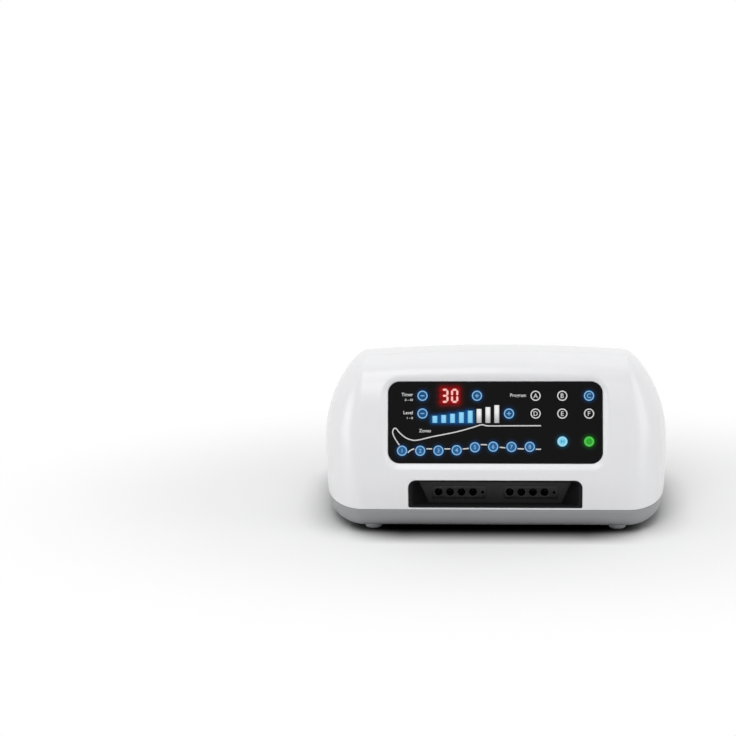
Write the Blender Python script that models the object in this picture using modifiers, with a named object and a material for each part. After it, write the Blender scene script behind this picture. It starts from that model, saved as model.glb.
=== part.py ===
"""Table-top air compression pump with eight hose ports and a key panel.

Metres, +Z up, front towards -Y, standing on the plane z = 0 with the origin under its middle.
The casing is an upper housing lofted over a shallow tub. The panel stack leans in its own frame,
and what sits in the rear wall leans in another, so both groups are placed by two empties.
"""
import math

import bmesh
import bpy
import numpy as np
from mathutils import Matrix, Vector

MM = 0.001

# Clearances and cutting
SEAT = 0.3 * MM
OVERRUN = 6.0 * MM
MERGE = 0.01 * MM

# Casing
CASING_WIDTH = 364.6 * MM
CASING_DEPTH = 240.0 * MM
CREST_HEIGHT = 183.5 * MM
CREST_SETBACK = 54.0 * MM
PARTING_HEIGHT = 26.0 * MM
UNDERSIDE_HEIGHT = 7.5 * MM
WALL = 2.8 * MM
FRONT_HALF_FLAT = 137.0 * MM
FRONT_RAKE = 50.0 * MM
REAR_RAKE = 14.0 * MM
FRONT_CORNER_FOOT = 100.0 * MM
FRONT_CORNER_TOP = 60.0 * MM
REAR_CORNER_FOOT = 62.0 * MM
REAR_CORNER_TOP = 50.0 * MM
LEAST_CORNER = 6.0 * MM
ROOF_FALL = 56.458 * MM
ROOF_ARCH_RADIUS = 1900.0 * MM
ROOF_EDGE_RADIUS = 5.0 * MM
LEVEL_SHARES = (0.0, 0.16, 0.32, 0.5, 0.66, 0.8, 0.91, 1.0)
CAVITY_LEVEL_SHARES = (0.0, 0.32, 0.6, 0.82, 1.0)
WIDTH_LEVEL_SHARES = (0.0, 0.16, 0.31, 0.55, 0.71, 0.85, 0.94, 1.0)
WIDTH_SHARES = (0.9956, 1.0, 1.0, 0.9874, 0.949, 0.8914, 0.8365, 0.7844)
RAKE_LEVEL_SHARES = (0.0, 0.19, 0.31, 0.55, 0.83, 0.93, 1.0)
RAKE_SHARES = (0.0, 0.028, 0.09, 0.25, 0.56, 0.74, 1.0)
ROOF_RING_SHARES = (0.8, 0.6, 0.4, 0.2, 0.06)
CAVITY_ROOF_RING_SHARES = (0.7, 0.35, 0.06)

# Tub under the parting line
SEAM_GAP = 0.3 * MM
TUB_FLOOR = 2.8 * MM
TUB_LIP_HEIGHT = 3.0 * MM
TUB_LIP_THICKNESS = 1.5 * MM
TUB_INSET = 15.0 * MM
TUB_DRAFT = 2.0 * MM
TUB_END_INSET_SHARE = 0.55
TUB_ROUND_POWER = 1.6
TUB_LEVEL_SHARES = (0.0, 0.35, 0.6, 0.8, 1.0)

# Feet and the screws that pass through them into the casing
FOOT_SIDE = 54.3 * MM
FOOT_END = 25.0 * MM
FOOT_RADIUS = 9.0 * MM
FOOT_CHAMFER = 1.2 * MM
FOOT_RECESS_RADIUS = 4.2 * MM
FOOT_RECESS_DEPTH = 3.4 * MM
SCREW_RADIUS = 1.75 * MM
SCREW_HOLE_RADIUS = 2.15 * MM
SCREW_HEAD_RADIUS = 3.6 * MM
SCREW_HEAD_HEIGHT = 2.2 * MM
SCREW_SOCKET_RADIUS = 1.4 * MM
SCREW_SOCKET_DEPTH = 1.2 * MM
SCREW_LENGTH = 36.0 * MM
BOSS_RADIUS = 5.0 * MM
BOSS_HEIGHT = 30.0 * MM
RIB_THICKNESS = 2.0 * MM

# Key panel, measured in its own plane from its middle
PANEL_WIDTH = 222.5 * MM
PANEL_HEIGHT = 85.0 * MM
PANEL_CORNER = 12.0 * MM
PANEL_THICKNESS = 2.0 * MM
PANEL_FIT = 0.4 * MM
PANEL_LEAN = math.radians(16.4)
PANEL_MIDDLE_HEIGHT = 114.6 * MM
PANEL_SINK = 7.0 * MM
RAMP_RISE = 14.0 * MM
RAMP_SIDE = 16.8 * MM
RAMP_TOP = 29.0 * MM
RAMP_BOTTOM = 36.0 * MM
TRAY_THICKNESS = 2.5 * MM
TRAY_LEDGE = 3.0 * MM

# Keys
KEY_RADIUS = 6.0 * MM
KEY_CLEARANCE = 0.3 * MM
KEY_PROUD = 0.2 * MM
KEY_FLANGE_REACH = 1.0 * MM
KEY_FLANGE_THICKNESS = 0.8 * MM
KEY_TRAVEL = 0.5 * MM
DOME_RADIUS = 4.0 * MM
DOME_TOP_RADIUS = 2.2 * MM
MAT_THICKNESS = 0.5 * MM
MAT_MARGIN = 1.0 * MM
MODES = 3

# Places on the panel as shares of its width and height, from its middle
MINUS_COLUMN_SHARE = -0.3389
TIME_PLUS_COLUMN_SHARE = -0.084
LEVEL_PLUS_COLUMN_SHARE = 0.0652
MODE_COLUMN_SHARE = 0.1892
MODE_PITCH_SHARE = 0.124
ZONE_COLUMN_SHARE = -0.4346
ZONE_PITCH_SHARE = 0.0852
TIME_ROW_SHARE = 0.3271
LEVEL_ROW_SHARE = 0.1094
RUN_ROW_SHARE = -0.2306
ZONE_ROW_SHARE = -0.3471
ZONE_RISE_SHARE = 0.0518
ZONE_RISE_SHARES = (0.0, 0.0, 0.05, 0.15, 0.85, 1.0, 0.95, 0.98)

# Displays behind the panel and the board that carries them
TIME_WINDOW_WIDTH = 24.0 * MM
TIME_WINDOW_EDGE = 5.7 * MM
TIME_BODY_MARGIN = 1.5 * MM
BARS = 8
BAR_WIDTH = 5.2 * MM
TIME_WINDOW_COLUMN_SHARE = -0.2112
BAR_COLUMN_SHARE = -0.2809
BAR_PITCH_SHARE = 0.0413
BAR_FOOT_SHARE = -0.0047
BAR_SHORT_SHARE = 0.0847
BAR_TALL_SHARE = 0.2165
BAR_GROWTH_POWER = 1.3
BAR_BODY_MARGIN = 1.2 * MM
BOARD_DEPTH = 6.8 * MM
BOARD_THICKNESS = 1.6 * MM
BOARD_MARGIN = 1.0 * MM
BOARD_BOSS_RADIUS = 2.8 * MM
BOARD_BOSS_RING = 11.0 * MM
BOARD_SCREW_HOLE = 1.3 * MM
BOARD_SCREW_BITE = 2.8 * MM

# Hose bay and its eight ports
BAY_HALF_WIDTH = 90.3 * MM
BAY_SILL = 1.6 * MM
BAY_HEIGHT = 29.4 * MM
BAY_TOP_CORNER = 8.0 * MM
BAY_FOOT_CORNER = 1.6 * MM
BAY_WALL = 2.2 * MM
BAY_MOUTH_SETBACK = 1.6 * MM
BAY_DEPTH = 26.4 * MM
BAY_TOP_DRAW = 9.4 * MM
BAY_FOOT_DRAW = 20.1 * MM
BAY_TOP_DROP = 5.0 * MM
BAY_FOOT_DROP = 2.7 * MM
BAY_FLANGE_REACH = 3.0 * MM
BAY_FLANGE_THICKNESS = 1.8 * MM
PORT_BLOCK_X = 37.5 * MM
PORT_BLOCK_WIDTH = 57.0 * MM
PORT_BLOCK_HEIGHT = 14.0 * MM
PORT_BLOCK_CORNER = 2.0 * MM
PORT_BLOCK_DEPTH = 12.0 * MM
PORT_BLOCK_PROUD = 0.8 * MM
PORT_FLANGE = 1.5 * MM
PORT_ABOVE_SILL = 9.0 * MM
PORTS = 4
PORT_FIRST = -22.0 * MM
PORT_PITCH = 12.1 * MM
PORT_RADIUS = 3.9 * MM
PORT_CHAMFER = 0.6 * MM
PORT_SOCKET_DEPTH = 9.0 * MM
PIN_HOLE_X = 24.3 * MM
PIN_HOLE_RADIUS = 1.6 * MM
PIN_HOLE_DEPTH = 6.0 * MM
NIPPLE_RADIUS = 3.0 * MM
NIPPLE_BORE = 1.6 * MM
NIPPLE_LENGTH = 7.0 * MM
SPOUT_WALL = 1.2 * MM
SPOUT_SPARE = 2.0 * MM

# Air parts behind the ports
MANIFOLD_HEIGHT = 18.0 * MM
MANIFOLD_DEPTH = 24.0 * MM
MANIFOLD_END = 8.0 * MM
MANIFOLD_POST_X = 40.0 * MM
VALVE_EDGE = 1.0 * MM
VALVE_DEPTH = 17.0 * MM
VALVE_BASE = 9.0 * MM
VALVE_COIL_RADIUS = 4.4 * MM
VALVE_COIL_HEIGHT = 15.0 * MM
COMPRESSOR_X = -68.0 * MM
COMPRESSOR_Y = 27.0 * MM
COMPRESSOR_LENGTH = 118.0 * MM
COMPRESSOR_WIDTH = 72.0 * MM
COMPRESSOR_HEIGHT = 62.0 * MM
COMPRESSOR_EDGE = 6.0 * MM
COMPRESSOR_HEAD_RADIUS = 26.0 * MM
COMPRESSOR_HEAD_LENGTH = 12.0 * MM
COMPRESSOR_OUTLET_END = 19.0 * MM
COMPRESSOR_OUTLET_RISE = 14.0 * MM
OUTLET_RADIUS = 3.4 * MM
OUTLET_LENGTH = 9.0 * MM
MOUNT_END = 15.0 * MM
MOUNT_SIDE = 12.0 * MM
MOUNT_RADIUS = 7.0 * MM
MOUNT_WAIST = 5.4 * MM
MOUNT_HEIGHT = 9.0 * MM
SUPPLY_RADIUS = 3.4 * MM
SUPPLY_LEAD = 20.0 * MM

# Boards in the tub
POST_RADIUS = 3.0 * MM
POST_HEIGHT = 8.0 * MM
POWER_BOARD_WIDTH = 104.0 * MM
CONTROL_BOARD_WIDTH = 64.0 * MM
BOARDS_SIDE = 32.3 * MM
BOARDS_GAP = 1.0 * MM
BOARDS_FRONT = 42.0 * MM
BOARDS_APART = 15.0 * MM
POST_EDGE = 5.0 * MM
TRANSFORMER_WIDTH = 52.0 * MM
TRANSFORMER_DEPTH = 44.0 * MM
TRANSFORMER_HEIGHT = 42.0 * MM
TRANSFORMER_CORE = 17.0 * MM
TRANSFORMER_EDGE = 3.0 * MM
CAPACITOR_RADIUS = 8.0 * MM
CAPACITOR_HEIGHT = 26.0 * MM
CAPACITOR_PITCH = 22.0 * MM
CONNECTOR_WIDTH = 18.0 * MM
CONNECTOR_DEPTH = 6.0 * MM
CONNECTOR_HEIGHT = 5.0 * MM
CHIP_SIZE = 14.0 * MM
CHIP_HEIGHT = 2.0 * MM
RIBBON_WIDTH = 14.0 * MM
RIBBON_THICKNESS = 0.9 * MM
RIBBON_SLACK = 30.0 * MM
RIBBON_EDGE = 14.0 * MM

# Rear fittings, placed in the rear wall's own plane with x towards the left as seen from behind
REAR_ROW_HEIGHT = 56.0 * MM
INLET_FROM_FOOT = 32.0 * MM
INLET_WIDTH = 27.0 * MM
INLET_HEIGHT = 19.6 * MM
INLET_CORNER = 4.0 * MM
INLET_FLANGE = 4.0 * MM
INLET_FLANGE_THICKNESS = 2.0 * MM
INLET_BODY_DEPTH = 17.0 * MM
INLET_SOCKET_MARGIN = 1.5 * MM
INLET_SOCKET_DEPTH = 15.5 * MM
CONTACT_X = 7.0 * MM
CONTACT_RISE = 2.0 * MM
CONTACT_WIDTH = 2.0 * MM
CONTACT_HEIGHT = 4.0 * MM
CONTACT_LENGTH = 13.0 * MM
CONTACT_TAG = 6.0 * MM
ROCKER_FROM_INLET = 48.0 * MM
ROCKER_WIDTH = 12.6 * MM
ROCKER_HEIGHT = 18.6 * MM
ROCKER_FRAME_WALL = 1.2 * MM
ROCKER_FLANGE = 2.2 * MM
ROCKER_FLANGE_THICKNESS = 1.8 * MM
ROCKER_FRAME_DEPTH = 13.0 * MM
ROCKER_CLEARANCE = 0.35 * MM
ROCKER_PIVOT_DEPTH = 3.0 * MM
ROCKER_THROW = math.radians(8.0)
ROCKER_NOSE = math.radians(45.0)
ROCKER_HEEL = math.radians(-20.0)
ROCKER_PIN_RADIUS = 1.0 * MM
ROCKER_PIN_LENGTH = 0.9 * MM
ROCKER_PIN_CLEARANCE = 0.15 * MM
FAN_FROM_FOOT = 50.0 * MM
FAN_UNDER_MIDDLE = 1.0 * MM
FAN_SIZE = 50.0 * MM
FAN_THICKNESS = 12.0 * MM
FAN_DUCT_RADIUS = 23.0 * MM
FAN_HUB_RADIUS = 9.0 * MM
FAN_BLADES = 7
FAN_TIP_CLEARANCE = 1.0 * MM
FAN_BLADE_THICKNESS = 1.2 * MM
FAN_BLADE_INSET = 1.0 * MM
FAN_BLADE_PITCH = math.radians(38.0)
FAN_END_CLEARANCE = 0.8 * MM
FAN_STRUT_WIDTH = 2.4 * MM
FAN_STRUT_THICKNESS = 2.0 * MM
FAN_STRUTS = 3
FAN_SHAFT_RADIUS = 1.5 * MM
FAN_SCREW_SPAN = 40.0 * MM
VENT_SLOTS = 7
VENT_PITCH = 6.0 * MM
VENT_SLOT = 3.0 * MM
INTAKE_SLOTS = 9
INTAKE_PITCH = 8.0 * MM
INTAKE_LENGTH = 36.0 * MM
INTAKE_Y = -62.0 * MM
INTAKE_X = -92.0 * MM

# Counts of facets
CORNER_STEPS = 5
FLAT_STEPS = 2
FILLET_STEPS = 3
PLAIN_FILLET_STEPS = 2
WIDE_STEPS = 24
HEAD_STEPS = 20
ROUND_STEPS = 12
SMALL_STEPS = 10
HOLE_STEPS = 8
TINY_STEPS = 6
ROUTE_POINTS = 10
BEVEL_STEPS = 2
ROOF_EDGE_STEPS = 3
SHARP_ANGLE = math.radians(35.0)

FOOT_NAMES = ("front_left", "front_right", "rear_left", "rear_right")

COLOURS = {
    "white_abs": ((0.84, 0.84, 0.85), 0.35, 0.0),
    "grey_abs": ((0.33, 0.34, 0.35), 0.5, 0.0),
    "black_gloss": ((0.012, 0.012, 0.014), 0.15, 0.0),
    "black_matt": ((0.02, 0.02, 0.022), 0.6, 0.0),
    "key_black": ((0.016, 0.02, 0.035), 0.25, 0.0),
    "board_green": ((0.03, 0.16, 0.07), 0.5, 0.0),
    "steel": ((0.55, 0.55, 0.56), 0.3, 1.0),
    "brass": ((0.7, 0.53, 0.25), 0.3, 1.0),
    "aluminium": ((0.62, 0.63, 0.64), 0.4, 1.0),
    "rubber": ((0.05, 0.05, 0.05), 0.8, 0.0),
    "silicone": ((0.7, 0.72, 0.72), 0.5, 0.0),
    "display_red": ((0.25, 0.01, 0.01), 0.3, 0.0),
    "display_blue": ((0.2, 0.5, 0.8), 0.3, 0.0),
    "varnish": ((0.25, 0.12, 0.05), 0.4, 0.0),
}


# Workshop functions

def empty_the_scene():
    """Remove every object and mesh that the file opened with."""
    for obj in list(bpy.data.objects):
        bpy.data.objects.remove(obj, do_unlink=True)


def new_collection(name):
    group = bpy.data.collections.new(name)
    bpy.context.scene.collection.children.link(group)
    return group


def material(slot):
    """One Principled material for each finish."""
    if slot in bpy.data.materials:
        return bpy.data.materials[slot]
    colour, roughness, metallic = COLOURS[slot]
    mat = bpy.data.materials.new(slot)
    mat.use_nodes = True
    shader = mat.node_tree.nodes["Principled BSDF"]
    shader.inputs["Base Color"].default_value = (*colour, 1.0)
    shader.inputs["Roughness"].default_value = roughness
    shader.inputs["Metallic"].default_value = metallic
    mat.diffuse_color = (*colour, 1.0)
    return mat


def place(obj, parent=None, at=(0, 0, 0), turn=(0, 0, 0)):
    obj.parent = parent
    obj.location = at
    obj.rotation_euler = turn
    return obj


def from_bmesh(name, bm, parent=None, at=(0, 0, 0), turn=(0, 0, 0)):
    """A mesh object from a bmesh, kept out of every collection until it is a part or a cutter."""
    bmesh.ops.recalc_face_normals(bm, faces=bm.faces)
    mesh = bpy.data.meshes.new(name)
    bm.to_mesh(mesh)
    bm.free()
    obj = bpy.data.objects.new(name, mesh)
    return place(obj, parent, at, turn)


def as_part(obj, slot, smooth=True):
    """Give a finished piece its material and put it among the parts."""
    PARTS.objects.link(obj)
    obj.data.materials.append(material(slot))
    if smooth and obj.type == "MESH" and obj.data.polygons:
        obj.data.shade_smooth()
        obj.data.set_sharp_from_angle(angle=SHARP_ANGLE)
    return obj


def as_cutter(obj):
    CUTTERS.objects.link(obj)
    obj.hide_render = True
    obj.display_type = "WIRE"
    return obj


def boolean(obj, tool, operation="DIFFERENCE"):
    """Cut or join with a tool that stays in the scene as a wire guide."""
    if tool.name not in CUTTERS.objects:
        as_cutter(tool)
    step = obj.modifiers.new(f"{operation.lower()}_{tool.name}", "BOOLEAN")
    step.operation = operation
    step.object = tool
    step.solver = "EXACT"
    return obj


def add_box(bm, size, centre):
    """A box of the given x, y, z size about a centre."""
    shape = Matrix.Translation(centre) @ Matrix.Diagonal((*size, 1.0))
    bmesh.ops.create_cube(bm, size=1.0, matrix=shape)


def add_cylinder(bm, radius, low, high, steps=SMALL_STEPS):
    """A cylinder from one end's middle to the other's."""
    low, high = Vector(low), Vector(high)
    axis = high - low
    turn = axis.to_track_quat("Z", "Y").to_matrix().to_4x4()
    bmesh.ops.create_cone(bm, cap_ends=True, segments=steps, radius1=radius, radius2=radius,
                          depth=axis.length, matrix=Matrix.Translation((low + high) / 2) @ turn)


def box(name, size, centre, parent=None, bevel=0.0):
    bm = bmesh.new()
    add_box(bm, size, centre)
    obj = from_bmesh(name, bm, parent)
    if bevel:
        edge = obj.modifiers.new("edges", "BEVEL")
        edge.width = bevel
        edge.segments = BEVEL_STEPS
    return obj


def cylinders(name, radius, pairs, parent=None, steps=SMALL_STEPS):
    """Separate cylinders in one mesh, each given by the middles of its ends."""
    bm = bmesh.new()
    for low, high in pairs:
        add_cylinder(bm, radius, low, high, steps)
    return from_bmesh(name, bm, parent)


def boxes(name, size, centres, parent=None):
    bm = bmesh.new()
    for centre in centres:
        add_box(bm, size, centre)
    return from_bmesh(name, bm, parent)


def turned(name, profile, closed=False, steps=ROUND_STEPS, parent=None, at=(0, 0, 0), turn=(0, 0, 0)):
    """A Screw of a profile of (radius, height) points that runs down its outer side."""
    bm = bmesh.new()
    row = [bm.verts.new((radius, 0.0, height)) for radius, height in profile]
    for one, two in zip(row, row[1:] + row[:1] if closed else row[1:]):
        bm.edges.new((one, two))
    mesh = bpy.data.meshes.new(name)
    bm.to_mesh(mesh)
    bm.free()
    obj = bpy.data.objects.new(name, mesh)
    screw = obj.modifiers.new("turning", "SCREW")
    screw.steps = screw.render_steps = steps
    screw.use_merge_vertices = True
    screw.merge_threshold = MERGE
    screw.use_smooth_shade = False
    return place(obj, parent, at, turn)


def settled(obj):
    """The evaluated mesh of an object in its own space, with the object itself removed."""
    holder = bpy.context.scene.collection
    holder.objects.link(obj)
    bpy.context.view_layer.update()
    ready = obj.evaluated_get(bpy.context.evaluated_depsgraph_get())
    mesh = bpy.data.meshes.new_from_object(ready)
    name = obj.name
    bpy.data.objects.remove(obj, do_unlink=True)
    return name, mesh


def copies(obj, spots, parent=None):
    """Separate copies of a settled shape in one object, one at each spot."""
    name, mesh = settled(obj)
    bm = bmesh.new()
    for spot in spots:
        first = len(bm.verts)
        bm.from_mesh(mesh)
        bm.verts.ensure_lookup_table()
        bmesh.ops.translate(bm, vec=spot, verts=bm.verts[first:])
    bmesh.ops.remove_doubles(bm, verts=bm.verts, dist=MERGE)
    return from_bmesh(name, bm, parent)


def loft(name, rings, parent=None, crease_ring=None, twisted=False):
    """A closed solid through rings of equal point counts, with one ring marked for an edge bevel.

    Faces that twist between their rings are split, so that every face that is cut later is flat.
    """
    bm = bmesh.new()
    rows = [[bm.verts.new(point) for point in ring] for ring in rings]
    for low, high in zip(rows, rows[1:]):
        for i in range(len(low)):
            j = (i + 1) % len(low)
            bm.faces.new((low[i], low[j], high[j], high[i]))
    if twisted:
        bmesh.ops.triangulate(bm, faces=bm.faces)
    bm.faces.new(rows[0][::-1])
    bm.faces.new(rows[-1])
    if crease_ring is not None:
        weight = bm.edges.layers.float.new("bevel_weight_edge")
        row = rows[crease_ring]
        for one, two in zip(row, row[1:] + row[:1]):
            bm.edges.get((one, two))[weight] = 1.0
    return from_bmesh(name, bm, parent)


def rounded(corners, radii, steps=FILLET_STEPS):
    """A polygon's outline, anticlockwise, with each corner an arc of its own radius."""
    outline = []
    count = len(corners)
    for i, radius in enumerate(radii):
        corner = Vector(corners[i])
        back = (Vector(corners[i - 1]) - corner).normalized()
        on = (Vector(corners[(i + 1) % count]) - corner).normalized()
        half = back.angle(on) / 2
        centre = corner + (back + on).normalized() * (radius / math.sin(half))
        start = corner + back * (radius / math.tan(half)) - centre
        sweep = math.pi - 2 * half
        for k in range(steps + 1):
            turn = Matrix.Rotation(sweep * k / steps, 2)
            outline.append(centre + turn @ start)
    return outline


def rounded_rectangle(width, height, radius, low_grow=0.0, high_grow=0.0, steps=FILLET_STEPS):
    """A rounded rectangle about the origin whose lower and upper sides can reach further."""
    x, low, high = width / 2, -height / 2 - low_grow, height / 2 + high_grow
    corners = ((-x, low), (x, low), (x, high), (-x, high))
    return rounded(corners, (radius,) * 4, steps)


# The casing's surface

def smooth_share(levels, values, level):
    """A smooth curve through shares, by cubic steps with averaged slopes."""
    slopes = np.gradient(values, levels)
    i = int(np.clip(np.searchsorted(levels, level) - 1, 0, len(levels) - 2))
    span = levels[i + 1] - levels[i]
    s = (level - levels[i]) / span
    return ((1 + 2 * s) * (1 - s) ** 2 * values[i] + s * (1 - s) ** 2 * span * slopes[i]
            + s * s * (3 - 2 * s) * values[i + 1] + s * s * (s - 1) * span * slopes[i + 1])


def half_width(level):
    return CASING_WIDTH / 2 * smooth_share(WIDTH_LEVEL_SHARES, WIDTH_SHARES, level)


def front_y(level):
    return -CASING_DEPTH / 2 + FRONT_RAKE * smooth_share(RAKE_LEVEL_SHARES, RAKE_SHARES, level)


def rear_y(level):
    return CASING_DEPTH / 2 - REAR_RAKE * level


def plan(width, front, rear, front_reach, rear_reach):
    """One plan outline: flat front and rear, straight sides, elliptical corners."""
    corner = max(width - FRONT_HALF_FLAT, LEAST_CORNER)
    flat = width - corner
    half = [(flat * i / FLAT_STEPS, front) for i in range(FLAT_STEPS + 1)]
    for i in range(1, CORNER_STEPS + 1):
        angle = math.pi / 2 * i / CORNER_STEPS
        half.append((flat + corner * math.sin(angle), front + front_reach * (1 - math.cos(angle))))
    for i in range(CORNER_STEPS + 1):
        angle = math.pi / 2 * i / CORNER_STEPS
        half.append((flat + corner * math.cos(angle), rear - rear_reach * (1 - math.sin(angle))))
    half += [(flat * (1 - i / FLAT_STEPS), rear) for i in range(1, FLAT_STEPS + 1)]
    left = [(-x, y) for x, y in half[-2:0:-1]]
    return np.array(half + left)


def level_plan(level, inset):
    """The upper housing's plan at a share of its height, drawn in by an inset."""
    front_reach = FRONT_CORNER_FOOT + (FRONT_CORNER_TOP - FRONT_CORNER_FOOT) * level
    rear_reach = REAR_CORNER_FOOT + (REAR_CORNER_TOP - REAR_CORNER_FOOT) * level
    return plan(half_width(level) - inset, front_y(level) + inset, rear_y(level) - inset,
                front_reach - inset, rear_reach - inset)


def roof_height(x, y, inset=0.0):
    """The roof runs level to its crest, then falls to the rear, and arches across."""
    crest_y = CREST_SETBACK - CASING_DEPTH / 2
    behind = np.maximum(y - crest_y, 0.0) / (rear_y(1.0) - crest_y)
    fall = ROOF_FALL * behind ** 2 + x ** 2 / (2 * ROOF_ARCH_RADIUS)
    return CREST_HEIGHT - inset - fall


def housing_rings(levels=LEVEL_SHARES, roof_rings=ROOF_RING_SHARES, inset=0.0):
    """Rings up the walls and over the roof; every wall line runs to its own point on the roof."""
    top = level_plan(1.0, inset)
    rise = roof_height(top[:, 0], top[:, 1], inset) - PARTING_HEIGHT
    rings = [np.c_[level_plan(level, inset), PARTING_HEIGHT + level * rise] for level in levels]
    middle = (top.max(axis=0) + top.min(axis=0)) / 2
    for share in roof_rings:
        inner = middle + (top - middle) * share
        rings.append(np.c_[inner, roof_height(inner[:, 0], inner[:, 1], inset)])
    return rings


def inner_front(height, x):
    """The y of the front wall's inner face at a height, along the flats between its rings."""
    rise = roof_height(x, front_y(1.0), WALL) - PARTING_HEIGHT
    faces = [front_y(level) + WALL for level in CAVITY_LEVEL_SHARES]
    return float(np.interp(wall_level(height, rise), CAVITY_LEVEL_SHARES, faces))


def lip_plan(height, inset):
    """The plan of the lip that stands inside the upper housing's walls, following their lean."""
    foot, next_up = (level_plan(level, inset) for level in CAVITY_LEVEL_SHARES[:2])
    rise = roof_height(foot[:, 0], rear_y(1.0), inset) - PARTING_HEIGHT
    share = wall_level(height, rise) / CAVITY_LEVEL_SHARES[1]
    return foot + (next_up - foot) * share[:, None]


def tub_plan(drop, inset):
    """The tub's plan at a share of its depth; it draws in as it rounds under."""
    angle = math.pi / 2 * drop
    draw = TUB_DRAFT * drop + TUB_INSET * (1 - math.cos(angle)) ** TUB_ROUND_POWER
    end = draw * TUB_END_INSET_SHARE
    outline = plan(half_width(0.0) - draw - inset, front_y(0.0) + end + inset, rear_y(0.0) - end - inset,
                   FRONT_CORNER_FOOT - end - inset, REAR_CORNER_FOOT - end - inset)
    return outline, math.sin(angle)


def tub_rings(inset, top, bottom):
    rings = []
    for drop in reversed(TUB_LEVEL_SHARES):
        outline, depth = tub_plan(drop, inset)
        rings.append(np.c_[outline, np.full(len(outline), top - (top - bottom) * depth)])
    return rings


# Frames that the leaning groups stand in

def wall_level(height, rise):
    """The share of the wall's rise at a height above the floor."""
    return (height - PARTING_HEIGHT) / rise


def panel_frame():
    """Origin in the middle of the panel's face, local y up the panel, local z out of it."""
    level = wall_level(PANEL_MIDDLE_HEIGHT, CREST_HEIGHT - PARTING_HEIGHT)
    frame = bpy.data.objects.new("panel_frame", None)
    bpy.context.scene.collection.objects.link(frame)
    return place(frame, at=(0, front_y(level) + PANEL_SINK, PANEL_MIDDLE_HEIGHT),
                 turn=(math.pi / 2 - PANEL_LEAN, 0, 0))


def rear_rise():
    """The rear wall's height over the parting line."""
    return CREST_HEIGHT - ROOF_FALL - PARTING_HEIGHT


def fan_rise():
    """The fan's middle over the rear row, just under halfway up the rear wall."""
    return PARTING_HEIGHT + rear_rise() / 2 - FAN_UNDER_MIDDLE - REAR_ROW_HEIGHT


def rear_frame():
    """Origin on the rear wall's outer face, local y up the wall, local z out of it, x to the left."""
    rise = rear_rise()
    lean = math.atan2(REAR_RAKE, rise)
    frame = bpy.data.objects.new("rear_frame", None)
    bpy.context.scene.collection.objects.link(frame)
    return place(frame, at=(0, rear_y(wall_level(REAR_ROW_HEIGHT, rise)), REAR_ROW_HEIGHT),
                 turn=(math.pi / 2 - lean, 0, math.pi))


# Places shared by several pieces

def foot_corner():
    """The middle of the right rear foot, which the other three mirror."""
    return CASING_WIDTH / 2 - FOOT_SIDE, CASING_DEPTH / 2 - FOOT_END


def inlet_x():
    return INLET_FROM_FOOT - foot_corner()[0]


def rocker_x():
    return inlet_x() + ROCKER_FROM_INLET


def fan_x():
    return foot_corner()[0] - FAN_FROM_FOOT


def foot_spots():
    x, y = foot_corner()
    return [(sx * x, sy * y) for sy in (-1, 1) for sx in (-1, 1)]


def on_panel(column_share, row_share):
    """The place on the panel at a share of its width and of its height."""
    return PANEL_WIDTH * column_share, PANEL_HEIGHT * row_share


def mode_place(column, row_share):
    return on_panel(MODE_COLUMN_SHARE + MODE_PITCH_SHARE * column, row_share)


def key_places():
    """Each key's name and its place on the panel."""
    keys = {
        "time_minus_key": on_panel(MINUS_COLUMN_SHARE, TIME_ROW_SHARE),
        "time_plus_key": on_panel(TIME_PLUS_COLUMN_SHARE, TIME_ROW_SHARE),
        "pressure_minus_key": on_panel(MINUS_COLUMN_SHARE, LEVEL_ROW_SHARE),
        "pressure_plus_key": on_panel(LEVEL_PLUS_COLUMN_SHARE, LEVEL_ROW_SHARE),
    }
    for i, letter in enumerate("abcdef"):
        row = TIME_ROW_SHARE if i < MODES else LEVEL_ROW_SHARE
        keys[f"mode_{letter}_key"] = mode_place(i % MODES, row)
    keys["start_key"] = mode_place(1, RUN_ROW_SHARE)
    keys["power_key"] = mode_place(MODES - 1, RUN_ROW_SHARE)
    for i, share in enumerate(ZONE_RISE_SHARES):
        column = ZONE_COLUMN_SHARE + ZONE_PITCH_SHARE * i
        keys[f"zone_{i + 1}_key"] = on_panel(column, ZONE_ROW_SHARE + ZONE_RISE_SHARE * share)
    return keys


def time_window():
    """The window's middle and size; it stops short of the panel's upper edge."""
    middle = on_panel(TIME_WINDOW_COLUMN_SHARE, TIME_ROW_SHARE)
    return middle, (TIME_WINDOW_WIDTH, PANEL_HEIGHT - 2 * (middle[1] + TIME_WINDOW_EDGE))


def bar_boxes(clearance=0.0):
    """Each light bar's middle and size on the panel, from short to tall."""
    bars = []
    for i in range(BARS):
        growth = (i / (BARS - 1)) ** BAR_GROWTH_POWER
        share = BAR_SHORT_SHARE + (BAR_TALL_SHARE - BAR_SHORT_SHARE) * growth
        middle = on_panel(BAR_COLUMN_SHARE + BAR_PITCH_SHARE * i, BAR_FOOT_SHARE + share / 2)
        bars.append((middle, (BAR_WIDTH + 2 * clearance, PANEL_HEIGHT * share + 2 * clearance)))
    return bars


def board_screw_spots():
    """The board's four screws stand outside the round corners of the tray's window."""
    x = PANEL_WIDTH / 2 - PANEL_CORNER + BOARD_BOSS_RING * math.cos(math.pi / 4)
    y = PANEL_HEIGHT / 2 - PANEL_CORNER + BOARD_BOSS_RING * math.sin(math.pi / 4)
    return [(sx * x, sy * y) for sy in (-1, 1) for sx in (-1, 1)]


def bay_bottom():
    return PARTING_HEIGHT + BAY_SILL


def bay_top():
    return bay_bottom() + BAY_HEIGHT


def port_height():
    return bay_bottom() + PORT_ABOVE_SILL


def port_face():
    """The y of the ports' carrying wall, seen from the front."""
    return bay_mouth() + BAY_DEPTH


def bay_mouth():
    return -CASING_DEPTH / 2 + BAY_MOUTH_SETBACK


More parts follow.
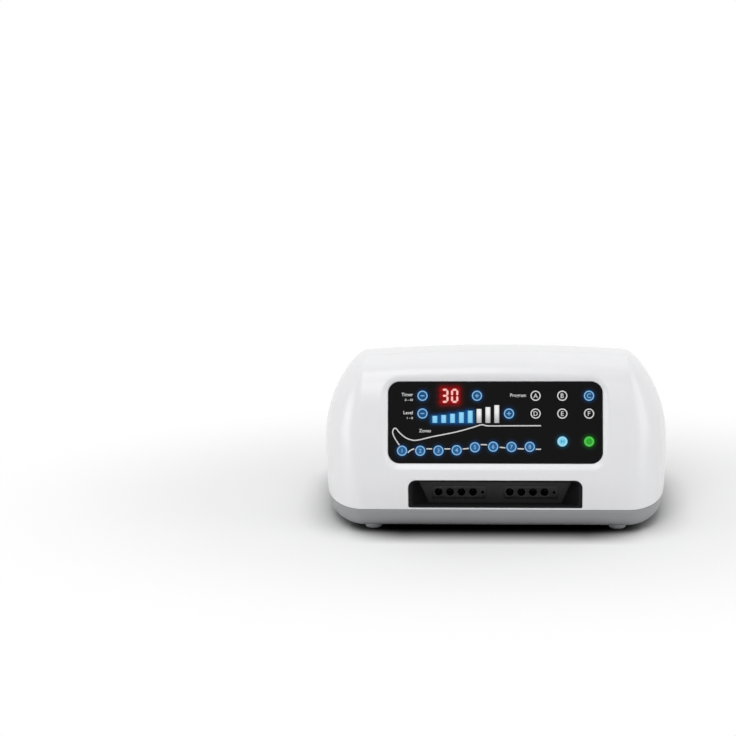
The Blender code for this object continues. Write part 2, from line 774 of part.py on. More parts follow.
def port_xs():
    """The x of all eight ports, left to right."""
    return [side * PORT_BLOCK_X + PORT_FIRST + PORT_PITCH * i for side in (-1, 1) for i in range(PORTS)]


def manifold_face():
    """The y of the manifold's front, behind the port nipples and the tubes between."""
    return port_face() - PORT_BLOCK_PROUD + PORT_BLOCK_DEPTH + NIPPLE_LENGTH + SPOUT_SPARE


def tub_floor():
    return UNDERSIDE_HEIGHT + TUB_FLOOR


def compressor_foot():
    return tub_floor() + MOUNT_HEIGHT + 2 * SEAT


def board_depth():
    """The two boards share the tub's depth, one behind the other."""
    return (CASING_DEPTH - BOARDS_FRONT - BOARDS_APART - boards_rear()) / 2


def boards_rear():
    """The boards stop just in front of the rear screw bosses."""
    return FOOT_END + BOSS_RADIUS + BOARDS_GAP


def power_board_middle():
    x = CASING_WIDTH / 2 - BOARDS_SIDE - POWER_BOARD_WIDTH / 2
    return x, CASING_DEPTH / 2 - boards_rear() - board_depth() / 2


def control_board_middle():
    x = CASING_WIDTH / 2 - BOARDS_SIDE - CONTROL_BOARD_WIDTH / 2
    return x, BOARDS_FRONT + board_depth() / 2 - CASING_DEPTH / 2


def ribbon_x():
    return control_board_middle()[0] - CONTROL_BOARD_WIDTH / 2 + RIBBON_EDGE


def board_posts(middle, width):
    x, y = width / 2 - POST_EDGE, board_depth() / 2 - POST_EDGE
    return [(middle[0] + sx * x, middle[1] + sy * y) for sx in (-1, 1) for sy in (-1, 1)]


def all_board_posts():
    return (board_posts(power_board_middle(), POWER_BOARD_WIDTH)
            + board_posts(control_board_middle(), CONTROL_BOARD_WIDTH))


def fan_screw_spots():
    half, rise = FAN_SCREW_SPAN / 2, fan_rise()
    return [(fan_x() + sx * half, rise + sy * half) for sx in (-1, 1) for sy in (-1, 1)]


# Casing

def panel_plug(name, grow, depth, parent):
    """A solid over the panel that flares towards the front, for the pocket and the tray behind it."""
    width, height = PANEL_WIDTH + 2 * grow, PANEL_HEIGHT + 2 * grow
    radius = PANEL_CORNER + grow
    seat = rounded_rectangle(width, height, radius)
    flare = rounded_rectangle(width + 2 * RAMP_SIDE, height, radius + RAMP_SIDE, RAMP_BOTTOM, RAMP_TOP)
    levels = ((seat, -depth), (seat, 0.0), (flare, RAMP_RISE))
    return loft(name, [[(x, y, z) for x, y in outline] for outline, z in levels], parent)


def bay_outline(shrink=0.0):
    """The bay's mouth in x and z, tight round corners above and small ones below."""
    x, low, high = BAY_HALF_WIDTH - shrink, bay_bottom() + shrink, bay_top() - shrink
    corners = ((-x, low), (x, low), (x, high), (-x, high))
    top, foot = BAY_TOP_CORNER - shrink, max(BAY_FOOT_CORNER - shrink, BAY_FOOT_CORNER / 2)
    return rounded(corners, (foot, foot, top, top))


def bay_rear_outline(grow):
    """The bay's narrower rear in x and z: its foot draws in further than its top."""
    foot_half = BAY_HALF_WIDTH - BAY_FOOT_DRAW + grow
    top_half = BAY_HALF_WIDTH - BAY_TOP_DRAW + grow
    foot, top = bay_bottom() - BAY_FOOT_DROP - grow, bay_top() - BAY_TOP_DROP + grow
    corners = ((-foot_half, foot), (foot_half, foot), (top_half, top), (-top_half, top))
    return rounded(corners, (BAY_FOOT_CORNER, BAY_FOOT_CORNER, BAY_TOP_CORNER / 2, BAY_TOP_CORNER / 2))


def standing(outline, y):
    """An x-z outline set up at a y."""
    return [(x, y, z) for x, z in outline]


def upper_cavity(panel):
    """The hollow of the upper housing, less the tray, bosses and ribs that stay solid in it."""
    rings = housing_rings(CAVITY_LEVEL_SHARES, CAVITY_ROOF_RING_SHARES, WALL)
    below = rings[0][:, :2]
    rings.insert(0, np.c_[below, np.full(len(below), PARTING_HEIGHT - OVERRUN)])
    cavity = loft("upper_cavity", rings, twisted=True)
    floor = PANEL_THICKNESS + SEAT + TRAY_THICKNESS
    boolean(cavity, panel_plug("tray_block", PANEL_FIT + WALL, floor, panel))
    pads = [((x, y, -BOARD_DEPTH + SEAT), (x, y, 0)) for x, y in board_screw_spots()]
    boolean(cavity, cylinders("board_bosses", BOARD_BOSS_RADIUS, pads, panel))
    top = PARTING_HEIGHT + BOSS_HEIGHT
    bosses = [((x, y, PARTING_HEIGHT), (x, y, top)) for x, y in foot_spots()]
    boolean(cavity, cylinders("upper_bosses", BOSS_RADIUS, bosses))
    low = PARTING_HEIGHT + TUB_LIP_HEIGHT + 2 * SEAT
    x, y, middle = *foot_corner(), (low + top) / 2
    outside = BOSS_RADIUS - RIB_THICKNESS
    side = [(sx * (x + FOOT_SIDE / 2), sy * y, middle) for sx in (-1, 1) for sy in (-1, 1)]
    boolean(cavity, boxes("side_ribs", (FOOT_SIDE, RIB_THICKNESS, top - low), side))
    end = [(sx * (x + outside), sy * (y + FOOT_END / 2), middle) for sx in (-1, 1) for sy in (-1, 1)]
    boolean(cavity, boxes("end_ribs", (RIB_THICKNESS, FOOT_END, top - low), end))
    return cavity


def upper_housing(panel, rear):
    shell = loft("upper_housing", housing_rings(), crease_ring=len(LEVEL_SHARES) - 1)
    edge = shell.modifiers.new("roof_edge", "BEVEL")
    edge.limit_method = "WEIGHT"
    edge.width = ROOF_EDGE_RADIUS
    edge.segments = ROOF_EDGE_STEPS
    boolean(shell, upper_cavity(panel))
    boolean(shell, panel_plug("panel_pocket", PANEL_FIT, PANEL_THICKNESS + SEAT, panel))
    width, height = PANEL_WIDTH - 2 * TRAY_LEDGE, PANEL_HEIGHT - 2 * TRAY_LEDGE
    window = rounded_rectangle(width, height, PANEL_CORNER - TRAY_LEDGE)
    depth = PANEL_THICKNESS + TRAY_THICKNESS + OVERRUN
    boolean(shell, loft("tray_window", [[(x, y, z) for x, y in window] for z in (-depth, 0.0)], panel))
    mouth = bay_outline()
    back = -CASING_DEPTH / 2 + WALL + OVERRUN
    boolean(shell, loft("bay_cut", [standing(mouth, y) for y in (-CASING_DEPTH / 2 - OVERRUN, back)]))
    pilots = [((x, y, PARTING_HEIGHT - OVERRUN), (x, y, UNDERSIDE_HEIGHT + SCREW_LENGTH + SEAT))
              for x, y in foot_spots()]
    boolean(shell, cylinders("upper_pilots", SCREW_HOLE_RADIUS, pilots))
    bite = BOARD_DEPTH - SEAT - BOARD_SCREW_BITE - SEAT
    pilots = [((x, y, -BOARD_DEPTH - OVERRUN), (x, y, -bite)) for x, y in board_screw_spots()]
    boolean(shell, cylinders("board_pilots", BOARD_SCREW_HOLE, pilots, panel, steps=HOLE_STEPS))
    rear_openings(shell, rear)
    return as_part(shell, "white_abs")


def rear_openings(shell, rear):
    """Cut-outs in the rear wall for the inlet, the rocker, the fan's grille and its screws."""
    deep = WALL + OVERRUN
    hole = rounded_rectangle(INLET_WIDTH + 2 * SEAT, INLET_HEIGHT + 2 * SEAT, INLET_CORNER)
    boolean(shell, loft("inlet_cut", [[(inlet_x() + x, y, z) for x, y in hole] for z in (-deep, deep)], rear))
    width = ROCKER_WIDTH + 2 * (ROCKER_FRAME_WALL + SEAT)
    height = ROCKER_HEIGHT + 2 * (ROCKER_FRAME_WALL + SEAT)
    boolean(shell, box("rocker_cut", (width, height, 2 * deep), (rocker_x(), 0, 0), rear))
    bm = bmesh.new()
    for i in range(VENT_SLOTS):
        x = VENT_PITCH * (i - (VENT_SLOTS - 1) / 2)
        length = 2 * math.sqrt((FAN_DUCT_RADIUS - VENT_SLOT / 2) ** 2 - x ** 2)
        add_box(bm, (VENT_SLOT, length, 2 * deep), (fan_x() + x, fan_rise(), 0))
    boolean(shell, from_bmesh("vent_slots", bm, rear))
    holes = [((x, y, -deep), (x, y, deep)) for x, y in fan_screw_spots()]
    boolean(shell, cylinders("fan_screw_holes", SCREW_HOLE_RADIUS, holes, rear))


def lower_housing():
    seam = PARTING_HEIGHT - SEAM_GAP
    lip_top = PARTING_HEIGHT + TUB_LIP_HEIGHT
    rings = tub_rings(0.0, seam, UNDERSIDE_HEIGHT)
    for lean, height in ((PARTING_HEIGHT, seam), (lip_top, lip_top)):
        lip = lip_plan(lean, WALL + SEAT)
        rings.append(np.c_[lip, np.full(len(lip), height)])
    tub = loft("lower_housing", rings)
    boolean(tub, tub_cavity(seam))
    size = (2 * (BAY_HALF_WIDTH + BAY_FLANGE_REACH + SEAT), BAY_DEPTH, lip_top + OVERRUN - seam)
    middle = (0, (BAY_DEPTH - CASING_DEPTH) / 2, seam + size[2] / 2)
    boolean(tub, box("lip_notch", size, middle))
    holes = [((x, y, UNDERSIDE_HEIGHT - OVERRUN), (x, y, PARTING_HEIGHT + OVERRUN)) for x, y in foot_spots()]
    boolean(tub, cylinders("foot_screw_holes", SCREW_HOLE_RADIUS, holes))
    slots = [(INTAKE_X + INTAKE_PITCH * (i - (INTAKE_SLOTS - 1) / 2), INTAKE_Y, UNDERSIDE_HEIGHT)
             for i in range(INTAKE_SLOTS)]
    boolean(tub, boxes("intake_slots", (VENT_SLOT, INTAKE_LENGTH, 2 * (TUB_FLOOR + OVERRUN)), slots))
    return as_part(tub, "grey_abs")


def tub_cavity(seam):
    """The hollow of the tub, less its screw bosses and the posts that carry the inner parts."""
    inset = WALL + SEAT + TUB_LIP_THICKNESS
    rings = tub_rings(inset, seam, tub_floor())
    top = rings[-1][:, :2]
    rings.append(np.c_[top, np.full(len(top), PARTING_HEIGHT + TUB_LIP_HEIGHT + OVERRUN)])
    cavity = loft("tub_cavity", rings)
    low = tub_floor() - OVERRUN
    bosses = [((x, y, low), (x, y, seam)) for x, y in foot_spots()]
    boolean(cavity, cylinders("tub_bosses", BOSS_RADIUS, bosses))
    posts = [((x, y, low), (x, y, tub_floor() + POST_HEIGHT)) for x, y in all_board_posts()]
    boolean(cavity, cylinders("board_posts", POST_RADIUS, posts, steps=HOLE_STEPS))
    y = manifold_face() + MANIFOLD_DEPTH / 2
    high = port_height() - MANIFOLD_HEIGHT / 2 - SEAT
    posts = [((sx * MANIFOLD_POST_X, y, low), (sx * MANIFOLD_POST_X, y, high)) for sx in (-1, 1)]
    boolean(cavity, cylinders("manifold_posts", BOSS_RADIUS, posts))
    return cavity


def feet():
    """Four rubber feet, each with a recess for its screw's head."""
    top = UNDERSIDE_HEIGHT - SEAT
    profile = [(FOOT_RADIUS, top), (FOOT_RADIUS, FOOT_CHAMFER), (FOOT_RADIUS - FOOT_CHAMFER, 0.0),
               (FOOT_RECESS_RADIUS, 0.0), (FOOT_RECESS_RADIUS, FOOT_RECESS_DEPTH),
               (SCREW_HOLE_RADIUS, FOOT_RECESS_DEPTH), (SCREW_HOLE_RADIUS, top)]
    for name, (x, y) in zip(FOOT_NAMES, foot_spots()):
        foot = turned(f"foot_{name}", profile, closed=True, steps=ROUND_STEPS, at=(x, y, 0.0))
        as_part(foot, "rubber", smooth=False)


def foot_screws():
    under = FOOT_RECESS_DEPTH - SEAT
    low = under - SCREW_HEAD_HEIGHT
    profile = [(0.0, UNDERSIDE_HEIGHT + SCREW_LENGTH), (SCREW_RADIUS, UNDERSIDE_HEIGHT + SCREW_LENGTH),
               (SCREW_RADIUS, under), (SCREW_HEAD_RADIUS, under), (SCREW_HEAD_RADIUS, low),
               (SCREW_SOCKET_RADIUS, low), (SCREW_SOCKET_RADIUS, low + SCREW_SOCKET_DEPTH),
               (0.0, low + SCREW_SOCKET_DEPTH)]
    for name, (x, y) in zip(FOOT_NAMES, foot_spots()):
        as_part(turned(f"screw_{name}", profile, steps=SMALL_STEPS, at=(x, y, 0.0)), "steel", smooth=False)


# Panel stack

def control_panel(panel):
    """The gloss plate with its round key holes, the time window and eight bar slots."""
    outline = rounded_rectangle(PANEL_WIDTH, PANEL_HEIGHT, PANEL_CORNER)
    rings = [[(x, y, z) for x, y in outline] for z in (-PANEL_THICKNESS, 0.0)]
    plate = loft("control_panel", rings, panel)
    deep = PANEL_THICKNESS + OVERRUN
    holes = [((x, y, -deep), (x, y, deep)) for x, y in key_places().values()]
    boolean(plate, cylinders("key_holes", KEY_RADIUS + KEY_CLEARANCE, holes, panel, steps=ROUND_STEPS))
    bm = bmesh.new()
    for (x, y), (width, height) in bar_boxes(SEAT):
        add_box(bm, (width, height, 2 * deep), (x, y, 0))
    (x, y), (width, height) = time_window()
    add_box(bm, (width + 2 * SEAT, height + 2 * SEAT, 2 * deep), (x, y, 0))
    boolean(plate, from_bmesh("display_windows", bm, panel))
    return as_part(plate, "black_gloss")


def key_flange_depth():
    """The depth of a key's underside at rest."""
    return -PANEL_THICKNESS - SEAT - KEY_FLANGE_THICKNESS


def keys(panel):
    """Round keys, each with a flange that holds it under the panel."""
    under, low = -PANEL_THICKNESS - SEAT, key_flange_depth()
    reach = KEY_RADIUS + KEY_FLANGE_REACH
    profile = [(0.0, KEY_PROUD), (KEY_RADIUS, KEY_PROUD), (KEY_RADIUS, under), (reach, under),
               (reach, low), (0.0, low)]
    for name, (x, y) in key_places().items():
        as_part(turned(name, profile, parent=panel, at=(x, y, 0.0)), "key_black", smooth=False)


def switch_mat(panel):
    """The silicone mat on the board, with a dome under each key and openings for the displays."""
    low = -BOARD_DEPTH + SEAT
    inset = 2 * (TRAY_LEDGE + MAT_MARGIN)
    outline = rounded_rectangle(PANEL_WIDTH - inset, PANEL_HEIGHT - inset, PANEL_CORNER - TRAY_LEDGE)
    mat = loft("switch_mat", [[(x, y, z) for x, y in outline] for z in (low, low + MAT_THICKNESS)], panel)
    top, foot = key_flange_depth() - KEY_TRAVEL - SEAT, low + MAT_THICKNESS / 2
    dome = [(0.0, top), (DOME_TOP_RADIUS, top), (DOME_RADIUS, foot), (0.0, foot)]
    spots = [(x, y, 0.0) for x, y in key_places().values()]
    domes = copies(turned("mat_domes", dome, steps=TINY_STEPS), spots, panel)
    boolean(mat, domes, "UNION")
    bm = bmesh.new()
    margin = 2 * (TIME_BODY_MARGIN + SEAT)
    (x, y), (width, height) = time_window()
    add_box(bm, (width + margin, height + margin, OVERRUN), (x, y, low))
    (x, y), (width, height) = light_box_body()
    add_box(bm, (width + 2 * SEAT, height + 2 * SEAT, OVERRUN), (x, y, low))
    boolean(mat, from_bmesh("mat_openings", bm, panel))
    return as_part(mat, "silicone", smooth=False)


def display_board(panel):
    """The circuit board behind the panel, on four bosses at the tray's corners."""
    spots = board_screw_spots()
    width = 2 * (spots[-1][0] + BOARD_BOSS_RADIUS + BOARD_MARGIN)
    height = 2 * (spots[-1][1] + BOARD_BOSS_RADIUS + BOARD_MARGIN)
    middle = -BOARD_DEPTH - BOARD_THICKNESS / 2
    board = box("display_board", (width, height, BOARD_THICKNESS), (0, 0, middle), panel)
    low = -BOARD_DEPTH - BOARD_THICKNESS - OVERRUN
    holes = [((x, y, low), (x, y, 0)) for x, y in spots]
    boolean(board, cylinders("board_screw_holes", BOARD_SCREW_HOLE, holes, panel, steps=HOLE_STEPS))
    return as_part(board, "board_green", smooth=False)


def time_display(panel):
    """The two-digit display: its face fills the window and its wider body stands on the board."""
    low, under = -BOARD_DEPTH + SEAT, -PANEL_THICKNESS - SEAT
    margin = 2 * TIME_BODY_MARGIN
    (x, y), (width, height) = time_window()
    foot = (low + under) / 2
    body = box("time_display", (width + margin, height + margin, under - low), (x, y, foot), panel)
    boolean(body, box("time_face", (width, height, -foot), (x, y, foot / 2), panel), "UNION")
    return as_part(body, "display_red", smooth=False)


def light_box_body():
    """The middle and size of the bars' light box."""
    first, last = bar_boxes()[0], bar_boxes()[-1]
    width = last[0][0] - first[0][0] + BAR_WIDTH + 2 * BAR_BODY_MARGIN
    height = first[1][1] + 2 * BAR_BODY_MARGIN
    return ((first[0][0] + last[0][0]) / 2, first[0][1]), (width, height)


def pressure_bars(panel):
    """Eight light bars that stand up through the panel's slots from one light box."""
    low, under = -BOARD_DEPTH + SEAT, -PANEL_THICKNESS - SEAT
    (x, y), (width, height) = light_box_body()
    body = box("pressure_bars", (width, height, under - low), (x, y, (low + under) / 2), panel)
    foot = low + MAT_THICKNESS + SEAT
    bm = bmesh.new()
    for (x, y), (wide, tall) in bar_boxes():
        add_box(bm, (wide, tall, -foot), (x, y, foot / 2))
    boolean(body, from_bmesh("light_bars", bm, panel), "UNION")
    return as_part(body, "display_blue", smooth=False)


# Hose bay

def hose_bay():
    """The black insert: a funnel from the mouth back to the wall that carries the port blocks."""
    mouth, face = bay_mouth(), port_face()
    inner_rear, outer_rear = bay_rear_outline(0.0), bay_rear_outline(BAY_WALL)
    body = loft("hose_bay", [standing(bay_outline(SEAT), mouth), standing(outer_rear, face + BAY_WALL)])
    x, high = BAY_HALF_WIDTH + BAY_FLANGE_REACH, bay_top() + BAY_FLANGE_REACH
    start = inner_front(high, x) + SEAT
    low = PARTING_HEIGHT + SEAT
    flange = rounded(((-x, low), (x, low), (x, high), (-x, high)),
                     (BAY_FOOT_CORNER, BAY_FOOT_CORNER, BAY_TOP_CORNER, BAY_TOP_CORNER))
    ring = loft("bay_flange", [standing(flange, y) for y in (start, start + BAY_FLANGE_THICKNESS)])
    boolean(body, ring, "UNION")
    slope = [standing(bay_outline(SEAT + BAY_WALL), mouth), standing(inner_rear, face)]
    lead = standing(bay_outline(SEAT + BAY_WALL), mouth - OVERRUN)
    boolean(body, loft("bay_hollow", [lead] + slope))
    size = (PORT_BLOCK_WIDTH + 2 * SEAT, BAY_WALL + 2 * OVERRUN, PORT_BLOCK_HEIGHT + 2 * SEAT)
    windows = [(sx * PORT_BLOCK_X, face + BAY_WALL / 2, port_height()) for sx in (-1, 1)]
    boolean(body, boxes("port_windows", size, windows))
    return as_part(body, "black_matt")


def port_block(name, middle):
    """Four hose sockets and a keying hole in one moulding, with a nipple behind each socket."""
    front = port_face() - PORT_BLOCK_PROUD
    back = front + PORT_BLOCK_DEPTH
    z = port_height()
    face = rounded_rectangle(PORT_BLOCK_WIDTH, PORT_BLOCK_HEIGHT, PORT_BLOCK_CORNER, steps=PLAIN_FILLET_STEPS)
    block = loft(name, [[(middle + x, y, z + h) for x, h in face] for y in (front, back)])
    start = port_face() + BAY_WALL + SEAT
    size = (PORT_BLOCK_WIDTH + 2 * PORT_FLANGE, PORT_FLANGE, PORT_BLOCK_HEIGHT + 2 * PORT_FLANGE)
    boolean(block, box(f"{name}_flange", size, (middle, start + PORT_FLANGE / 2, z)), "UNION")
    xs = [middle + PORT_FIRST + PORT_PITCH * i for i in range(PORTS)]
    nipples = [((x, back - PORT_FLANGE, z), (x, back + NIPPLE_LENGTH, z)) for x in xs]
    boolean(block, cylinders(f"{name}_nipples", NIPPLE_RADIUS, nipples, steps=HOLE_STEPS), "UNION")
    mouth = PORT_RADIUS + PORT_CHAMFER
    end = -PORT_BLOCK_DEPTH - NIPPLE_LENGTH - OVERRUN
    bore = [(0.0, OVERRUN), (mouth, OVERRUN), (mouth, 0.0), (PORT_RADIUS, -PORT_CHAMFER),
            (PORT_RADIUS, -PORT_SOCKET_DEPTH), (NIPPLE_BORE, -PORT_SOCKET_DEPTH),
            (NIPPLE_BORE, end), (0.0, end)]
    cutter = copies(turned(f"{name}_bores", bore, steps=SMALL_STEPS), [(x - middle, 0.0, 0.0) for x in xs])
    place(cutter, at=(middle, front, z), turn=(math.pi / 2, 0, 0))
    boolean(block, cutter)
    x = middle + PIN_HOLE_X
    pin = ((x, front - OVERRUN, z), (x, front + PIN_HOLE_DEPTH, z))
    boolean(block, cylinders(f"{name}_pin_hole", PIN_HOLE_RADIUS, [pin], steps=HOLE_STEPS))
    return as_part(block, "black_matt")


# Air parts

def manifold_span():
    xs = port_xs()
    return xs[0] - MANIFOLD_END, xs[-1] + MANIFOLD_END


def valve_manifold():
    """A bar with eight spouts that take the ports' nipples, and an inlet stub at one end."""
    left, right = manifold_span()
    face = manifold_face()
    middle = ((left + right) / 2, face + MANIFOLD_DEPTH / 2, port_height())
    block = box("valve_manifold", (right - left, MANIFOLD_DEPTH, MANIFOLD_HEIGHT), middle)
    start = port_face() - PORT_BLOCK_PROUD + PORT_BLOCK_DEPTH + SEAT
    outside = NIPPLE_RADIUS + SEAT + SPOUT_WALL
    spouts = [((x, start, port_height()), (x, face + SPOUT_WALL, port_height())) for x in port_xs()]
    boolean(block, cylinders("manifold_spouts", outside, spouts, steps=HOLE_STEPS), "UNION")
    bores = [((x, start - OVERRUN, port_height()), (x, face, port_height())) for x in port_xs()]
    boolean(block, cylinders("spout_bores", NIPPLE_RADIUS + SEAT, bores, steps=HOLE_STEPS))
    inlet = [((left + reach, *middle[1:]) for reach in (-OUTLET_LENGTH, OUTLET_LENGTH))]
    boolean(block, cylinders("manifold_inlet", OUTLET_RADIUS, inlet), "UNION")
    return as_part(block, "aluminium", smooth=False)


def valve_bank(name, side):
    """Four valves in one block on the manifold, a round coil over each port's passage."""
    low = port_height() + MANIFOLD_HEIGHT / 2 + SEAT
    y = manifold_face() + MANIFOLD_DEPTH / 2
    xs = [side * PORT_BLOCK_X + PORT_FIRST + PORT_PITCH * i for i in range(PORTS)]
    width = PORT_PITCH * (PORTS - 1) + 2 * VALVE_COIL_RADIUS + 2 * VALVE_EDGE
    base = box(name, (width, VALVE_DEPTH, VALVE_BASE), ((xs[0] + xs[-1]) / 2, y, low + VALVE_BASE / 2))
    top = low + VALVE_BASE + VALVE_COIL_HEIGHT
    coils = [((x, y, low + VALVE_BASE / 2), (x, y, top)) for x in xs]
    boolean(base, cylinders(f"{name}_coils", VALVE_COIL_RADIUS, coils), "UNION")
    return as_part(base, "black_matt")


def compressor():
    """The pump unit: a bevelled body with a round head at each end and an outlet at the front."""
    low = compressor_foot()
    middle = (COMPRESSOR_X, COMPRESSOR_Y, low + COMPRESSOR_HEIGHT / 2)
    body = box("compressor", (COMPRESSOR_LENGTH, COMPRESSOR_WIDTH, COMPRESSOR_HEIGHT), middle,
               bevel=COMPRESSOR_EDGE)
    half = COMPRESSOR_LENGTH / 2 + COMPRESSOR_HEAD_LENGTH
    heads = [((COMPRESSOR_X - half, middle[1], middle[2]), (COMPRESSOR_X + half, middle[1], middle[2]))]
    boolean(body, cylinders("compressor_heads", COMPRESSOR_HEAD_RADIUS, heads, steps=HEAD_STEPS), "UNION")
    start, end = outlet_ends()
    boolean(body, cylinders("compressor_outlet", OUTLET_RADIUS, [(start, end)]), "UNION")
    return as_part(body, "aluminium")


def outlet_ends():
    """The compressor's outlet stub, from inside its body to its open end."""
    x = COMPRESSOR_X - COMPRESSOR_LENGTH / 2 + COMPRESSOR_OUTLET_END
    z = compressor_foot() + COMPRESSOR_HEIGHT / 2 + COMPRESSOR_OUTLET_RISE
    face = COMPRESSOR_Y - COMPRESSOR_WIDTH / 2
    return (x, face + OUTLET_LENGTH, z), (x, face - OUTLET_LENGTH, z)


def compressor_mounts():
    """Four waisted rubber mounts between the tub's floor and the compressor."""
    low = tub_floor() + SEAT
    profile = [(0.0, MOUNT_HEIGHT), (MOUNT_RADIUS, MOUNT_HEIGHT), (MOUNT_WAIST, MOUNT_HEIGHT / 2),
               (MOUNT_RADIUS, 0.0), (0.0, 0.0)]
    x, y = COMPRESSOR_LENGTH / 2 - MOUNT_END, COMPRESSOR_WIDTH / 2 - MOUNT_SIDE
    for name, (sx, sy) in zip(FOOT_NAMES, ((-1, -1), (1, -1), (-1, 1), (1, 1))):
        spot = (COMPRESSOR_X + sx * x, COMPRESSOR_Y + sy * y, low)
        as_part(turned(f"mount_{name}", profile, steps=SMALL_STEPS, at=spot), "rubber", smooth=False)


def route(start, out, end, back, lead, straight):
    """Points of a smooth bend that leaves each end straight; out and back point away from the ends."""
    low, high = start + out * straight, end + back * straight
    one, two = low + out * lead, high + back * lead
    points = [start]
    for i in range(ROUTE_POINTS):
        s = i / (ROUTE_POINTS - 1)
        first, last = low.lerp(one, s), two.lerp(high, s)
        between = one.lerp(two, s)
        points.append(first.lerp(between, s).lerp(between.lerp(last, s), s))
    return points + [end]


def supply_tube():
    """The hose from the compressor's outlet round to the manifold's end."""
    _, start = outlet_ends()
    left, _ = manifold_span()
    end = Vector((left - OUTLET_LENGTH - SEAT, manifold_face() + MANIFOLD_DEPTH / 2, port_height()))
    start = Vector(start) + Vector((0, -SEAT, 0))
    points = route(start, Vector((0, -1, 0)), end, Vector((-1, 0, 0)), SUPPLY_LEAD, SUPPLY_RADIUS)
    curve = bpy.data.curves.new("supply_tube", "CURVE")
    curve.dimensions = "3D"
    curve.bevel_depth = SUPPLY_RADIUS
    curve.bevel_resolution = 2
    curve.use_fill_caps = True
    line = curve.splines.new("POLY")
    line.points.add(len(points) - 1)
    for point, spot in zip(line.points, points):
        point.co = (*spot, 1.0)
    obj = bpy.data.objects.new("supply_tube", curve)
    as_part(obj, "silicone")


# Boards in the tub

def tub_board(name, middle, width):
    low = tub_floor() + POST_HEIGHT + SEAT
    return box(name, (width, board_depth(), BOARD_THICKNESS), (*middle, low + BOARD_THICKNESS / 2))


def power_board():
    """The mains board with its two capacitors soldered on."""
    middle = power_board_middle()
    board = tub_board("power_board", middle, POWER_BOARD_WIDTH)
    low = tub_board_top() - BOARD_THICKNESS / 2
    x = middle[0] - POWER_BOARD_WIDTH / 2 + POST_EDGE + 2 * CAPACITOR_RADIUS
    ys = [middle[1] + side * CAPACITOR_PITCH / 2 for side in (-1, 1)]
    cans = [((x, y, low), (x, y, low + CAPACITOR_HEIGHT)) for y in ys]
    boolean(board, cylinders("capacitors", CAPACITOR_RADIUS, cans, steps=ROUND_STEPS), "UNION")
    return as_part(board, "board_green", smooth=False)


def control_board():
    """The control board with the ribbon's connector and the processor on it."""
    x, y = control_board_middle()
    board = tub_board("control_board", (x, y), CONTROL_BOARD_WIDTH)
    low = tub_board_top() - BOARD_THICKNESS / 2
    high = tub_board_top() + CONNECTOR_HEIGHT
    size = (CONNECTOR_WIDTH, CONNECTOR_DEPTH, high - low)
    boolean(board, box("ribbon_connector", size, (ribbon_x(), y, (low + high) / 2)), "UNION")
    high = tub_board_top() + CHIP_HEIGHT
    spot = (x + CHIP_SIZE / 2, y + CHIP_SIZE, (low + high) / 2)
    boolean(board, box("processor", (CHIP_SIZE, CHIP_SIZE, high - low), spot), "UNION")
    return as_part(board, "board_green", smooth=False)


def tub_board_top():
    return tub_floor() + POST_HEIGHT + SEAT + BOARD_THICKNESS


def transformer():
    """A wound core: a square coil with the iron frame round it."""
    low = tub_board_top() + SEAT
    x, y = power_board_middle()
    x += (POWER_BOARD_WIDTH - TRANSFORMER_WIDTH) / 2 - POST_EDGE
    middle = (x, y, low + TRANSFORMER_HEIGHT / 2)
    core = box("transformer", (TRANSFORMER_WIDTH, TRANSFORMER_CORE, TRANSFORMER_HEIGHT), middle)
    inner = (TRANSFORMER_WIDTH - TRANSFORMER_CORE, TRANSFORMER_DEPTH, TRANSFORMER_HEIGHT - TRANSFORMER_CORE)
    coil = box("transformer_coil", inner, middle, bevel=TRANSFORMER_EDGE)
    boolean(core, coil, "UNION")
    return as_part(core, "varnish", smooth=False)


def ribbon_cable(panel):
    """The flat cable from the display board's back down to the control board."""
    bpy.context.view_layer.update()
    out = panel.matrix_world
    inward = (out.to_3x3() @ Vector((0, 0, -1))).normalized()
    x, y = ribbon_x(), control_board_middle()[1]
    start = out @ Vector((x, 0, -BOARD_DEPTH - BOARD_THICKNESS - SEAT))
    end = Vector((x, y, tub_board_top() + CONNECTOR_HEIGHT + SEAT))
    points = route(start, inward, end, Vector((0, 0, 1)), RIBBON_SLACK, RIBBON_THICKNESS)
    across = Vector((RIBBON_WIDTH / 2, 0, 0))
    bm = bmesh.new()
    rows = [[bm.verts.new(spot - across), bm.verts.new(spot + across)] for spot in points]
    for low, high in zip(rows, rows[1:]):
        bm.faces.new((low[0], low[1], high[1], high[0]))
    cable = from_bmesh("ribbon_cable", bm)
    skin = cable.modifiers.new("thickness", "SOLIDIFY")
    skin.thickness = RIBBON_THICKNESS
    skin.offset = 0.0
    return as_part(cable, "silicone", smooth=False)


# Rear fittings

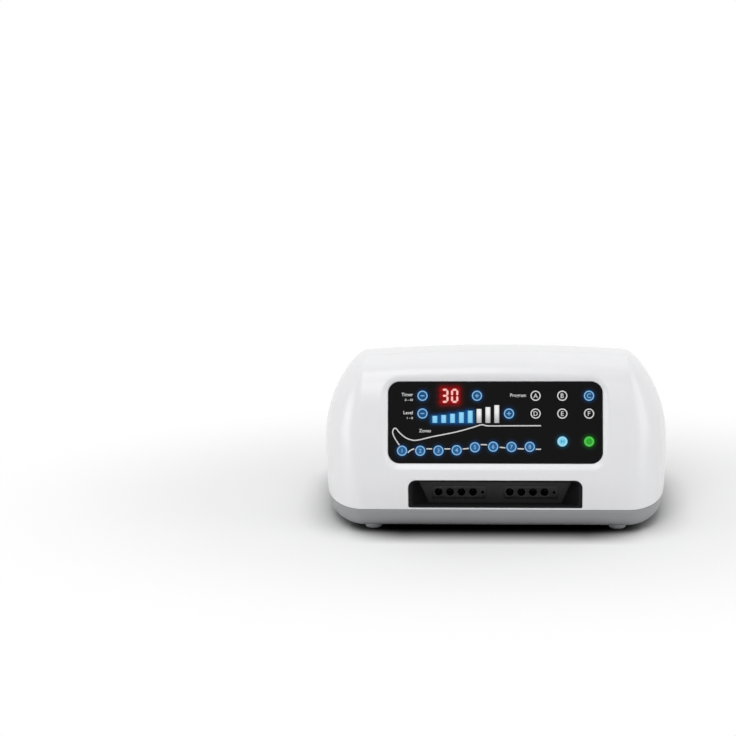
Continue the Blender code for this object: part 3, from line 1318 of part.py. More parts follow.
def mains_inlet(rear):
    """A three-pole appliance inlet: flange outside the wall, socket body through it."""
    body_outline = rounded_rectangle(INLET_WIDTH, INLET_HEIGHT, INLET_CORNER)
    flange_outline = rounded_rectangle(INLET_WIDTH + 2 * INLET_FLANGE, INLET_HEIGHT + 2 * INLET_FLANGE,
                                       INLET_CORNER)
    outer = SEAT + INLET_FLANGE_THICKNESS

    def slab(name, outline, low, high):
        return loft(name, [[(inlet_x() + x, y, z) for x, y in outline] for z in (low, high)], rear)

    body = slab("mains_inlet", body_outline, -INLET_BODY_DEPTH, SEAT + INLET_FLANGE_THICKNESS / 2)
    boolean(body, slab("inlet_flange", flange_outline, SEAT, outer), "UNION")
    margin = 2 * INLET_SOCKET_MARGIN
    socket = rounded_rectangle(INLET_WIDTH - margin, INLET_HEIGHT - margin,
                               INLET_CORNER - INLET_SOCKET_MARGIN)
    boolean(body, slab("inlet_socket", socket, outer - INLET_SOCKET_DEPTH, outer + OVERRUN))
    low, high = -INLET_BODY_DEPTH - OVERRUN, outer - INLET_SOCKET_DEPTH + OVERRUN
    size = (CONTACT_WIDTH + 2 * SEAT, CONTACT_HEIGHT + 2 * SEAT, high - low)
    holes = [(x, y, (low + high) / 2) for x, y in contact_spots()]
    boolean(body, boxes("contact_holes", size, holes, rear))
    return as_part(body, "black_matt", smooth=False)


def contact_spots():
    """Live, earth and neutral, the earth in the middle and higher than the others."""
    low, high = -CONTACT_RISE, CONTACT_RISE
    return [(inlet_x() - CONTACT_X, low), (inlet_x(), high), (inlet_x() + CONTACT_X, low)]


def inlet_contacts(rear):
    """Three flat contacts that stand in the socket and pass out through its back as tags."""
    outer = SEAT + INLET_FLANGE_THICKNESS - INLET_SOCKET_DEPTH + CONTACT_LENGTH
    low = -INLET_BODY_DEPTH - CONTACT_TAG
    size = (CONTACT_WIDTH, CONTACT_HEIGHT, outer - low)
    for name, (x, y) in zip(("live", "earth", "neutral"), contact_spots()):
        as_part(box(f"contact_{name}", size, (x, y, (outer + low) / 2), rear), "brass", smooth=False)


def rocker_frame(rear):
    """The switch body: a box through the wall with a bezel outside and a slot for the rocker."""
    width, height = ROCKER_WIDTH + 2 * ROCKER_FRAME_WALL, ROCKER_HEIGHT + 2 * ROCKER_FRAME_WALL
    top = SEAT + ROCKER_FLANGE_THICKNESS
    body = box("rocker_frame", (width, height, ROCKER_FRAME_DEPTH + top),
               (rocker_x(), 0, (top - ROCKER_FRAME_DEPTH) / 2), rear)
    size = (width + 2 * ROCKER_FLANGE, height + 2 * ROCKER_FLANGE, ROCKER_FLANGE_THICKNESS)
    boolean(body, box("rocker_bezel", size, (rocker_x(), 0, SEAT + ROCKER_FLANGE_THICKNESS / 2), rear,
                      bevel=ROCKER_FRAME_WALL / 2), "UNION")
    depth = ROCKER_PIVOT_DEPTH + ROCKER_CLEARANCE - rocker_end() * math.sin(ROCKER_HEEL - ROCKER_THROW)
    slot = (ROCKER_WIDTH, ROCKER_HEIGHT, depth + top + OVERRUN)
    boolean(body, box("rocker_slot", slot, (rocker_x(), 0, (top + OVERRUN - depth) / 2), rear))
    reach = ROCKER_WIDTH / 2 + ROCKER_PIN_LENGTH
    pin = [((rocker_x() - reach, 0, -ROCKER_PIVOT_DEPTH), (rocker_x() + reach, 0, -ROCKER_PIVOT_DEPTH))]
    boolean(body, cylinders("rocker_pin_holes", ROCKER_PIN_RADIUS + ROCKER_PIN_CLEARANCE, pin, rear))
    return as_part(body, "black_matt", smooth=False)


def rocker_end():
    """The radius of the rocker's round ends about its pivot."""
    return ROCKER_HEIGHT / 2 - ROCKER_CLEARANCE


def power_rocker(rear):
    """The rocker: round ends about its pins, a shallow V across its face, its off side pressed in."""
    steps = [ROCKER_HEEL + (ROCKER_NOSE - ROCKER_HEEL) * i / TINY_STEPS for i in range(TINY_STEPS + 1)]
    end = [(rocker_end() * math.cos(angle), rocker_end() * math.sin(angle)) for angle in steps]
    y, z = end[-1]
    outline = end + [(0.0, z - y * math.tan(ROCKER_THROW))] + [(-y, z) for y, z in reversed(end)]
    wide = ROCKER_WIDTH / 2 - ROCKER_CLEARANCE
    piece = loft("power_rocker", [[(x, y, z) for y, z in outline] for x in (-wide, wide)], rear)
    reach = ROCKER_WIDTH / 2 + ROCKER_PIN_LENGTH - SEAT
    pins = cylinders("rocker_pins", ROCKER_PIN_RADIUS, [((-reach, 0, 0), (reach, 0, 0))])
    for obj in (piece, pins):
        place(obj, rear, (rocker_x(), 0, -ROCKER_PIVOT_DEPTH), (ROCKER_THROW, 0, 0))
    boolean(piece, pins, "UNION")
    return as_part(piece, "black_matt", smooth=False)


def fan_depths():
    """The fan's near and far faces behind the rear wall."""
    near = -WALL - 2 * SEAT
    return near, near - FAN_THICKNESS


def fan_frame(rear):
    """A square frame with a round duct and three struts that carry the rotor's bearing."""
    near, far = fan_depths()
    rise = fan_rise()
    frame = box("fan_frame", (FAN_SIZE, FAN_SIZE, FAN_THICKNESS), (fan_x(), rise, (near + far) / 2), rear)
    duct = [((fan_x(), rise, far - OVERRUN), (fan_x(), rise, near + OVERRUN))]
    boolean(frame, cylinders("fan_duct", FAN_DUCT_RADIUS, duct, rear, steps=WIDE_STEPS))
    reach = FAN_DUCT_RADIUS + FAN_STRUT_WIDTH
    middle = far + FAN_STRUT_THICKNESS / 2
    for i in range(FAN_STRUTS):
        strut = box(f"fan_strut_{i}", (reach, FAN_STRUT_WIDTH, FAN_STRUT_THICKNESS), (reach / 2, 0, 0))
        place(strut, rear, (fan_x(), rise, middle), (0, 0, math.tau * i / FAN_STRUTS - math.pi / 2))
        boolean(frame, strut, "UNION")
    cup = [((fan_x(), rise, far), (fan_x(), rise, far + FAN_STRUT_THICKNESS))]
    boolean(frame, cylinders("fan_bearing_cup", FAN_HUB_RADIUS, cup, rear, steps=ROUND_STEPS), "UNION")
    bore = [((fan_x(), rise, far - OVERRUN), (fan_x(), rise, near + OVERRUN))]
    boolean(frame, cylinders("fan_bearing_bore", FAN_SHAFT_RADIUS + SEAT, bore, rear))
    holes = [((x, y, far - OVERRUN), (x, y, near + OVERRUN)) for x, y in fan_screw_spots()]
    boolean(frame, cylinders("fan_frame_holes", SCREW_HOLE_RADIUS, holes, rear, steps=HOLE_STEPS))
    return as_part(frame, "black_matt", smooth=False)


def fan_rotor(rear):
    """A hub with pitched blades and a shaft that runs in the frame's bearing."""
    near, far = fan_depths()
    low = far + FAN_STRUT_THICKNESS + FAN_END_CLEARANCE
    high = near - FAN_END_CLEARANCE
    length = high - low
    tail = -FAN_STRUT_THICKNESS - FAN_END_CLEARANCE
    profile = [(0.0, length), (FAN_HUB_RADIUS, length), (FAN_HUB_RADIUS, 0.0), (FAN_SHAFT_RADIUS, 0.0),
               (FAN_SHAFT_RADIUS, tail), (0.0, tail)]
    at = (fan_x(), fan_rise(), low)
    hub = turned("fan_rotor", profile, steps=ROUND_STEPS, parent=rear, at=at)
    blade_span = FAN_DUCT_RADIUS - FAN_TIP_CLEARANCE - FAN_HUB_RADIUS
    rise = length - 2 * FAN_BLADE_INSET - FAN_BLADE_THICKNESS * math.cos(FAN_BLADE_PITCH)
    chord = rise / math.sin(FAN_BLADE_PITCH)
    for i in range(FAN_BLADES):
        bm = bmesh.new()
        start = FAN_HUB_RADIUS - FAN_BLADE_THICKNESS
        add_box(bm, (blade_span + FAN_BLADE_THICKNESS, chord, FAN_BLADE_THICKNESS),
                (start + (blade_span + FAN_BLADE_THICKNESS) / 2, 0, 0))
        bmesh.ops.rotate(bm, verts=bm.verts, matrix=Matrix.Rotation(FAN_BLADE_PITCH, 3, "X"))
        bmesh.ops.translate(bm, verts=bm.verts, vec=(0, 0, length / 2))
        blade = from_bmesh(f"fan_blade_{i}", bm, rear, at, (0, 0, math.tau * i / FAN_BLADES))
        boolean(hub, blade, "UNION")
    return as_part(hub, "black_matt", smooth=False)


def build():
    panel = panel_frame()
    rear = rear_frame()
    upper_housing(panel, rear)
    lower_housing()
    feet()
    foot_screws()
    control_panel(panel)
    keys(panel)
    switch_mat(panel)
    time_display(panel)
    pressure_bars(panel)
    display_board(panel)
    hose_bay()
    port_block("port_block_left", -PORT_BLOCK_X)
    port_block("port_block_right", PORT_BLOCK_X)
    valve_manifold()
    valve_bank("valve_bank_left", -1)
    valve_bank("valve_bank_right", 1)
    compressor()
    compressor_mounts()
    supply_tube()
    power_board()
    control_board()
    transformer()
    ribbon_cable(panel)
    mains_inlet(rear)
    inlet_contacts(rear)
    rocker_frame(rear)
    power_rocker(rear)
    fan_frame(rear)
    fan_rotor(rear)
    bpy.context.view_layer.update()


empty_the_scene()
PARTS = new_collection("compression_pump")
CUTTERS = new_collection("cutters")
build()
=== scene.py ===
import math

import bmesh
import bpy
import numpy as np
from mathutils import Matrix, Vector


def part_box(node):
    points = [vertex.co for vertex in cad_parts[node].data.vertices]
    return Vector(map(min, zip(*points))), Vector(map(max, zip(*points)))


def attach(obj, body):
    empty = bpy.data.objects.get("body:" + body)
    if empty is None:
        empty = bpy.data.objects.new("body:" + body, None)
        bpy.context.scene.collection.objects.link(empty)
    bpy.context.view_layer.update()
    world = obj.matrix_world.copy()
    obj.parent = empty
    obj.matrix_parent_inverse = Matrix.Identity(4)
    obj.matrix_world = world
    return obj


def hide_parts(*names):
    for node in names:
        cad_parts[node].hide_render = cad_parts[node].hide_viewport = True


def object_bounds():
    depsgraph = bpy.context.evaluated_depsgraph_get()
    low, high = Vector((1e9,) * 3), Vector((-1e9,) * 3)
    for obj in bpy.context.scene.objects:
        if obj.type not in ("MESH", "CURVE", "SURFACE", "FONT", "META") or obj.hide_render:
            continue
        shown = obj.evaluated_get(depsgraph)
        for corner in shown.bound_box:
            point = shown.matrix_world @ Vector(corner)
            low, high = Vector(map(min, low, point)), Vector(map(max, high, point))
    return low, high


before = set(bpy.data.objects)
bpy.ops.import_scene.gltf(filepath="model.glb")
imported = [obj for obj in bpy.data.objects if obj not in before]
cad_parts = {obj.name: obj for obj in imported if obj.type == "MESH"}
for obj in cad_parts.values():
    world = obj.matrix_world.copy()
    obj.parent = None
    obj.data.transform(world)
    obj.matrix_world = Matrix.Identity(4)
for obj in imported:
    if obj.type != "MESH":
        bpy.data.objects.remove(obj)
CAD_BOX = [list(corner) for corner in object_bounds()]
MM = 0.001


# Camera
# The photograph looks down at the pump by 15 degrees from about two metres. Its middle lies up and
# to the left of the pump, so the camera aims past the panel instead of shifting its lens.
PHOTO_SIDE = 736
SENSOR = 36.0
FOCAL_PIXELS = 1919.0
LOOK_DOWN = math.radians(15.0)
CAMERA_DISTANCE = 2.0
AIM = Vector((0.0, -0.100, 0.113))
AIM_PIXEL = (495.0, 424.0)

back_up = Vector((0.0, -math.cos(LOOK_DOWN), math.sin(LOOK_DOWN)))
right = Vector((1.0, 0.0, 0.0))
straight = Matrix((right, back_up.cross(right), back_up)).transposed()
off_middle = Vector((AIM_PIXEL[0] - PHOTO_SIDE / 2, PHOTO_SIDE / 2 - AIM_PIXEL[1], -FOCAL_PIXELS))
swing = off_middle.rotation_difference(Vector((0.0, 0.0, -1.0))).to_matrix()
camera = bpy.data.objects.new("camera", bpy.data.cameras.new("camera"))
camera.data.sensor_width = SENSOR
camera.data.lens = SENSOR * FOCAL_PIXELS / PHOTO_SIDE
camera.matrix_world = Matrix.Translation(AIM + back_up * CAMERA_DISTANCE) @ (straight @ swing).to_4x4()
bpy.context.scene.collection.objects.link(camera)
bpy.context.scene.camera = camera
bpy.context.scene.view_settings.view_transform = "Standard"


# Upper housing
# One white moulding in ABS, satin from a finely eroded tool. Its walls lean back and round over into
# a roof that falls to the rear. A soft pocket round the panel and the mouth of the hose bay are
# moulded in, and four screws from below hold it to the tub.
CASING_WIDTH = 2 * CAD_BOX[1][0]
CASING_DEPTH = -2 * CAD_BOX[0][1]
CREST_HEIGHT = CAD_BOX[1][2]
CREST_SETBACK = 54.0 * MM
PARTING_HEIGHT = 26.0 * MM
UNDERSIDE_HEIGHT = 7.5 * MM
WALL = 2.8 * MM
SEAT = 0.3 * MM
OVERRUN = 6.0 * MM
FRONT_HALF_FLAT = 137.0 * MM
FRONT_RAKE = 50.0 * MM
REAR_RAKE = 14.0 * MM
FRONT_CORNER_FOOT = 100.0 * MM
FRONT_CORNER_TOP = 60.0 * MM
REAR_CORNER_FOOT = 62.0 * MM
REAR_CORNER_TOP = 50.0 * MM
LEAST_CORNER = 6.0 * MM
ROOF_FALL = 56.458 * MM
ROOF_ARCH_RADIUS = 1900.0 * MM
ROOF_EDGE = 5.0 * MM
FOOT_EDGE = 0.4 * MM
WIDTH_LEVEL_SHARES = (0.0, 0.16, 0.31, 0.55, 0.71, 0.85, 0.94, 1.0)
WIDTH_SHARES = (0.9956, 1.0, 1.0, 0.9874, 0.949, 0.8914, 0.8365, 0.7844)
RAKE_LEVEL_SHARES = (0.0, 0.19, 0.31, 0.55, 0.83, 0.93, 1.0)
RAKE_SHARES = (0.0, 0.028, 0.09, 0.25, 0.56, 0.74, 1.0)
FINE = {"flat": 110, "corner": 28, "side": 6, "rear": 30}
COARSE = {"flat": 12, "corner": 12, "side": 2, "rear": 8}
WALL_ROWS = 112
EDGE_ROWS = 8
ROOF_ROWS = 22
CAVITY_ROWS = 14


def smooth_share(levels, values, level):
    """A smooth curve through shares, by cubic steps with averaged slopes, never over the whole."""
    levels, values, level = np.asarray(levels), np.asarray(values), np.asarray(level, float)
    slopes = np.gradient(values, levels)
    i = np.clip(np.searchsorted(levels, level) - 1, 0, len(levels) - 2)
    span = levels[i + 1] - levels[i]
    s = (level - levels[i]) / span
    curve = ((1 + 2 * s) * (1 - s) ** 2 * values[i] + s * (1 - s) ** 2 * span * slopes[i]
             + s * s * (3 - 2 * s) * values[i + 1] + s * s * (s - 1) * span * slopes[i + 1])
    return np.minimum(curve, 1.0)


def half_width(level):
    return CASING_WIDTH / 2 * smooth_share(WIDTH_LEVEL_SHARES, WIDTH_SHARES, level)


def front_y(level):
    return -CASING_DEPTH / 2 + FRONT_RAKE * smooth_share(RAKE_LEVEL_SHARES, RAKE_SHARES, level)


def rear_y(level):
    return CASING_DEPTH / 2 - REAR_RAKE * level


def plan(width, front, rear, front_reach, rear_reach, steps):
    """A plan outline from the middle of the front, anticlockwise: flats, sides, elliptical corners."""
    corner = max(float(width) - FRONT_HALF_FLAT, LEAST_CORNER)
    flat = float(width) - corner
    turn = np.linspace(0, math.pi / 2, steps["corner"] + 1)
    half = [np.c_[np.linspace(0, flat, steps["flat"] + 1), np.full(steps["flat"] + 1, front)]]
    half.append(np.c_[flat + corner * np.sin(turn[1:]), front + front_reach * (1 - np.cos(turn[1:]))])
    side = np.linspace(front + front_reach, rear - rear_reach, steps["side"] + 1)[1:-1]
    half.append(np.c_[np.full(len(side), width), side])
    half.append(np.c_[flat + corner * np.cos(turn), rear - rear_reach * (1 - np.sin(turn))])
    half.append(np.c_[np.linspace(flat, 0, steps["rear"] + 1)[1:], np.full(steps["rear"], rear)])
    half = np.concatenate(half)
    return np.concatenate([half, half[-2:0:-1] * (-1, 1)])


def level_plan(level, inset, steps):
    front_reach = FRONT_CORNER_FOOT + (FRONT_CORNER_TOP - FRONT_CORNER_FOOT) * level
    rear_reach = REAR_CORNER_FOOT + (REAR_CORNER_TOP - REAR_CORNER_FOOT) * level
    return plan(half_width(level) - inset, front_y(level) + inset, rear_y(level) - inset,
                front_reach - inset, rear_reach - inset, steps)


def roof_height(x, y, inset=0.0):
    """The roof runs level to its crest, then falls to the rear, and arches across."""
    crest_y = CREST_SETBACK - CASING_DEPTH / 2
    behind = np.maximum(y - crest_y, 0.0) / (rear_y(1.0) - crest_y)
    return CREST_HEIGHT - inset - ROOF_FALL * behind ** 2 - x ** 2 / (2 * ROOF_ARCH_RADIUS)


def wall_rows(levels, inset, steps):
    """Rows of points up the walls; each line of points runs to its own place on the roof."""
    top = level_plan(1.0, inset, steps)
    rise = roof_height(top[:, 0], top[:, 1], inset) - PARTING_HEIGHT
    return [np.c_[level_plan(level, inset, steps), PARTING_HEIGHT + level * rise] for level in levels]


def roof_rows(top, shares, inset):
    """Rows of points over the roof, drawn in towards its middle by shares."""
    middle = (top[:, :2].max(axis=0) + top[:, :2].min(axis=0)) / 2
    rows = []
    for share in shares:
        inner = middle + (top[:, :2] - middle) * np.reshape(share, (-1, 1))
        rows.append(np.c_[inner, roof_height(inner[:, 0], inner[:, 1], inset)])
    return rows


def skin(name, rows, ring=False):
    """A closed mesh through rows of points, fanned to a point at both ends or joined into a ring."""
    count = len(rows[0])
    points = np.concatenate(rows)
    last = len(rows) if ring else len(rows) - 1
    faces = []
    for k in range(last):
        low, high = k * count, (k + 1) % len(rows) * count
        faces += [(low + i, low + (i + 1) % count, high + (i + 1) % count, high + i) for i in range(count)]
    if not ring:
        middles = np.array([rows[0].mean(axis=0), rows[-1].mean(axis=0)])
        faces += [((i + 1) % count, i, len(points)) for i in range(count)]
        high = last * count
        faces += [(high + i, high + (i + 1) % count, len(points) + 1) for i in range(count)]
        points = np.concatenate([points, middles])
    mesh = bpy.data.meshes.new(name)
    mesh.from_pydata(points.tolist(), [], faces)
    obj = bpy.data.objects.new(name, mesh)
    bpy.context.scene.collection.objects.link(obj)
    return obj


def settle(obj):
    """Makes an object's modifiers part of its mesh."""
    bpy.context.view_layer.update()
    ready = obj.evaluated_get(bpy.context.evaluated_depsgraph_get())
    mesh = bpy.data.meshes.new_from_object(ready)
    obj.modifiers.clear()
    obj.data = mesh
    return obj


def carve(obj, tool, operation="DIFFERENCE"):
    """Cuts a tool out of an object, or joins it on, and takes the tool away."""
    step = obj.modifiers.new("carve", "BOOLEAN")
    step.operation = operation
    step.solver = "MANIFOLD"
    step.object = tool
    settle(obj)
    if not obj.data.polygons:
        raise RuntimeError(f"{tool.name} left nothing of {obj.name}")
    bpy.data.objects.remove(tool, do_unlink=True)
    return obj


def joined(name, pieces):
    """Several separate pieces as one object, with their materials."""
    bm = bmesh.new()
    slots = []
    for piece in pieces:
        first = len(bm.faces)
        bm.from_mesh(piece.data)
        bm.faces.ensure_lookup_table()
        for material in piece.data.materials:
            if material not in slots:
                slots.append(material)
        if piece.data.materials:
            for face in bm.faces[first:]:
                face.material_index = slots.index(piece.data.materials[face.material_index])
        bpy.data.objects.remove(piece, do_unlink=True)
    mesh = bpy.data.meshes.new(name)
    bm.to_mesh(mesh)
    bm.free()
    for material in slots:
        mesh.materials.append(material)
    obj = bpy.data.objects.new(name, mesh)
    bpy.context.scene.collection.objects.link(obj)
    return obj


def smooth(obj, angle=35.0):
    """Smooth shading that breaks only at real corners."""
    obj.data.shade_smooth()
    obj.data.set_sharp_from_angle(angle=math.radians(angle))
    return obj


def rounded_rectangle(width, height, radius, low_grow=0.0, high_grow=0.0, steps=8):
    """A rounded rectangle about the origin, anticlockwise; its foot and top can reach further."""
    x, low, high = width / 2 - radius, radius - height / 2 - low_grow, height / 2 + high_grow - radius
    points = []
    for i, (cx, cy) in enumerate(((x, low), (x, high), (-x, high), (-x, low))):
        turn = np.linspace((i - 1) * math.pi / 2, i * math.pi / 2, steps + 1)
        points.append(np.c_[cx + radius * np.cos(turn), cy + radius * np.sin(turn)])
    return np.concatenate(points)


def circle(radius, steps=48):
    turn = np.linspace(0, math.tau, steps, endpoint=False)
    return np.c_[radius * np.cos(turn), radius * np.sin(turn)]


def plug(name, outline, steps, stand=Matrix(), at=(0.0, 0.0)):
    """A closed solid through an outline that grows: each step is how far it grows, and its height."""
    rows = [np.c_[outline(grow) + np.array(at), np.full(len(outline(grow)), height)] for grow, height in steps]
    obj = skin(name, rows)
    obj.data.transform(stand)
    return obj


def round_rim(radius, deep, over, steps=5):
    """Steps of a straight hole whose rim rounds over at the surface."""
    turns = [math.pi / 2 * i / steps for i in range(steps + 1)]
    arc = [(radius * (1 - math.cos(turn)), radius * (math.sin(turn) - 1)) for turn in turns]
    return [(0.0, -deep)] + arc + [(radius, over)]


def post(name, radius, low, high, steps=32):
    """A plain round bar from one height to another, stood on a place and a stand later."""
    return skin(name, [np.c_[circle(radius, steps), np.full(steps, height)] for height in (low, high)])


def block(name, size, middle, stand=Matrix()):
    """A plain box of a size about a middle."""
    outline = np.array([(1, -1), (1, 1), (-1, 1), (-1, -1)]) / 2 * size[:2] + middle[:2]
    heights = (middle[2] - size[2] / 2, middle[2] + size[2] / 2)
    obj = skin(name, [np.c_[outline, np.full(4, height)] for height in heights])
    obj.data.transform(stand)
    return obj


def moved(obj, place, stand=Matrix()):
    """Moves a mesh to a place in a stand, in the mesh itself."""
    obj.data.transform(stand @ Matrix.Translation(place))
    return obj


# The stands that the panel's and the rear's pieces are placed in, with z out of the wall
PANEL_LEAN = math.radians(16.4)
PANEL_MIDDLE_HEIGHT = 114.6 * MM
PANEL_SINK = 7.0 * MM
REAR_ROW_HEIGHT = 56.0 * MM

panel_level = (PANEL_MIDDLE_HEIGHT - PARTING_HEIGHT) / (CREST_HEIGHT - PARTING_HEIGHT)
PANEL = (Matrix.Translation((0, float(front_y(panel_level)) + PANEL_SINK, PANEL_MIDDLE_HEIGHT))
         @ Matrix.Rotation(math.pi / 2 - PANEL_LEAN, 4, "X"))
rear_rise = CREST_HEIGHT - ROOF_FALL - PARTING_HEIGHT
REAR = (Matrix.Translation((0, rear_y((REAR_ROW_HEIGHT - PARTING_HEIGHT) / rear_rise), REAR_ROW_HEIGHT))
        @ Matrix.Rotation(math.pi, 4, "Z") @ Matrix.Rotation(math.pi / 2 - math.atan2(REAR_RAKE, rear_rise), 4, "X"))

# The pocket round the panel: a rounded lip stands just over the panel, and from it the surround
# rises to the casing's own surface
PANEL_WIDTH = 222.5 * MM
PANEL_HEIGHT = 85.0 * MM
PANEL_CORNER = 12.0 * MM
PANEL_THICKNESS = 2.0 * MM
PANEL_FIT = 0.4 * MM
PANEL_LIP = 0.6 * MM
LIP_ROUND = 0.5 * MM
POCKET_FLOOR = 1.5 * MM
RAMP_RISE = 14.0 * MM
RAMP_SIDE = 16.8 * MM
RAMP_TOP = 29.0 * MM
RAMP_BOTTOM = 36.0 * MM
RIM_SOFTNESS = 1.2 * MM
POCKET_REACH = 134.0 * MM
POCKET_PASSES = 6
TRAY_THICKNESS = 2.5 * MM
TRAY_LEDGE = 3.0 * MM
BOARD_DEPTH = 6.8 * MM
BOARD_BOSS_RADIUS = 2.8 * MM
BOARD_BOSS_RING = 11.0 * MM


def ramp_height(u, v):
    """How far the surround stands over the panel's face at a place in its plane."""
    over_u = np.abs(u) - PANEL_WIDTH / 2 + PANEL_CORNER
    over_v = np.abs(v) - PANEL_HEIGHT / 2 + PANEL_CORNER
    out_u, out_v = np.maximum(over_u, 0), np.maximum(over_v, 0)
    out = np.hypot(out_u, out_v)
    away = out + np.minimum(np.maximum(over_u, over_v), 0) - PANEL_CORNER - PANEL_FIT
    upright = (out_v / np.maximum(out, MM * MM)) ** 2
    reach = RAMP_SIDE + (np.where(v > 0, RAMP_TOP, RAMP_BOTTOM) - RAMP_SIDE) * upright
    return np.maximum(PANEL_LIP + away / reach * (RAMP_RISE - PANEL_LIP), -POCKET_FLOOR)


def sink_pocket(points):
    """Presses the surround into the front wall's points, with its rim rounded over."""
    x, y, z = points[:, 0], points[:, 1], points[:, 2]
    lean_sin, lean_cos = math.sin(PANEL_LEAN), math.cos(PANEL_LEAN)
    up = z - PANEL.translation.z
    back = up * lean_sin / lean_cos
    for _ in range(POCKET_PASSES):
        back = (up * lean_sin - ramp_height(x, back * lean_sin + up * lean_cos)) / lean_cos
    ramp_y = PANEL.translation.y + back
    near = np.maximum(RIM_SOFTNESS - np.abs(ramp_y - y), 0) / RIM_SOFTNESS
    sunk = np.maximum(ramp_y, y) + near ** 2 * RIM_SOFTNESS / 4
    points[:, 1] = np.where((np.abs(x) < POCKET_REACH) & (y < 0), sunk, y)


def outer_rows():
    """The outer skin, from its rounded foot up the walls and over the roof's edge to the crown."""
    top = wall_rows([1.0], 0.0, FINE)[0]
    height = top[:, 2] - PARTING_HEIGHT
    rows = []
    for inset_share, rise_share in ((1.0, 0.0), (0.3, 0.3)):
        foot = level_plan(0.0, FOOT_EDGE * inset_share, FINE)
        rows.append(np.c_[foot, np.full(len(foot), PARTING_HEIGHT + FOOT_EDGE * rise_share)])
    levels = np.linspace(FOOT_EDGE / height.max(), 1 - ROOF_EDGE / height.min(), WALL_ROWS)
    walls = wall_rows(levels, 0.0, FINE)
    for row in walls:
        sink_pocket(row)
    middle = (top[:, :2].max(axis=0) + top[:, :2].min(axis=0)) / 2
    start = 1 - ROOF_EDGE / np.linalg.norm(top[:, :2] - middle, axis=1)
    wall_end, roof_start = walls[-1], roof_rows(top, [start], 0.0)[0]
    edge = [(1 - t) ** 2 * wall_end + 2 * t * (1 - t) * top + t ** 2 * roof_start
            for t in np.linspace(0, 1, EDGE_ROWS + 1)[1:-1]]
    shares = [start * share for share in np.linspace(1.0, 0.04, ROOF_ROWS)]
    return rows + walls + edge + roof_rows(top, shares, 0.0)


def panel_outline(grow):
    return rounded_rectangle(PANEL_WIDTH + 2 * grow, PANEL_HEIGHT + 2 * grow, PANEL_CORNER + grow)


def tray_block():
    """The solid that carries the panel: its tray, flared like the surround that stands on it."""
    grow = PANEL_FIT + WALL
    width, height = PANEL_WIDTH + 2 * grow, PANEL_HEIGHT + 2 * grow
    seat = panel_outline(grow)
    flare = rounded_rectangle(width + 2 * RAMP_SIDE, height, PANEL_CORNER + grow + RAMP_SIDE,
                              RAMP_BOTTOM, RAMP_TOP)
    depth = PANEL_THICKNESS + SEAT + TRAY_THICKNESS
    rows = [np.c_[seat, np.full(len(seat), z)] for z in (-depth, 0.0)]
    obj = skin("tray_block", rows + [np.c_[flare, np.full(len(flare), RAMP_RISE)]])
    obj.data.transform(PANEL)
    return obj


def board_spots():
    x = PANEL_WIDTH / 2 - PANEL_CORNER + BOARD_BOSS_RING * math.cos(math.pi / 4)
    y = PANEL_HEIGHT / 2 - PANEL_CORNER + BOARD_BOSS_RING * math.sin(math.pi / 4)
    return [(sx * x, sy * y) for sy in (-1, 1) for sx in (-1, 1)]


# The four bosses over the feet, with a rib to each wall
FOOT_SIDE = 54.3 * MM
FOOT_END = 25.0 * MM
SCREW_HOLE_RADIUS = 2.15 * MM
SCREW_LENGTH = 36.0 * MM
BOSS_RADIUS = 5.0 * MM
BOSS_HEIGHT = 30.0 * MM
RIB_THICKNESS = 2.0 * MM
LIP_HEIGHT = 3.0 * MM

foot_x, foot_y = CASING_WIDTH / 2 - FOOT_SIDE, CASING_DEPTH / 2 - FOOT_END
CORNERS = {"front_left": (-1, -1), "front_right": (1, -1), "rear_left": (-1, 1), "rear_right": (1, 1)}

housing = skin("upper_housing_shell", outer_rows())
rows = wall_rows(np.linspace(0, 1, CAVITY_ROWS), WALL, COARSE)
rows.insert(0, rows[0] - (0, 0, OVERRUN))
cavity = skin("cavity", rows + roof_rows(rows[-1], (0.7, 0.35, 0.06), WALL))
carve(cavity, tray_block())
for x, y in board_spots():
    carve(cavity, moved(post("board_boss", BOARD_BOSS_RADIUS, SEAT - BOARD_DEPTH, 0.0), (x, y, 0), PANEL))
for sx, sy in CORNERS.values():
    high = PARTING_HEIGHT + BOSS_HEIGHT
    low = PARTING_HEIGHT + LIP_HEIGHT + 2 * SEAT
    boss = post("boss", BOSS_RADIUS, PARTING_HEIGHT, high)
    carve(cavity, moved(boss, (sx * foot_x, sy * foot_y, 0)))
    middle = (low + high) / 2
    side = (sx * (foot_x + FOOT_SIDE / 2), sy * foot_y, middle)
    carve(cavity, block("side_rib", (FOOT_SIDE, RIB_THICKNESS, high - low), side))
    end = (sx * (foot_x + BOSS_RADIUS - RIB_THICKNESS), sy * (foot_y + FOOT_END / 2), middle)
    carve(cavity, block("end_rib", (RIB_THICKNESS, FOOT_END, high - low), end))
carve(housing, cavity)


def seat_outline(grow):
    return panel_outline(PANEL_FIT + grow)


seat_depth = PANEL_THICKNESS + SEAT + PANEL_LIP
carve(housing, plug("panel_seat", seat_outline, round_rim(LIP_ROUND, seat_depth, OVERRUN),
                    PANEL @ Matrix.Translation((0, 0, PANEL_LIP))))
carve(housing, plug("tray_window", panel_outline,
                    [(-TRAY_LEDGE, -PANEL_THICKNESS - TRAY_THICKNESS - OVERRUN), (-TRAY_LEDGE, 0.0)], PANEL))

# The bay's mouth in the front wall, with a softly rounded rim that follows the wall's lean
BAY_HALF_WIDTH = 90.3 * MM
BAY_SILL = 1.6 * MM
BAY_HEIGHT = 29.4 * MM
BAY_TOP_CORNER = 8.0 * MM
BAY_FOOT_CORNER = 1.6 * MM
MOUTH_RIM = 1.0 * MM

bay_bottom = PARTING_HEIGHT + BAY_SILL
bay_top = bay_bottom + BAY_HEIGHT


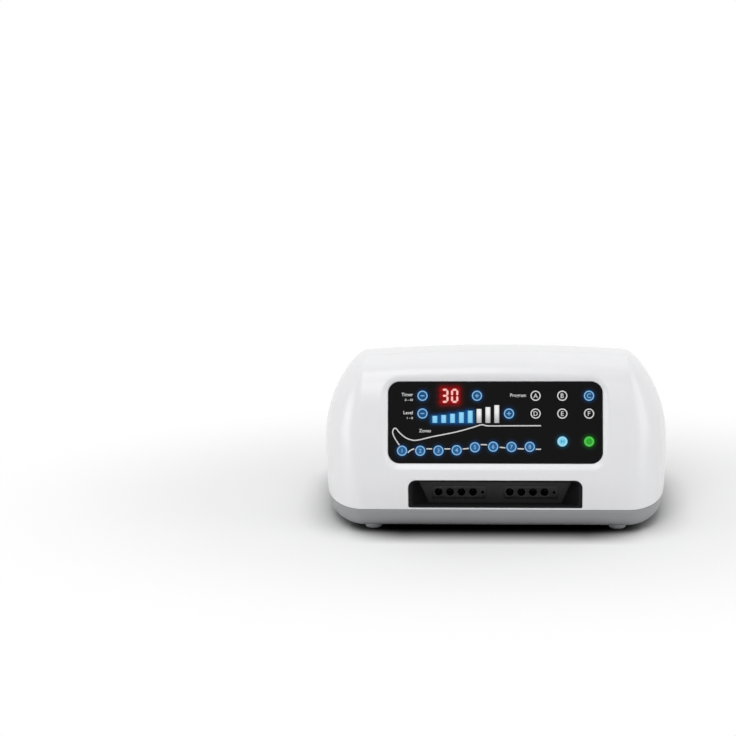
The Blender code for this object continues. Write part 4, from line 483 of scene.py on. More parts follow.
def bay_outline(side, foot, top, foot_side=None, top_corner=BAY_TOP_CORNER, steps=8):
    """The bay in x and z, anticlockwise from its lower right, drawn in at its sides, foot and top."""
    foot_side = side if foot_side is None else foot_side
    low, high = bay_bottom + foot, bay_top - top
    corner = max(top_corner - side, BAY_FOOT_CORNER)
    points = []
    for i, (x, z, radius) in enumerate(((BAY_HALF_WIDTH - foot_side, low, BAY_FOOT_CORNER),
                                        (BAY_HALF_WIDTH - side, high, corner),
                                        (side - BAY_HALF_WIDTH, high, corner),
                                        (foot_side - BAY_HALF_WIDTH, low, BAY_FOOT_CORNER))):
        turn = np.linspace((i - 1) * math.pi / 2, i * math.pi / 2, steps + 1)
        middle = (x - math.copysign(radius, x), z + (radius if z == low else -radius))
        points.append(np.c_[middle[0] + radius * np.cos(turn), middle[1] + radius * np.sin(turn)])
    return np.concatenate(points)


def across_wall(outline, depth):
    """An x-z outline set at a depth behind the front wall's own surface."""
    level = (outline[:, 1] - PARTING_HEIGHT) / (CREST_HEIGHT - PARTING_HEIGHT)
    return np.c_[outline[:, 0], front_y(np.clip(level, 0, 1)) + depth, outline[:, 1]]


mouth = [across_wall(bay_outline(-grow, min(-grow, 0) * 0.6, -grow), -height)
         for grow, height in round_rim(MOUTH_RIM, WALL + OVERRUN, OVERRUN)]
carve(housing, skin("bay_mouth", mouth))

# The screw pilots, and the openings of the rear wall
VENT_SLOTS = 7
VENT_PITCH = 6.0 * MM
VENT_SLOT = 3.0 * MM
VENT_RIM = 0.5 * MM
FAN_DUCT_RADIUS = 23.0 * MM
FAN_SCREW_SPAN = 40.0 * MM
FAN_FROM_FOOT = 50.0 * MM
FAN_UNDER_MIDDLE = 1.0 * MM
INLET_FROM_FOOT = 32.0 * MM
INLET_WIDTH = 27.0 * MM
INLET_HEIGHT = 19.6 * MM
INLET_CORNER = 4.0 * MM
ROCKER_FROM_INLET = 48.0 * MM
ROCKER_WIDTH = 12.6 * MM
ROCKER_HEIGHT = 18.6 * MM
ROCKER_FRAME_WALL = 1.2 * MM
BOARD_PILOT = 1.3 * MM
BOARD_SCREW_BITE = 2.8 * MM

inlet_x = INLET_FROM_FOOT - foot_x
rocker_x = inlet_x + ROCKER_FROM_INLET
fan_x = foot_x - FAN_FROM_FOOT
fan_rise = PARTING_HEIGHT + rear_rise / 2 - FAN_UNDER_MIDDLE - REAR_ROW_HEIGHT
FAN_SPOTS = [(fan_x + sx * FAN_SCREW_SPAN / 2, fan_rise + sy * FAN_SCREW_SPAN / 2)
             for sx in (-1, 1) for sy in (-1, 1)]
deep = WALL + OVERRUN


def slot(width, length):
    """The outline of a slot along y with round ends, for a plug that grows."""
    return lambda grow: rounded_rectangle(width + 2 * grow, length + 2 * grow, width / 2 + grow)


def box_hole(width, height, corner):
    return lambda grow: rounded_rectangle(width + 2 * grow, height + 2 * grow, corner + grow)


for sx, sy in CORNERS.values():
    high = UNDERSIDE_HEIGHT + SCREW_LENGTH + SEAT
    pilot = post("pilot", SCREW_HOLE_RADIUS, PARTING_HEIGHT - OVERRUN, high)
    carve(housing, moved(pilot, (sx * foot_x, sy * foot_y, 0)))
for x, y in board_spots():
    bite = BOARD_DEPTH - SEAT - BOARD_SCREW_BITE - SEAT
    pilot = post("board_pilot", BOARD_PILOT, -BOARD_DEPTH - OVERRUN, -bite)
    carve(housing, moved(pilot, (x, y, 0), PANEL))
holes = [plug("inlet_hole", box_hole(INLET_WIDTH + 2 * SEAT, INLET_HEIGHT + 2 * SEAT, INLET_CORNER),
              [(0, -deep), (0, deep)], REAR, (inlet_x, 0)),
         plug("rocker_hole", box_hole(ROCKER_WIDTH + 2 * (ROCKER_FRAME_WALL + SEAT),
                                      ROCKER_HEIGHT + 2 * (ROCKER_FRAME_WALL + SEAT), SEAT),
              [(0, -deep), (0, deep)], REAR, (rocker_x, 0))]
for i in range(VENT_SLOTS):
    x = VENT_PITCH * (i - (VENT_SLOTS - 1) / 2)
    length = 2 * math.sqrt((FAN_DUCT_RADIUS - VENT_SLOT / 2) ** 2 - x ** 2)
    holes.append(plug("vent", slot(VENT_SLOT, length), round_rim(VENT_RIM, deep, deep), REAR, (fan_x + x, fan_rise)))
for x, y in FAN_SPOTS:
    holes.append(moved(post("fan_hole", SCREW_HOLE_RADIUS, -deep, deep), (x, y, 0), REAR))
carve(housing, joined("rear_holes", holes))


# The finish of the upper housing
# ABS moulded against a finely eroded tool: white, satin, with a faint grain that only softens the
# highlights, and the slightest unevenness of tone where the plastic flowed.

def tone(hexes):
    """An sRGB hex colour as linear light."""
    parts = [int(hexes[i:i + 2], 16) / 255 for i in (0, 2, 4)]
    return (*[p / 12.92 if p <= 0.04045 else ((p + 0.055) / 1.055) ** 2.4 for p in parts], 1.0)


def add(tree, kind, inputs=None, **settings):
    """Adds a node with its settings; an input that is another node's output is linked."""
    node = tree.nodes.new(kind)
    for name, value in settings.items():
        setattr(node, name, value)
    for key, value in (inputs or {}).items():
        if isinstance(value, bpy.types.NodeSocket):
            tree.links.new(value, node.inputs[key])
        else:
            node.inputs[key].default_value = value
    return node


def fresh(name):
    """A new material with an empty node tree."""
    material = bpy.data.materials.new(name)
    material.use_nodes = True
    material.node_tree.nodes.clear()
    return material, material.node_tree


def finish(tree, inputs):
    """Ends a material's tree in a Principled shader with these inputs."""
    shader = add(tree, "ShaderNodeBsdfPrincipled", inputs)
    add(tree, "ShaderNodeOutputMaterial", {"Surface": shader.outputs[0]})


def dress(obj, material, angle=35.0):
    """Gives a finished piece its one material and its shading."""
    obj.data.materials.clear()
    obj.data.materials.append(material)
    for face in obj.data.polygons:
        face.material_index = 0
    return smooth(obj, angle)


white_abs, tree = fresh("abs_moulded_white")
place = add(tree, "ShaderNodeTexCoord").outputs["Object"]
flow = add(tree, "ShaderNodeTexNoise", {"Vector": place, "Scale": 1 / (70 * MM), "Detail": 2.0})
grain = add(tree, "ShaderNodeTexNoise", {"Vector": place, "Scale": 1 / (0.9 * MM), "Detail": 2.0})
colour = add(tree, "ShaderNodeMix", {0: flow.outputs["Fac"], 6: tone("E9E9EB"), 7: tone("EEEEEF")}, data_type="RGBA")
rough = add(tree, "ShaderNodeMapRange", {"Value": grain.outputs["Fac"], "To Min": 0.2, "To Max": 0.28})
bump = add(tree, "ShaderNodeBump", {"Height": grain.outputs["Fac"], "Strength": 0.05, "Distance": 0.05 * MM})
finish(tree, {"Base Color": colour.outputs[2], "Roughness": rough.outputs[0], "Normal": bump.outputs[0]})
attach(dress(housing, white_abs), "console")
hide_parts("upper_housing")


# Lower housing
# The grey ABS tub that everything stands in. It draws in under the parting line, carries the lip
# that the upper housing slips over, and has intake slots on the left of its flat underside.
SEAM_GAP = 0.3 * MM
TUB_FLOOR = 2.8 * MM
TUB_LIP_THICKNESS = 1.5 * MM
TUB_INSET = 15.0 * MM
TUB_DRAFT = 2.0 * MM
TUB_END_INSET_SHARE = 0.55
TUB_ROUND_POWER = 1.6
TUB_ROWS = 20
INTAKE_SLOTS = 9
INTAKE_PITCH = 8.0 * MM
INTAKE_LENGTH = 36.0 * MM
INTAKE_X = -92.0 * MM
INTAKE_Y = -62.0 * MM
BAY_DEPTH = 26.4 * MM
BAY_FLANGE_REACH = 3.0 * MM

seam = PARTING_HEIGHT - SEAM_GAP
tub_floor = UNDERSIDE_HEIGHT + TUB_FLOOR


def tub_row(drop, inset, top, bottom, steps):
    """The tub's outline at a share of its depth; it draws in as it rounds under."""
    angle = math.pi / 2 * drop
    draw = TUB_DRAFT * drop + TUB_INSET * (1 - math.cos(angle)) ** TUB_ROUND_POWER
    end = draw * TUB_END_INSET_SHARE
    outline = plan(half_width(0.0) - draw - inset, front_y(0.0) + end + inset, rear_y(0.0) - end - inset,
                   FRONT_CORNER_FOOT - end - inset, REAR_CORNER_FOOT - end - inset, steps)
    return np.c_[outline, np.full(len(outline), top - (top - bottom) * math.sin(angle))]


TUB_FINE = {"flat": 40, "corner": 28, "side": 6, "rear": 30}
rows = [tub_row(drop, 0.0, seam - FOOT_EDGE, UNDERSIDE_HEIGHT, TUB_FINE) for drop in np.linspace(1, 0, TUB_ROWS)]
for inset, height in ((FOOT_EDGE * 0.3, seam - FOOT_EDGE * 0.3), (FOOT_EDGE, seam), (WALL + SEAT, seam),
                      (WALL + SEAT, PARTING_HEIGHT + LIP_HEIGHT)):
    outline = level_plan(0.0, inset, TUB_FINE)
    rows.append(np.c_[outline, np.full(len(outline), height)])
tub = skin("lower_housing_shell", rows)
inset = WALL + SEAT + TUB_LIP_THICKNESS
rows = [tub_row(drop, inset, seam, tub_floor, COARSE) for drop in np.linspace(1, 0, 8)]
cavity = skin("tub_cavity", rows + [rows[-1] + (0, 0, LIP_HEIGHT + OVERRUN)])

# The screw bosses, the posts of the boards and of the manifold
POST_RADIUS = 3.0 * MM
POST_HEIGHT = 8.0 * MM
POST_EDGE = 5.0 * MM
PORT_ABOVE_SILL = 9.0 * MM
PORT_BLOCK_DEPTH = 12.0 * MM
PORT_BLOCK_PROUD = 0.8 * MM
BAY_MOUTH_SETBACK = 1.6 * MM
MANIFOLD_HEIGHT = 18.0 * MM
MANIFOLD_POST_X = 40.0 * MM

bay_mouth = -CASING_DEPTH / 2 + BAY_MOUTH_SETBACK
port_face = bay_mouth + BAY_DEPTH
port_height = bay_bottom + PORT_ABOVE_SILL
for sx, sy in CORNERS.values():
    boss = post("tub_boss", BOSS_RADIUS, tub_floor - OVERRUN, seam)
    carve(cavity, moved(boss, (sx * foot_x, sy * foot_y, 0)))
for board in ("power_board", "control_board"):
    low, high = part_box(board)
    for x in (low.x + POST_EDGE, high.x - POST_EDGE):
        for y in (low.y + POST_EDGE, high.y - POST_EDGE):
            board_post = post("board_post", POST_RADIUS, tub_floor - OVERRUN, tub_floor + POST_HEIGHT)
            carve(cavity, moved(board_post, (x, y, 0)))
low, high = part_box("valve_manifold")
for side in (-1, 1):
    top = port_height - MANIFOLD_HEIGHT / 2 - SEAT
    manifold_post = post("manifold_post", BOSS_RADIUS, tub_floor - OVERRUN, top)
    carve(cavity, moved(manifold_post, (side * MANIFOLD_POST_X, (high.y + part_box("valve_bank_left")[0].y) / 2, 0)))
carve(tub, cavity)
notch = (2 * (BAY_HALF_WIDTH + BAY_FLANGE_REACH + SEAT), BAY_DEPTH, LIP_HEIGHT + SEAM_GAP + OVERRUN)
carve(tub, block("lip_notch", notch, (0, (BAY_DEPTH - CASING_DEPTH) / 2, seam + notch[2] / 2)))
for sx, sy in CORNERS.values():
    hole = post("foot_hole", SCREW_HOLE_RADIUS, UNDERSIDE_HEIGHT - OVERRUN, seam + OVERRUN)
    carve(tub, moved(hole, (sx * foot_x, sy * foot_y, 0)))


def repeat_tree():
    """Geometry Nodes: a piece repeated in a row or round its own axis, growing along y if asked."""
    tree = bpy.data.node_groups.new("repeat", "GeometryNodeTree")
    sockets = tree.interface
    sockets.new_socket("Piece", in_out="INPUT", socket_type="NodeSocketGeometry")
    for name, kind in (("Count", "Int"), ("Step", "Vector"), ("Turn", "Float"), ("Last Height", "Float"),
                       ("Growth Power", "Float"), ("Finish", "Material")):
        sockets.new_socket(name, in_out="INPUT", socket_type=f"NodeSocket{kind}")
    sockets.new_socket("Row", in_out="OUTPUT", socket_type="NodeSocketGeometry")
    given = add(tree, "NodeGroupInput").outputs
    line = add(tree, "GeometryNodeMeshLine", {"Count": given["Count"], "Offset": given["Step"]})
    index = add(tree, "GeometryNodeInputIndex").outputs[0]
    last = add(tree, "ShaderNodeMath", {0: given["Count"], 1: 1.0}, operation="SUBTRACT").outputs[0]
    share = add(tree, "ShaderNodeMath", {0: index, 1: last}, operation="DIVIDE").outputs[0]
    grown = add(tree, "ShaderNodeMath", {0: share, 1: given["Growth Power"]}, operation="POWER").outputs[0]
    height = add(tree, "ShaderNodeMapRange", {"Value": grown, "To Min": 1.0, "To Max": given["Last Height"]})
    size = add(tree, "ShaderNodeCombineXYZ", {"X": 1.0, "Y": height.outputs[0], "Z": 1.0})
    angle = add(tree, "ShaderNodeMath", {0: index, 1: given["Turn"]}, operation="MULTIPLY").outputs[0]
    turn = add(tree, "ShaderNodeCombineXYZ", {"Z": angle})
    placed = add(tree, "GeometryNodeInstanceOnPoints",
                 {"Points": line.outputs[0], "Instance": given["Piece"], "Rotation": turn.outputs[0],
                  "Scale": size.outputs[0]})
    solid = add(tree, "GeometryNodeRealizeInstances", {0: placed.outputs[0]})
    painted = add(tree, "GeometryNodeSetMaterial", {"Geometry": solid.outputs[0], "Material": given["Finish"]})
    add(tree, "NodeGroupOutput", {"Row": painted.outputs[0]})
    return tree


REPEAT = repeat_tree()


def repeated(obj, material, count, step=(0, 0, 0), turn=0.0, last_height=1.0, power=1.0):
    """Turns a piece into a row or ring of itself."""
    rule = obj.modifiers.new("repeat", "NODES")
    rule.node_group = REPEAT
    values = {"Count": count, "Step": step, "Turn": turn, "Last Height": last_height,
              "Growth Power": power, "Finish": material}
    for socket in REPEAT.interface.items_tree:
        if socket.in_out == "INPUT" and socket.name in values:
            rule[socket.identifier] = values[socket.name]
    return settle(obj)


# ABS again, moulded grey on a coarser tool than the white, so it looks a little duller
grey_abs, tree = fresh("abs_moulded_grey")
place = add(tree, "ShaderNodeTexCoord").outputs["Object"]
flow = add(tree, "ShaderNodeTexNoise", {"Vector": place, "Scale": 1 / (50 * MM), "Detail": 2.0})
grain = add(tree, "ShaderNodeTexNoise", {"Vector": place, "Scale": 1 / (1.1 * MM), "Detail": 2.0})
colour = add(tree, "ShaderNodeMix", {0: flow.outputs["Fac"], 6: tone("939496"), 7: tone("999A9C")}, data_type="RGBA")
rough = add(tree, "ShaderNodeMapRange", {"Value": grain.outputs["Fac"], "To Min": 0.28, "To Max": 0.4})
bump = add(tree, "ShaderNodeBump", {"Height": grain.outputs["Fac"], "Strength": 0.08, "Distance": 0.06 * MM})
finish(tree, {"Base Color": colour.outputs[2], "Roughness": rough.outputs[0], "Normal": bump.outputs[0]})

first_slot = INTAKE_X - INTAKE_PITCH * (INTAKE_SLOTS - 1) / 2
rim = [(grow, -height) for grow, height in reversed(round_rim(VENT_RIM, TUB_FLOOR + OVERRUN, OVERRUN))]
slots = plug("intake_slot", slot(VENT_SLOT, INTAKE_LENGTH), rim)
repeated(slots, grey_abs, INTAKE_SLOTS, step=(INTAKE_PITCH, 0, 0))
carve(tub, moved(slots, (first_slot, INTAKE_Y, UNDERSIDE_HEIGHT)))
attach(dress(tub, grey_abs), "console")
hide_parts("lower_housing")


# Feet
# Four grey rubber feet, moulded as a dish with a rounded tread, each held by the casing screw that
# runs up through it. The tread is slightly polished where it has stood.
FOOT_RADIUS = 9.0 * MM
FOOT_ROUND = 2.0 * MM
FOOT_RECESS_RADIUS = 4.2 * MM
FOOT_RECESS_DEPTH = 3.4 * MM


def arc(radius, start, end, middle, steps=6):
    """Points of an arc in radius and height, from one angle in degrees to another."""
    turn = np.radians(np.linspace(start, end, steps + 1))
    return [(middle[0] + radius * math.cos(t), middle[1] + radius * math.sin(t)) for t in turn]


def turned(name, profile, ring=False, steps=48):
    """A solid of revolution about z, from a profile that goes out, up and back to the axis."""
    return skin(name, [np.c_[circle(r, steps), np.full(steps, z)] for r, z in profile], ring)


grey_rubber, tree = fresh("rubber_moulded_grey")
place = add(tree, "ShaderNodeTexCoord").outputs["Object"]
bloom = add(tree, "ShaderNodeTexNoise", {"Vector": place, "Scale": 1 / (6 * MM), "Detail": 3.0})
colour = add(tree, "ShaderNodeMix", {0: bloom.outputs["Fac"], 6: tone("DCDDE0"), 7: tone("E8E9EB")}, data_type="RGBA")
rough = add(tree, "ShaderNodeMapRange", {"Value": bloom.outputs["Fac"], "To Min": 0.24, "To Max": 0.4})
finish(tree, {"Base Color": colour.outputs[2], "Roughness": rough.outputs[0]})

foot_top = UNDERSIDE_HEIGHT - SEAT
profile = arc(FOOT_ROUND, -90, 0, (FOOT_RADIUS - FOOT_ROUND, FOOT_ROUND))
profile += arc(SEAT, 0, 90, (FOOT_RADIUS - SEAT, foot_top - SEAT), 3)
profile += [(SCREW_HOLE_RADIUS, foot_top), (SCREW_HOLE_RADIUS, FOOT_RECESS_DEPTH),
            (FOOT_RECESS_RADIUS, FOOT_RECESS_DEPTH)]
profile += arc(SEAT, 180, 270, (FOOT_RECESS_RADIUS + SEAT, SEAT), 3)
for corner, (sx, sy) in CORNERS.items():
    foot = moved(turned(f"foot_{corner}_pad", profile, ring=True), (sx * foot_x, sy * foot_y, 0))
    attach(dress(foot, grey_rubber), "console")
    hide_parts(f"foot_{corner}")


# Casing screws
# Zinc-plated steel tapping screws with flat round heads and a cross recess, driven up through the
# feet into the bosses of the upper housing.
SCREW_RADIUS = 1.75 * MM
SCREW_HEAD_RADIUS = 3.6 * MM
SCREW_HEAD_HEIGHT = 2.2 * MM
SCREW_EDGE = 0.5 * MM
CROSS_LENGTH = 3.8 * MM
CROSS_WIDTH = 0.9 * MM
CROSS_DEPTH = 1.1 * MM

zinc_steel, tree = fresh("steel_zinc_plated")
place = add(tree, "ShaderNodeTexCoord").outputs["Object"]
spangle = add(tree, "ShaderNodeTexVoronoi", {"Vector": place, "Scale": 1 / (0.6 * MM)})
rough = add(tree, "ShaderNodeMapRange", {"Value": spangle.outputs["Distance"], "To Min": 0.22, "To Max": 0.38})
finish(tree, {"Base Color": tone("B9BABC"), "Metallic": 1.0, "Roughness": rough.outputs[0]})


def cross_screw(name, radius, length, head_radius, head_height):
    """A round-headed screw, head down, with its head's upper face at height zero and its shank above."""
    low = -head_height
    profile = [(head_radius * 0.5, low)] + arc(SCREW_EDGE, -60, 0, (head_radius - SCREW_EDGE, low + SCREW_EDGE), 4)
    profile += [(head_radius, 0), (radius, 0), (radius, length - radius), (radius * 0.25, length)]
    screw = turned(name, profile, steps=32)
    for size in ((CROSS_LENGTH, CROSS_WIDTH), (CROSS_WIDTH, CROSS_LENGTH)):
        carve(screw, block("cross", (*size, 2 * CROSS_DEPTH), (0, 0, low)))
    return dress(screw, zinc_steel)


under_head = FOOT_RECESS_DEPTH - SEAT
for corner, (sx, sy) in CORNERS.items():
    length = UNDERSIDE_HEIGHT + SCREW_LENGTH - under_head
    screw = cross_screw(f"screw_{corner}_turned", SCREW_RADIUS, length, SCREW_HEAD_RADIUS, SCREW_HEAD_HEIGHT)
    moved(screw, (sx * foot_x, sy * foot_y, under_head))
    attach(screw, "console")
    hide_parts(f"screw_{corner}")


# Key panel
# A gloss sheet of smoked polycarbonate, hard coated, bonded in the pocket. Its keys and displays
# shine through from behind, and the sheet spreads their light a little way round each of them.
KEY_RADIUS = 6.0 * MM
KEY_CLEARANCE = 0.3 * MM
RING_RADIUS = 4.7 * MM
TIME_WINDOW_WIDTH = 24.0 * MM
TIME_WINDOW_EDGE = 5.7 * MM
DIGIT_WIDTH = 5.4 * MM
DIGIT_HEIGHT = 12.6 * MM
DIGIT_PITCH = 10.2 * MM
BARS = 8
LIT_BARS = 5
BAR_WIDTH = 5.2 * MM
BAR_GROWTH_POWER = 1.3
PANEL_EDGE = 0.4 * MM
HOLE_EDGE = 0.15 * MM
SHEET_PITCH = 1.2 * MM
PANEL_SPECULAR = 0.07
BLUE_REACH = 2.3 * MM
BLUE_SPREAD = 6.0 * MM
RED_REACH = 2.5 * MM
RED_SPREAD = 9.0 * MM
BLUE_HALO = (0.0, 0.021, 0.066)
CYAN_HALO = (0.0, 0.036, 0.066)
GREEN_HALO = (0.0, 0.062, 0.0)
BAR_HALO = (0.0, 0.125, 0.41)
RED_HALO = (0.27, 0.001, 0.002)
BAR_END_LOSS = 0.36

MINUS_X, TIME_PLUS_X, LEVEL_PLUS_X = (PANEL_WIDTH * share for share in (-0.3389, -0.084, 0.0652))
MODE_X, MODE_PITCH = PANEL_WIDTH * 0.1892, PANEL_WIDTH * 0.124
ZONE_X, ZONE_PITCH = PANEL_WIDTH * -0.4346, PANEL_WIDTH * 0.0852
TIME_Y, LEVEL_Y, RUN_Y = (PANEL_HEIGHT * share for share in (0.3271, 0.1094, -0.2306))
ZONE_Y, ZONE_RISE = PANEL_HEIGHT * -0.3471, PANEL_HEIGHT * 0.0518
ZONE_RISE_SHARES = (0.0, 0.0, 0.05, 0.15, 0.85, 1.0, 0.95, 0.98)
BAR_X, BAR_PITCH = PANEL_WIDTH * -0.2809, PANEL_WIDTH * 0.0413
BAR_FOOT, BAR_SHORT, BAR_TALL = (PANEL_HEIGHT * share for share in (-0.0047, 0.0847, 0.2165))
WINDOW_X = PANEL_WIDTH * -0.2112
WINDOW_HEIGHT = PANEL_HEIGHT - 2 * (TIME_Y + TIME_WINDOW_EDGE)

# Each key's place, its sign, and how it shines: blue, brighter blue for a zone, not at all but
# printed in white, or filled with cyan or green
KEYS = {"time_minus": (MINUS_X, TIME_Y, "−", "blue"), "time_plus": (TIME_PLUS_X, TIME_Y, "+", "blue"),
        "pressure_minus": (MINUS_X, LEVEL_Y, "−", "blue"),
        "pressure_plus": (LEVEL_PLUS_X, LEVEL_Y, "+", "blue")}
for i, letter in enumerate("ABCDEF"):
    y = TIME_Y if i < 3 else LEVEL_Y
    shine = "blue" if letter == "C" else "white"
    KEYS[f"mode_{letter.lower()}"] = (MODE_X + MODE_PITCH * (i % 3), y, letter, shine)
KEYS["start"] = (MODE_X + MODE_PITCH, RUN_Y, "start", "cyan")
KEYS["power"] = (MODE_X + 2 * MODE_PITCH, RUN_Y, "power", "green")
for i, share in enumerate(ZONE_RISE_SHARES):
    KEYS[f"zone_{i + 1}"] = (ZONE_X + ZONE_PITCH * i, ZONE_Y + ZONE_RISE * share, str(i + 1), "zone")


def bar_height(i):
    return BAR_SHORT + (BAR_TALL - BAR_SHORT) * (i / (BARS - 1)) ** BAR_GROWTH_POWER


def segments(figure):
    """The lit strokes of a seven-segment figure, as pairs of points about its middle."""
    x, y = DIGIT_WIDTH / 2, DIGIT_HEIGHT / 2
    strokes = {"top": ((-x, y), (x, y)), "middle": ((-x, 0), (x, 0)), "foot": ((-x, -y), (x, -y)),
               "upper_left": ((-x, 0), (-x, y)), "upper_right": ((x, 0), (x, y)),
               "lower_left": ((-x, -y), (-x, 0)), "lower_right": ((x, -y), (x, 0))}
    dark = {"3": ("upper_left", "lower_left"), "0": ("middle",)}[figure]
    return [stroke for name, stroke in strokes.items() if name not in dark]


FIGURES = [(WINDOW_X + DIGIT_PITCH * (i - 0.5), figure) for i, figure in enumerate("30")]


def distance_to_box(u, v, middle, size):
    over_u = np.maximum(np.abs(u - middle[0]) - size[0] / 2, 0)
    over_v = np.maximum(np.abs(v - middle[1]) - size[1] / 2, 0)
    return np.hypot(over_u, over_v)


def distance_to_stroke(u, v, start, end):
    along = np.array(end) - start
    share = np.clip(((u - start[0]) * along[0] + (v - start[1]) * along[1]) / (along @ along), 0, 1)
    return np.hypot(u - start[0] - share * along[0], v - start[1] - share * along[1])


def spread(distance, reach, wide):
    """How strongly the sheet shows a light at a distance from its edge."""
    return 0.75 * np.exp(-(distance / reach) ** 2) + 0.25 * np.exp(-(distance / wide * 2) ** 2)


def halo(u, v):
    """The light that the smoked sheet shows at places of the panel, as linear red, green and blue."""
    light = np.zeros((len(u), 3))
    colours = {"blue": BLUE_HALO, "zone": BLUE_HALO, "cyan": CYAN_HALO, "green": GREEN_HALO}
    for x, y, _, shine in KEYS.values():
        if shine in colours:
            away = np.maximum(np.hypot(u - x, v - y) - RING_RADIUS, 0)
            light += np.outer(spread(away, BLUE_REACH, BLUE_SPREAD), colours[shine])
    for i in range(LIT_BARS):
        middle = (BAR_X + BAR_PITCH * i, BAR_FOOT + bar_height(i) / 2)
        away = distance_to_box(u, v, middle, (BAR_WIDTH, bar_height(i)))
        past = np.clip((np.abs(v - middle[1]) - bar_height(i) / 2) / (1.0 * MM), 0, 1)
        light += np.outer(spread(away, BLUE_REACH, BLUE_SPREAD) * (0.6 - BAR_END_LOSS * past), BAR_HALO)
    nearest = np.full(len(u), 1.0)
    for x, figure in FIGURES:
        for (ax, ay), (bx, by) in segments(figure):
            away = distance_to_stroke(u, v, (x + ax, TIME_Y + ay), (x + bx, TIME_Y + by))
            nearest = np.minimum(nearest, away)
    light += np.outer(spread(np.maximum(nearest - 1.0 * MM, 0), RED_REACH, RED_SPREAD), RED_HALO)
    return light


def store_light(obj, colours, name="shine"):
    """Keeps a colour for each point of a mesh as an attribute of its own."""
    mesh = obj.data
    shine = mesh.attributes.new(name, "FLOAT_COLOR", "POINT")
    shine.data.foreach_set("color", np.c_[colours, np.ones(len(colours))].ravel())


def in_plane(obj):
    """The places of a mesh's points on the panel."""
    points = np.array([PANEL.inverted() @ vertex.co for vertex in obj.data.vertices])
    return points[:, 0], points[:, 1]


def sheet_plate(name, width, height, thickness, pitch, at=(0, 0)):
    """A plate whose face is a fine grid, so that light can be stored all over it."""
    columns, rows = int(width / pitch), int(height / pitch)
    bm = bmesh.new()
    bmesh.ops.create_grid(bm, x_segments=columns, y_segments=rows, size=0.5)
    top = list(bm.faces)
    rim = [edge for edge in bm.edges if edge.is_boundary]
    fall = bmesh.ops.extrude_edge_only(bm, edges=rim)["geom"]
    low = [item for item in fall if isinstance(item, bmesh.types.BMVert)]
    bmesh.ops.translate(bm, verts=low, vec=(0, 0, -1))
    bmesh.ops.contextual_create(bm, geom=[item for item in fall if isinstance(item, bmesh.types.BMEdge)
                                          and all(vert in low for vert in item.verts)])
    bmesh.ops.scale(bm, verts=bm.verts, vec=(width, height, thickness))
    bmesh.ops.translate(bm, verts=bm.verts, vec=(*at, 0))
    bmesh.ops.recalc_face_normals(bm, faces=bm.faces)
    mesh = bpy.data.meshes.new(name)
    bm.to_mesh(mesh)
    bm.free()
    obj = bpy.data.objects.new(name, mesh)
    bpy.context.scene.collection.objects.link(obj)
    return obj


def edge_steps(radius, thickness, steps=4):
    """Steps of a plate's outline with both edges rounded, for a plug about height zero and below."""
    turns = [math.pi / 2 * i / steps for i in range(steps + 1)]
    foot = [(-radius * (1 - math.sin(turn)), -thickness + radius * (1 - math.cos(turn))) for turn in turns]
    top = [(-radius * (1 - math.cos(turn)), -radius * (1 - math.sin(turn))) for turn in turns]
    return foot + top + [(-radius, OVERRUN)]


smoked_sheet, tree = fresh("polycarbonate_hard_coated_smoked")
place = add(tree, "ShaderNodeTexCoord").outputs["Object"]
shine = add(tree, "ShaderNodeAttribute", attribute_name="shine")
ripple = add(tree, "ShaderNodeTexNoise", {"Vector": place, "Scale": 1 / (14 * MM), "Detail": 1.0})
smudge = add(tree, "ShaderNodeTexNoise", {"Vector": place, "Scale": 1 / (25 * MM), "Detail": 4.0})
rough = add(tree, "ShaderNodeMapRange", {"Value": smudge.outputs["Fac"], "To Min": 0.10, "To Max": 0.2})
bump = add(tree, "ShaderNodeBump", {"Height": ripple.outputs["Fac"], "Strength": 0.1, "Distance": 0.05 * MM})
colour = add(tree, "ShaderNodeMix", {0: smudge.outputs["Fac"], 6: tone("0B0B0C"), 7: tone("0E0E0F")}, data_type="RGBA")
finish(tree, {"Base Color": colour.outputs[2], "Roughness": rough.outputs[0], "Normal": bump.outputs[0],
              "Specular IOR Level": PANEL_SPECULAR, "Emission Color": shine.outputs["Color"], "Emission Strength": 1.0})

panel = plug("control_panel_sheet", panel_outline, edge_steps(PANEL_EDGE, PANEL_THICKNESS))
carve(panel, sheet_plate("panel_grid", PANEL_WIDTH + 2 * MM, PANEL_HEIGHT + 2 * MM, PANEL_THICKNESS + MM, SHEET_PITCH),
      "INTERSECT")
deep = PANEL_THICKNESS + OVERRUN
hole_rim = round_rim(HOLE_EDGE, deep, OVERRUN, 3)
holes = [plug("key_hole", lambda grow: circle(KEY_RADIUS + KEY_CLEARANCE + grow), hole_rim, at=(x, y))
         for x, y, _, _ in KEYS.values()]
for i in range(BARS):
    size = (BAR_WIDTH + 2 * SEAT, bar_height(i) + 2 * SEAT)
    at = (BAR_X + BAR_PITCH * i, BAR_FOOT + bar_height(i) / 2)
    holes.append(plug("bar_hole", box_hole(*size, SEAT), hole_rim, at=at))
holes.append(plug("time_hole", box_hole(TIME_WINDOW_WIDTH + 2 * SEAT, WINDOW_HEIGHT + 2 * SEAT, SEAT),
                  hole_rim, at=(WINDOW_X, TIME_Y)))
carve(panel, joined("panel_holes", holes))
panel.data.transform(PANEL)
store_light(panel, halo(*in_plane(panel)))
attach(dress(panel, smoked_sheet), "console")
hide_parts("control_panel")


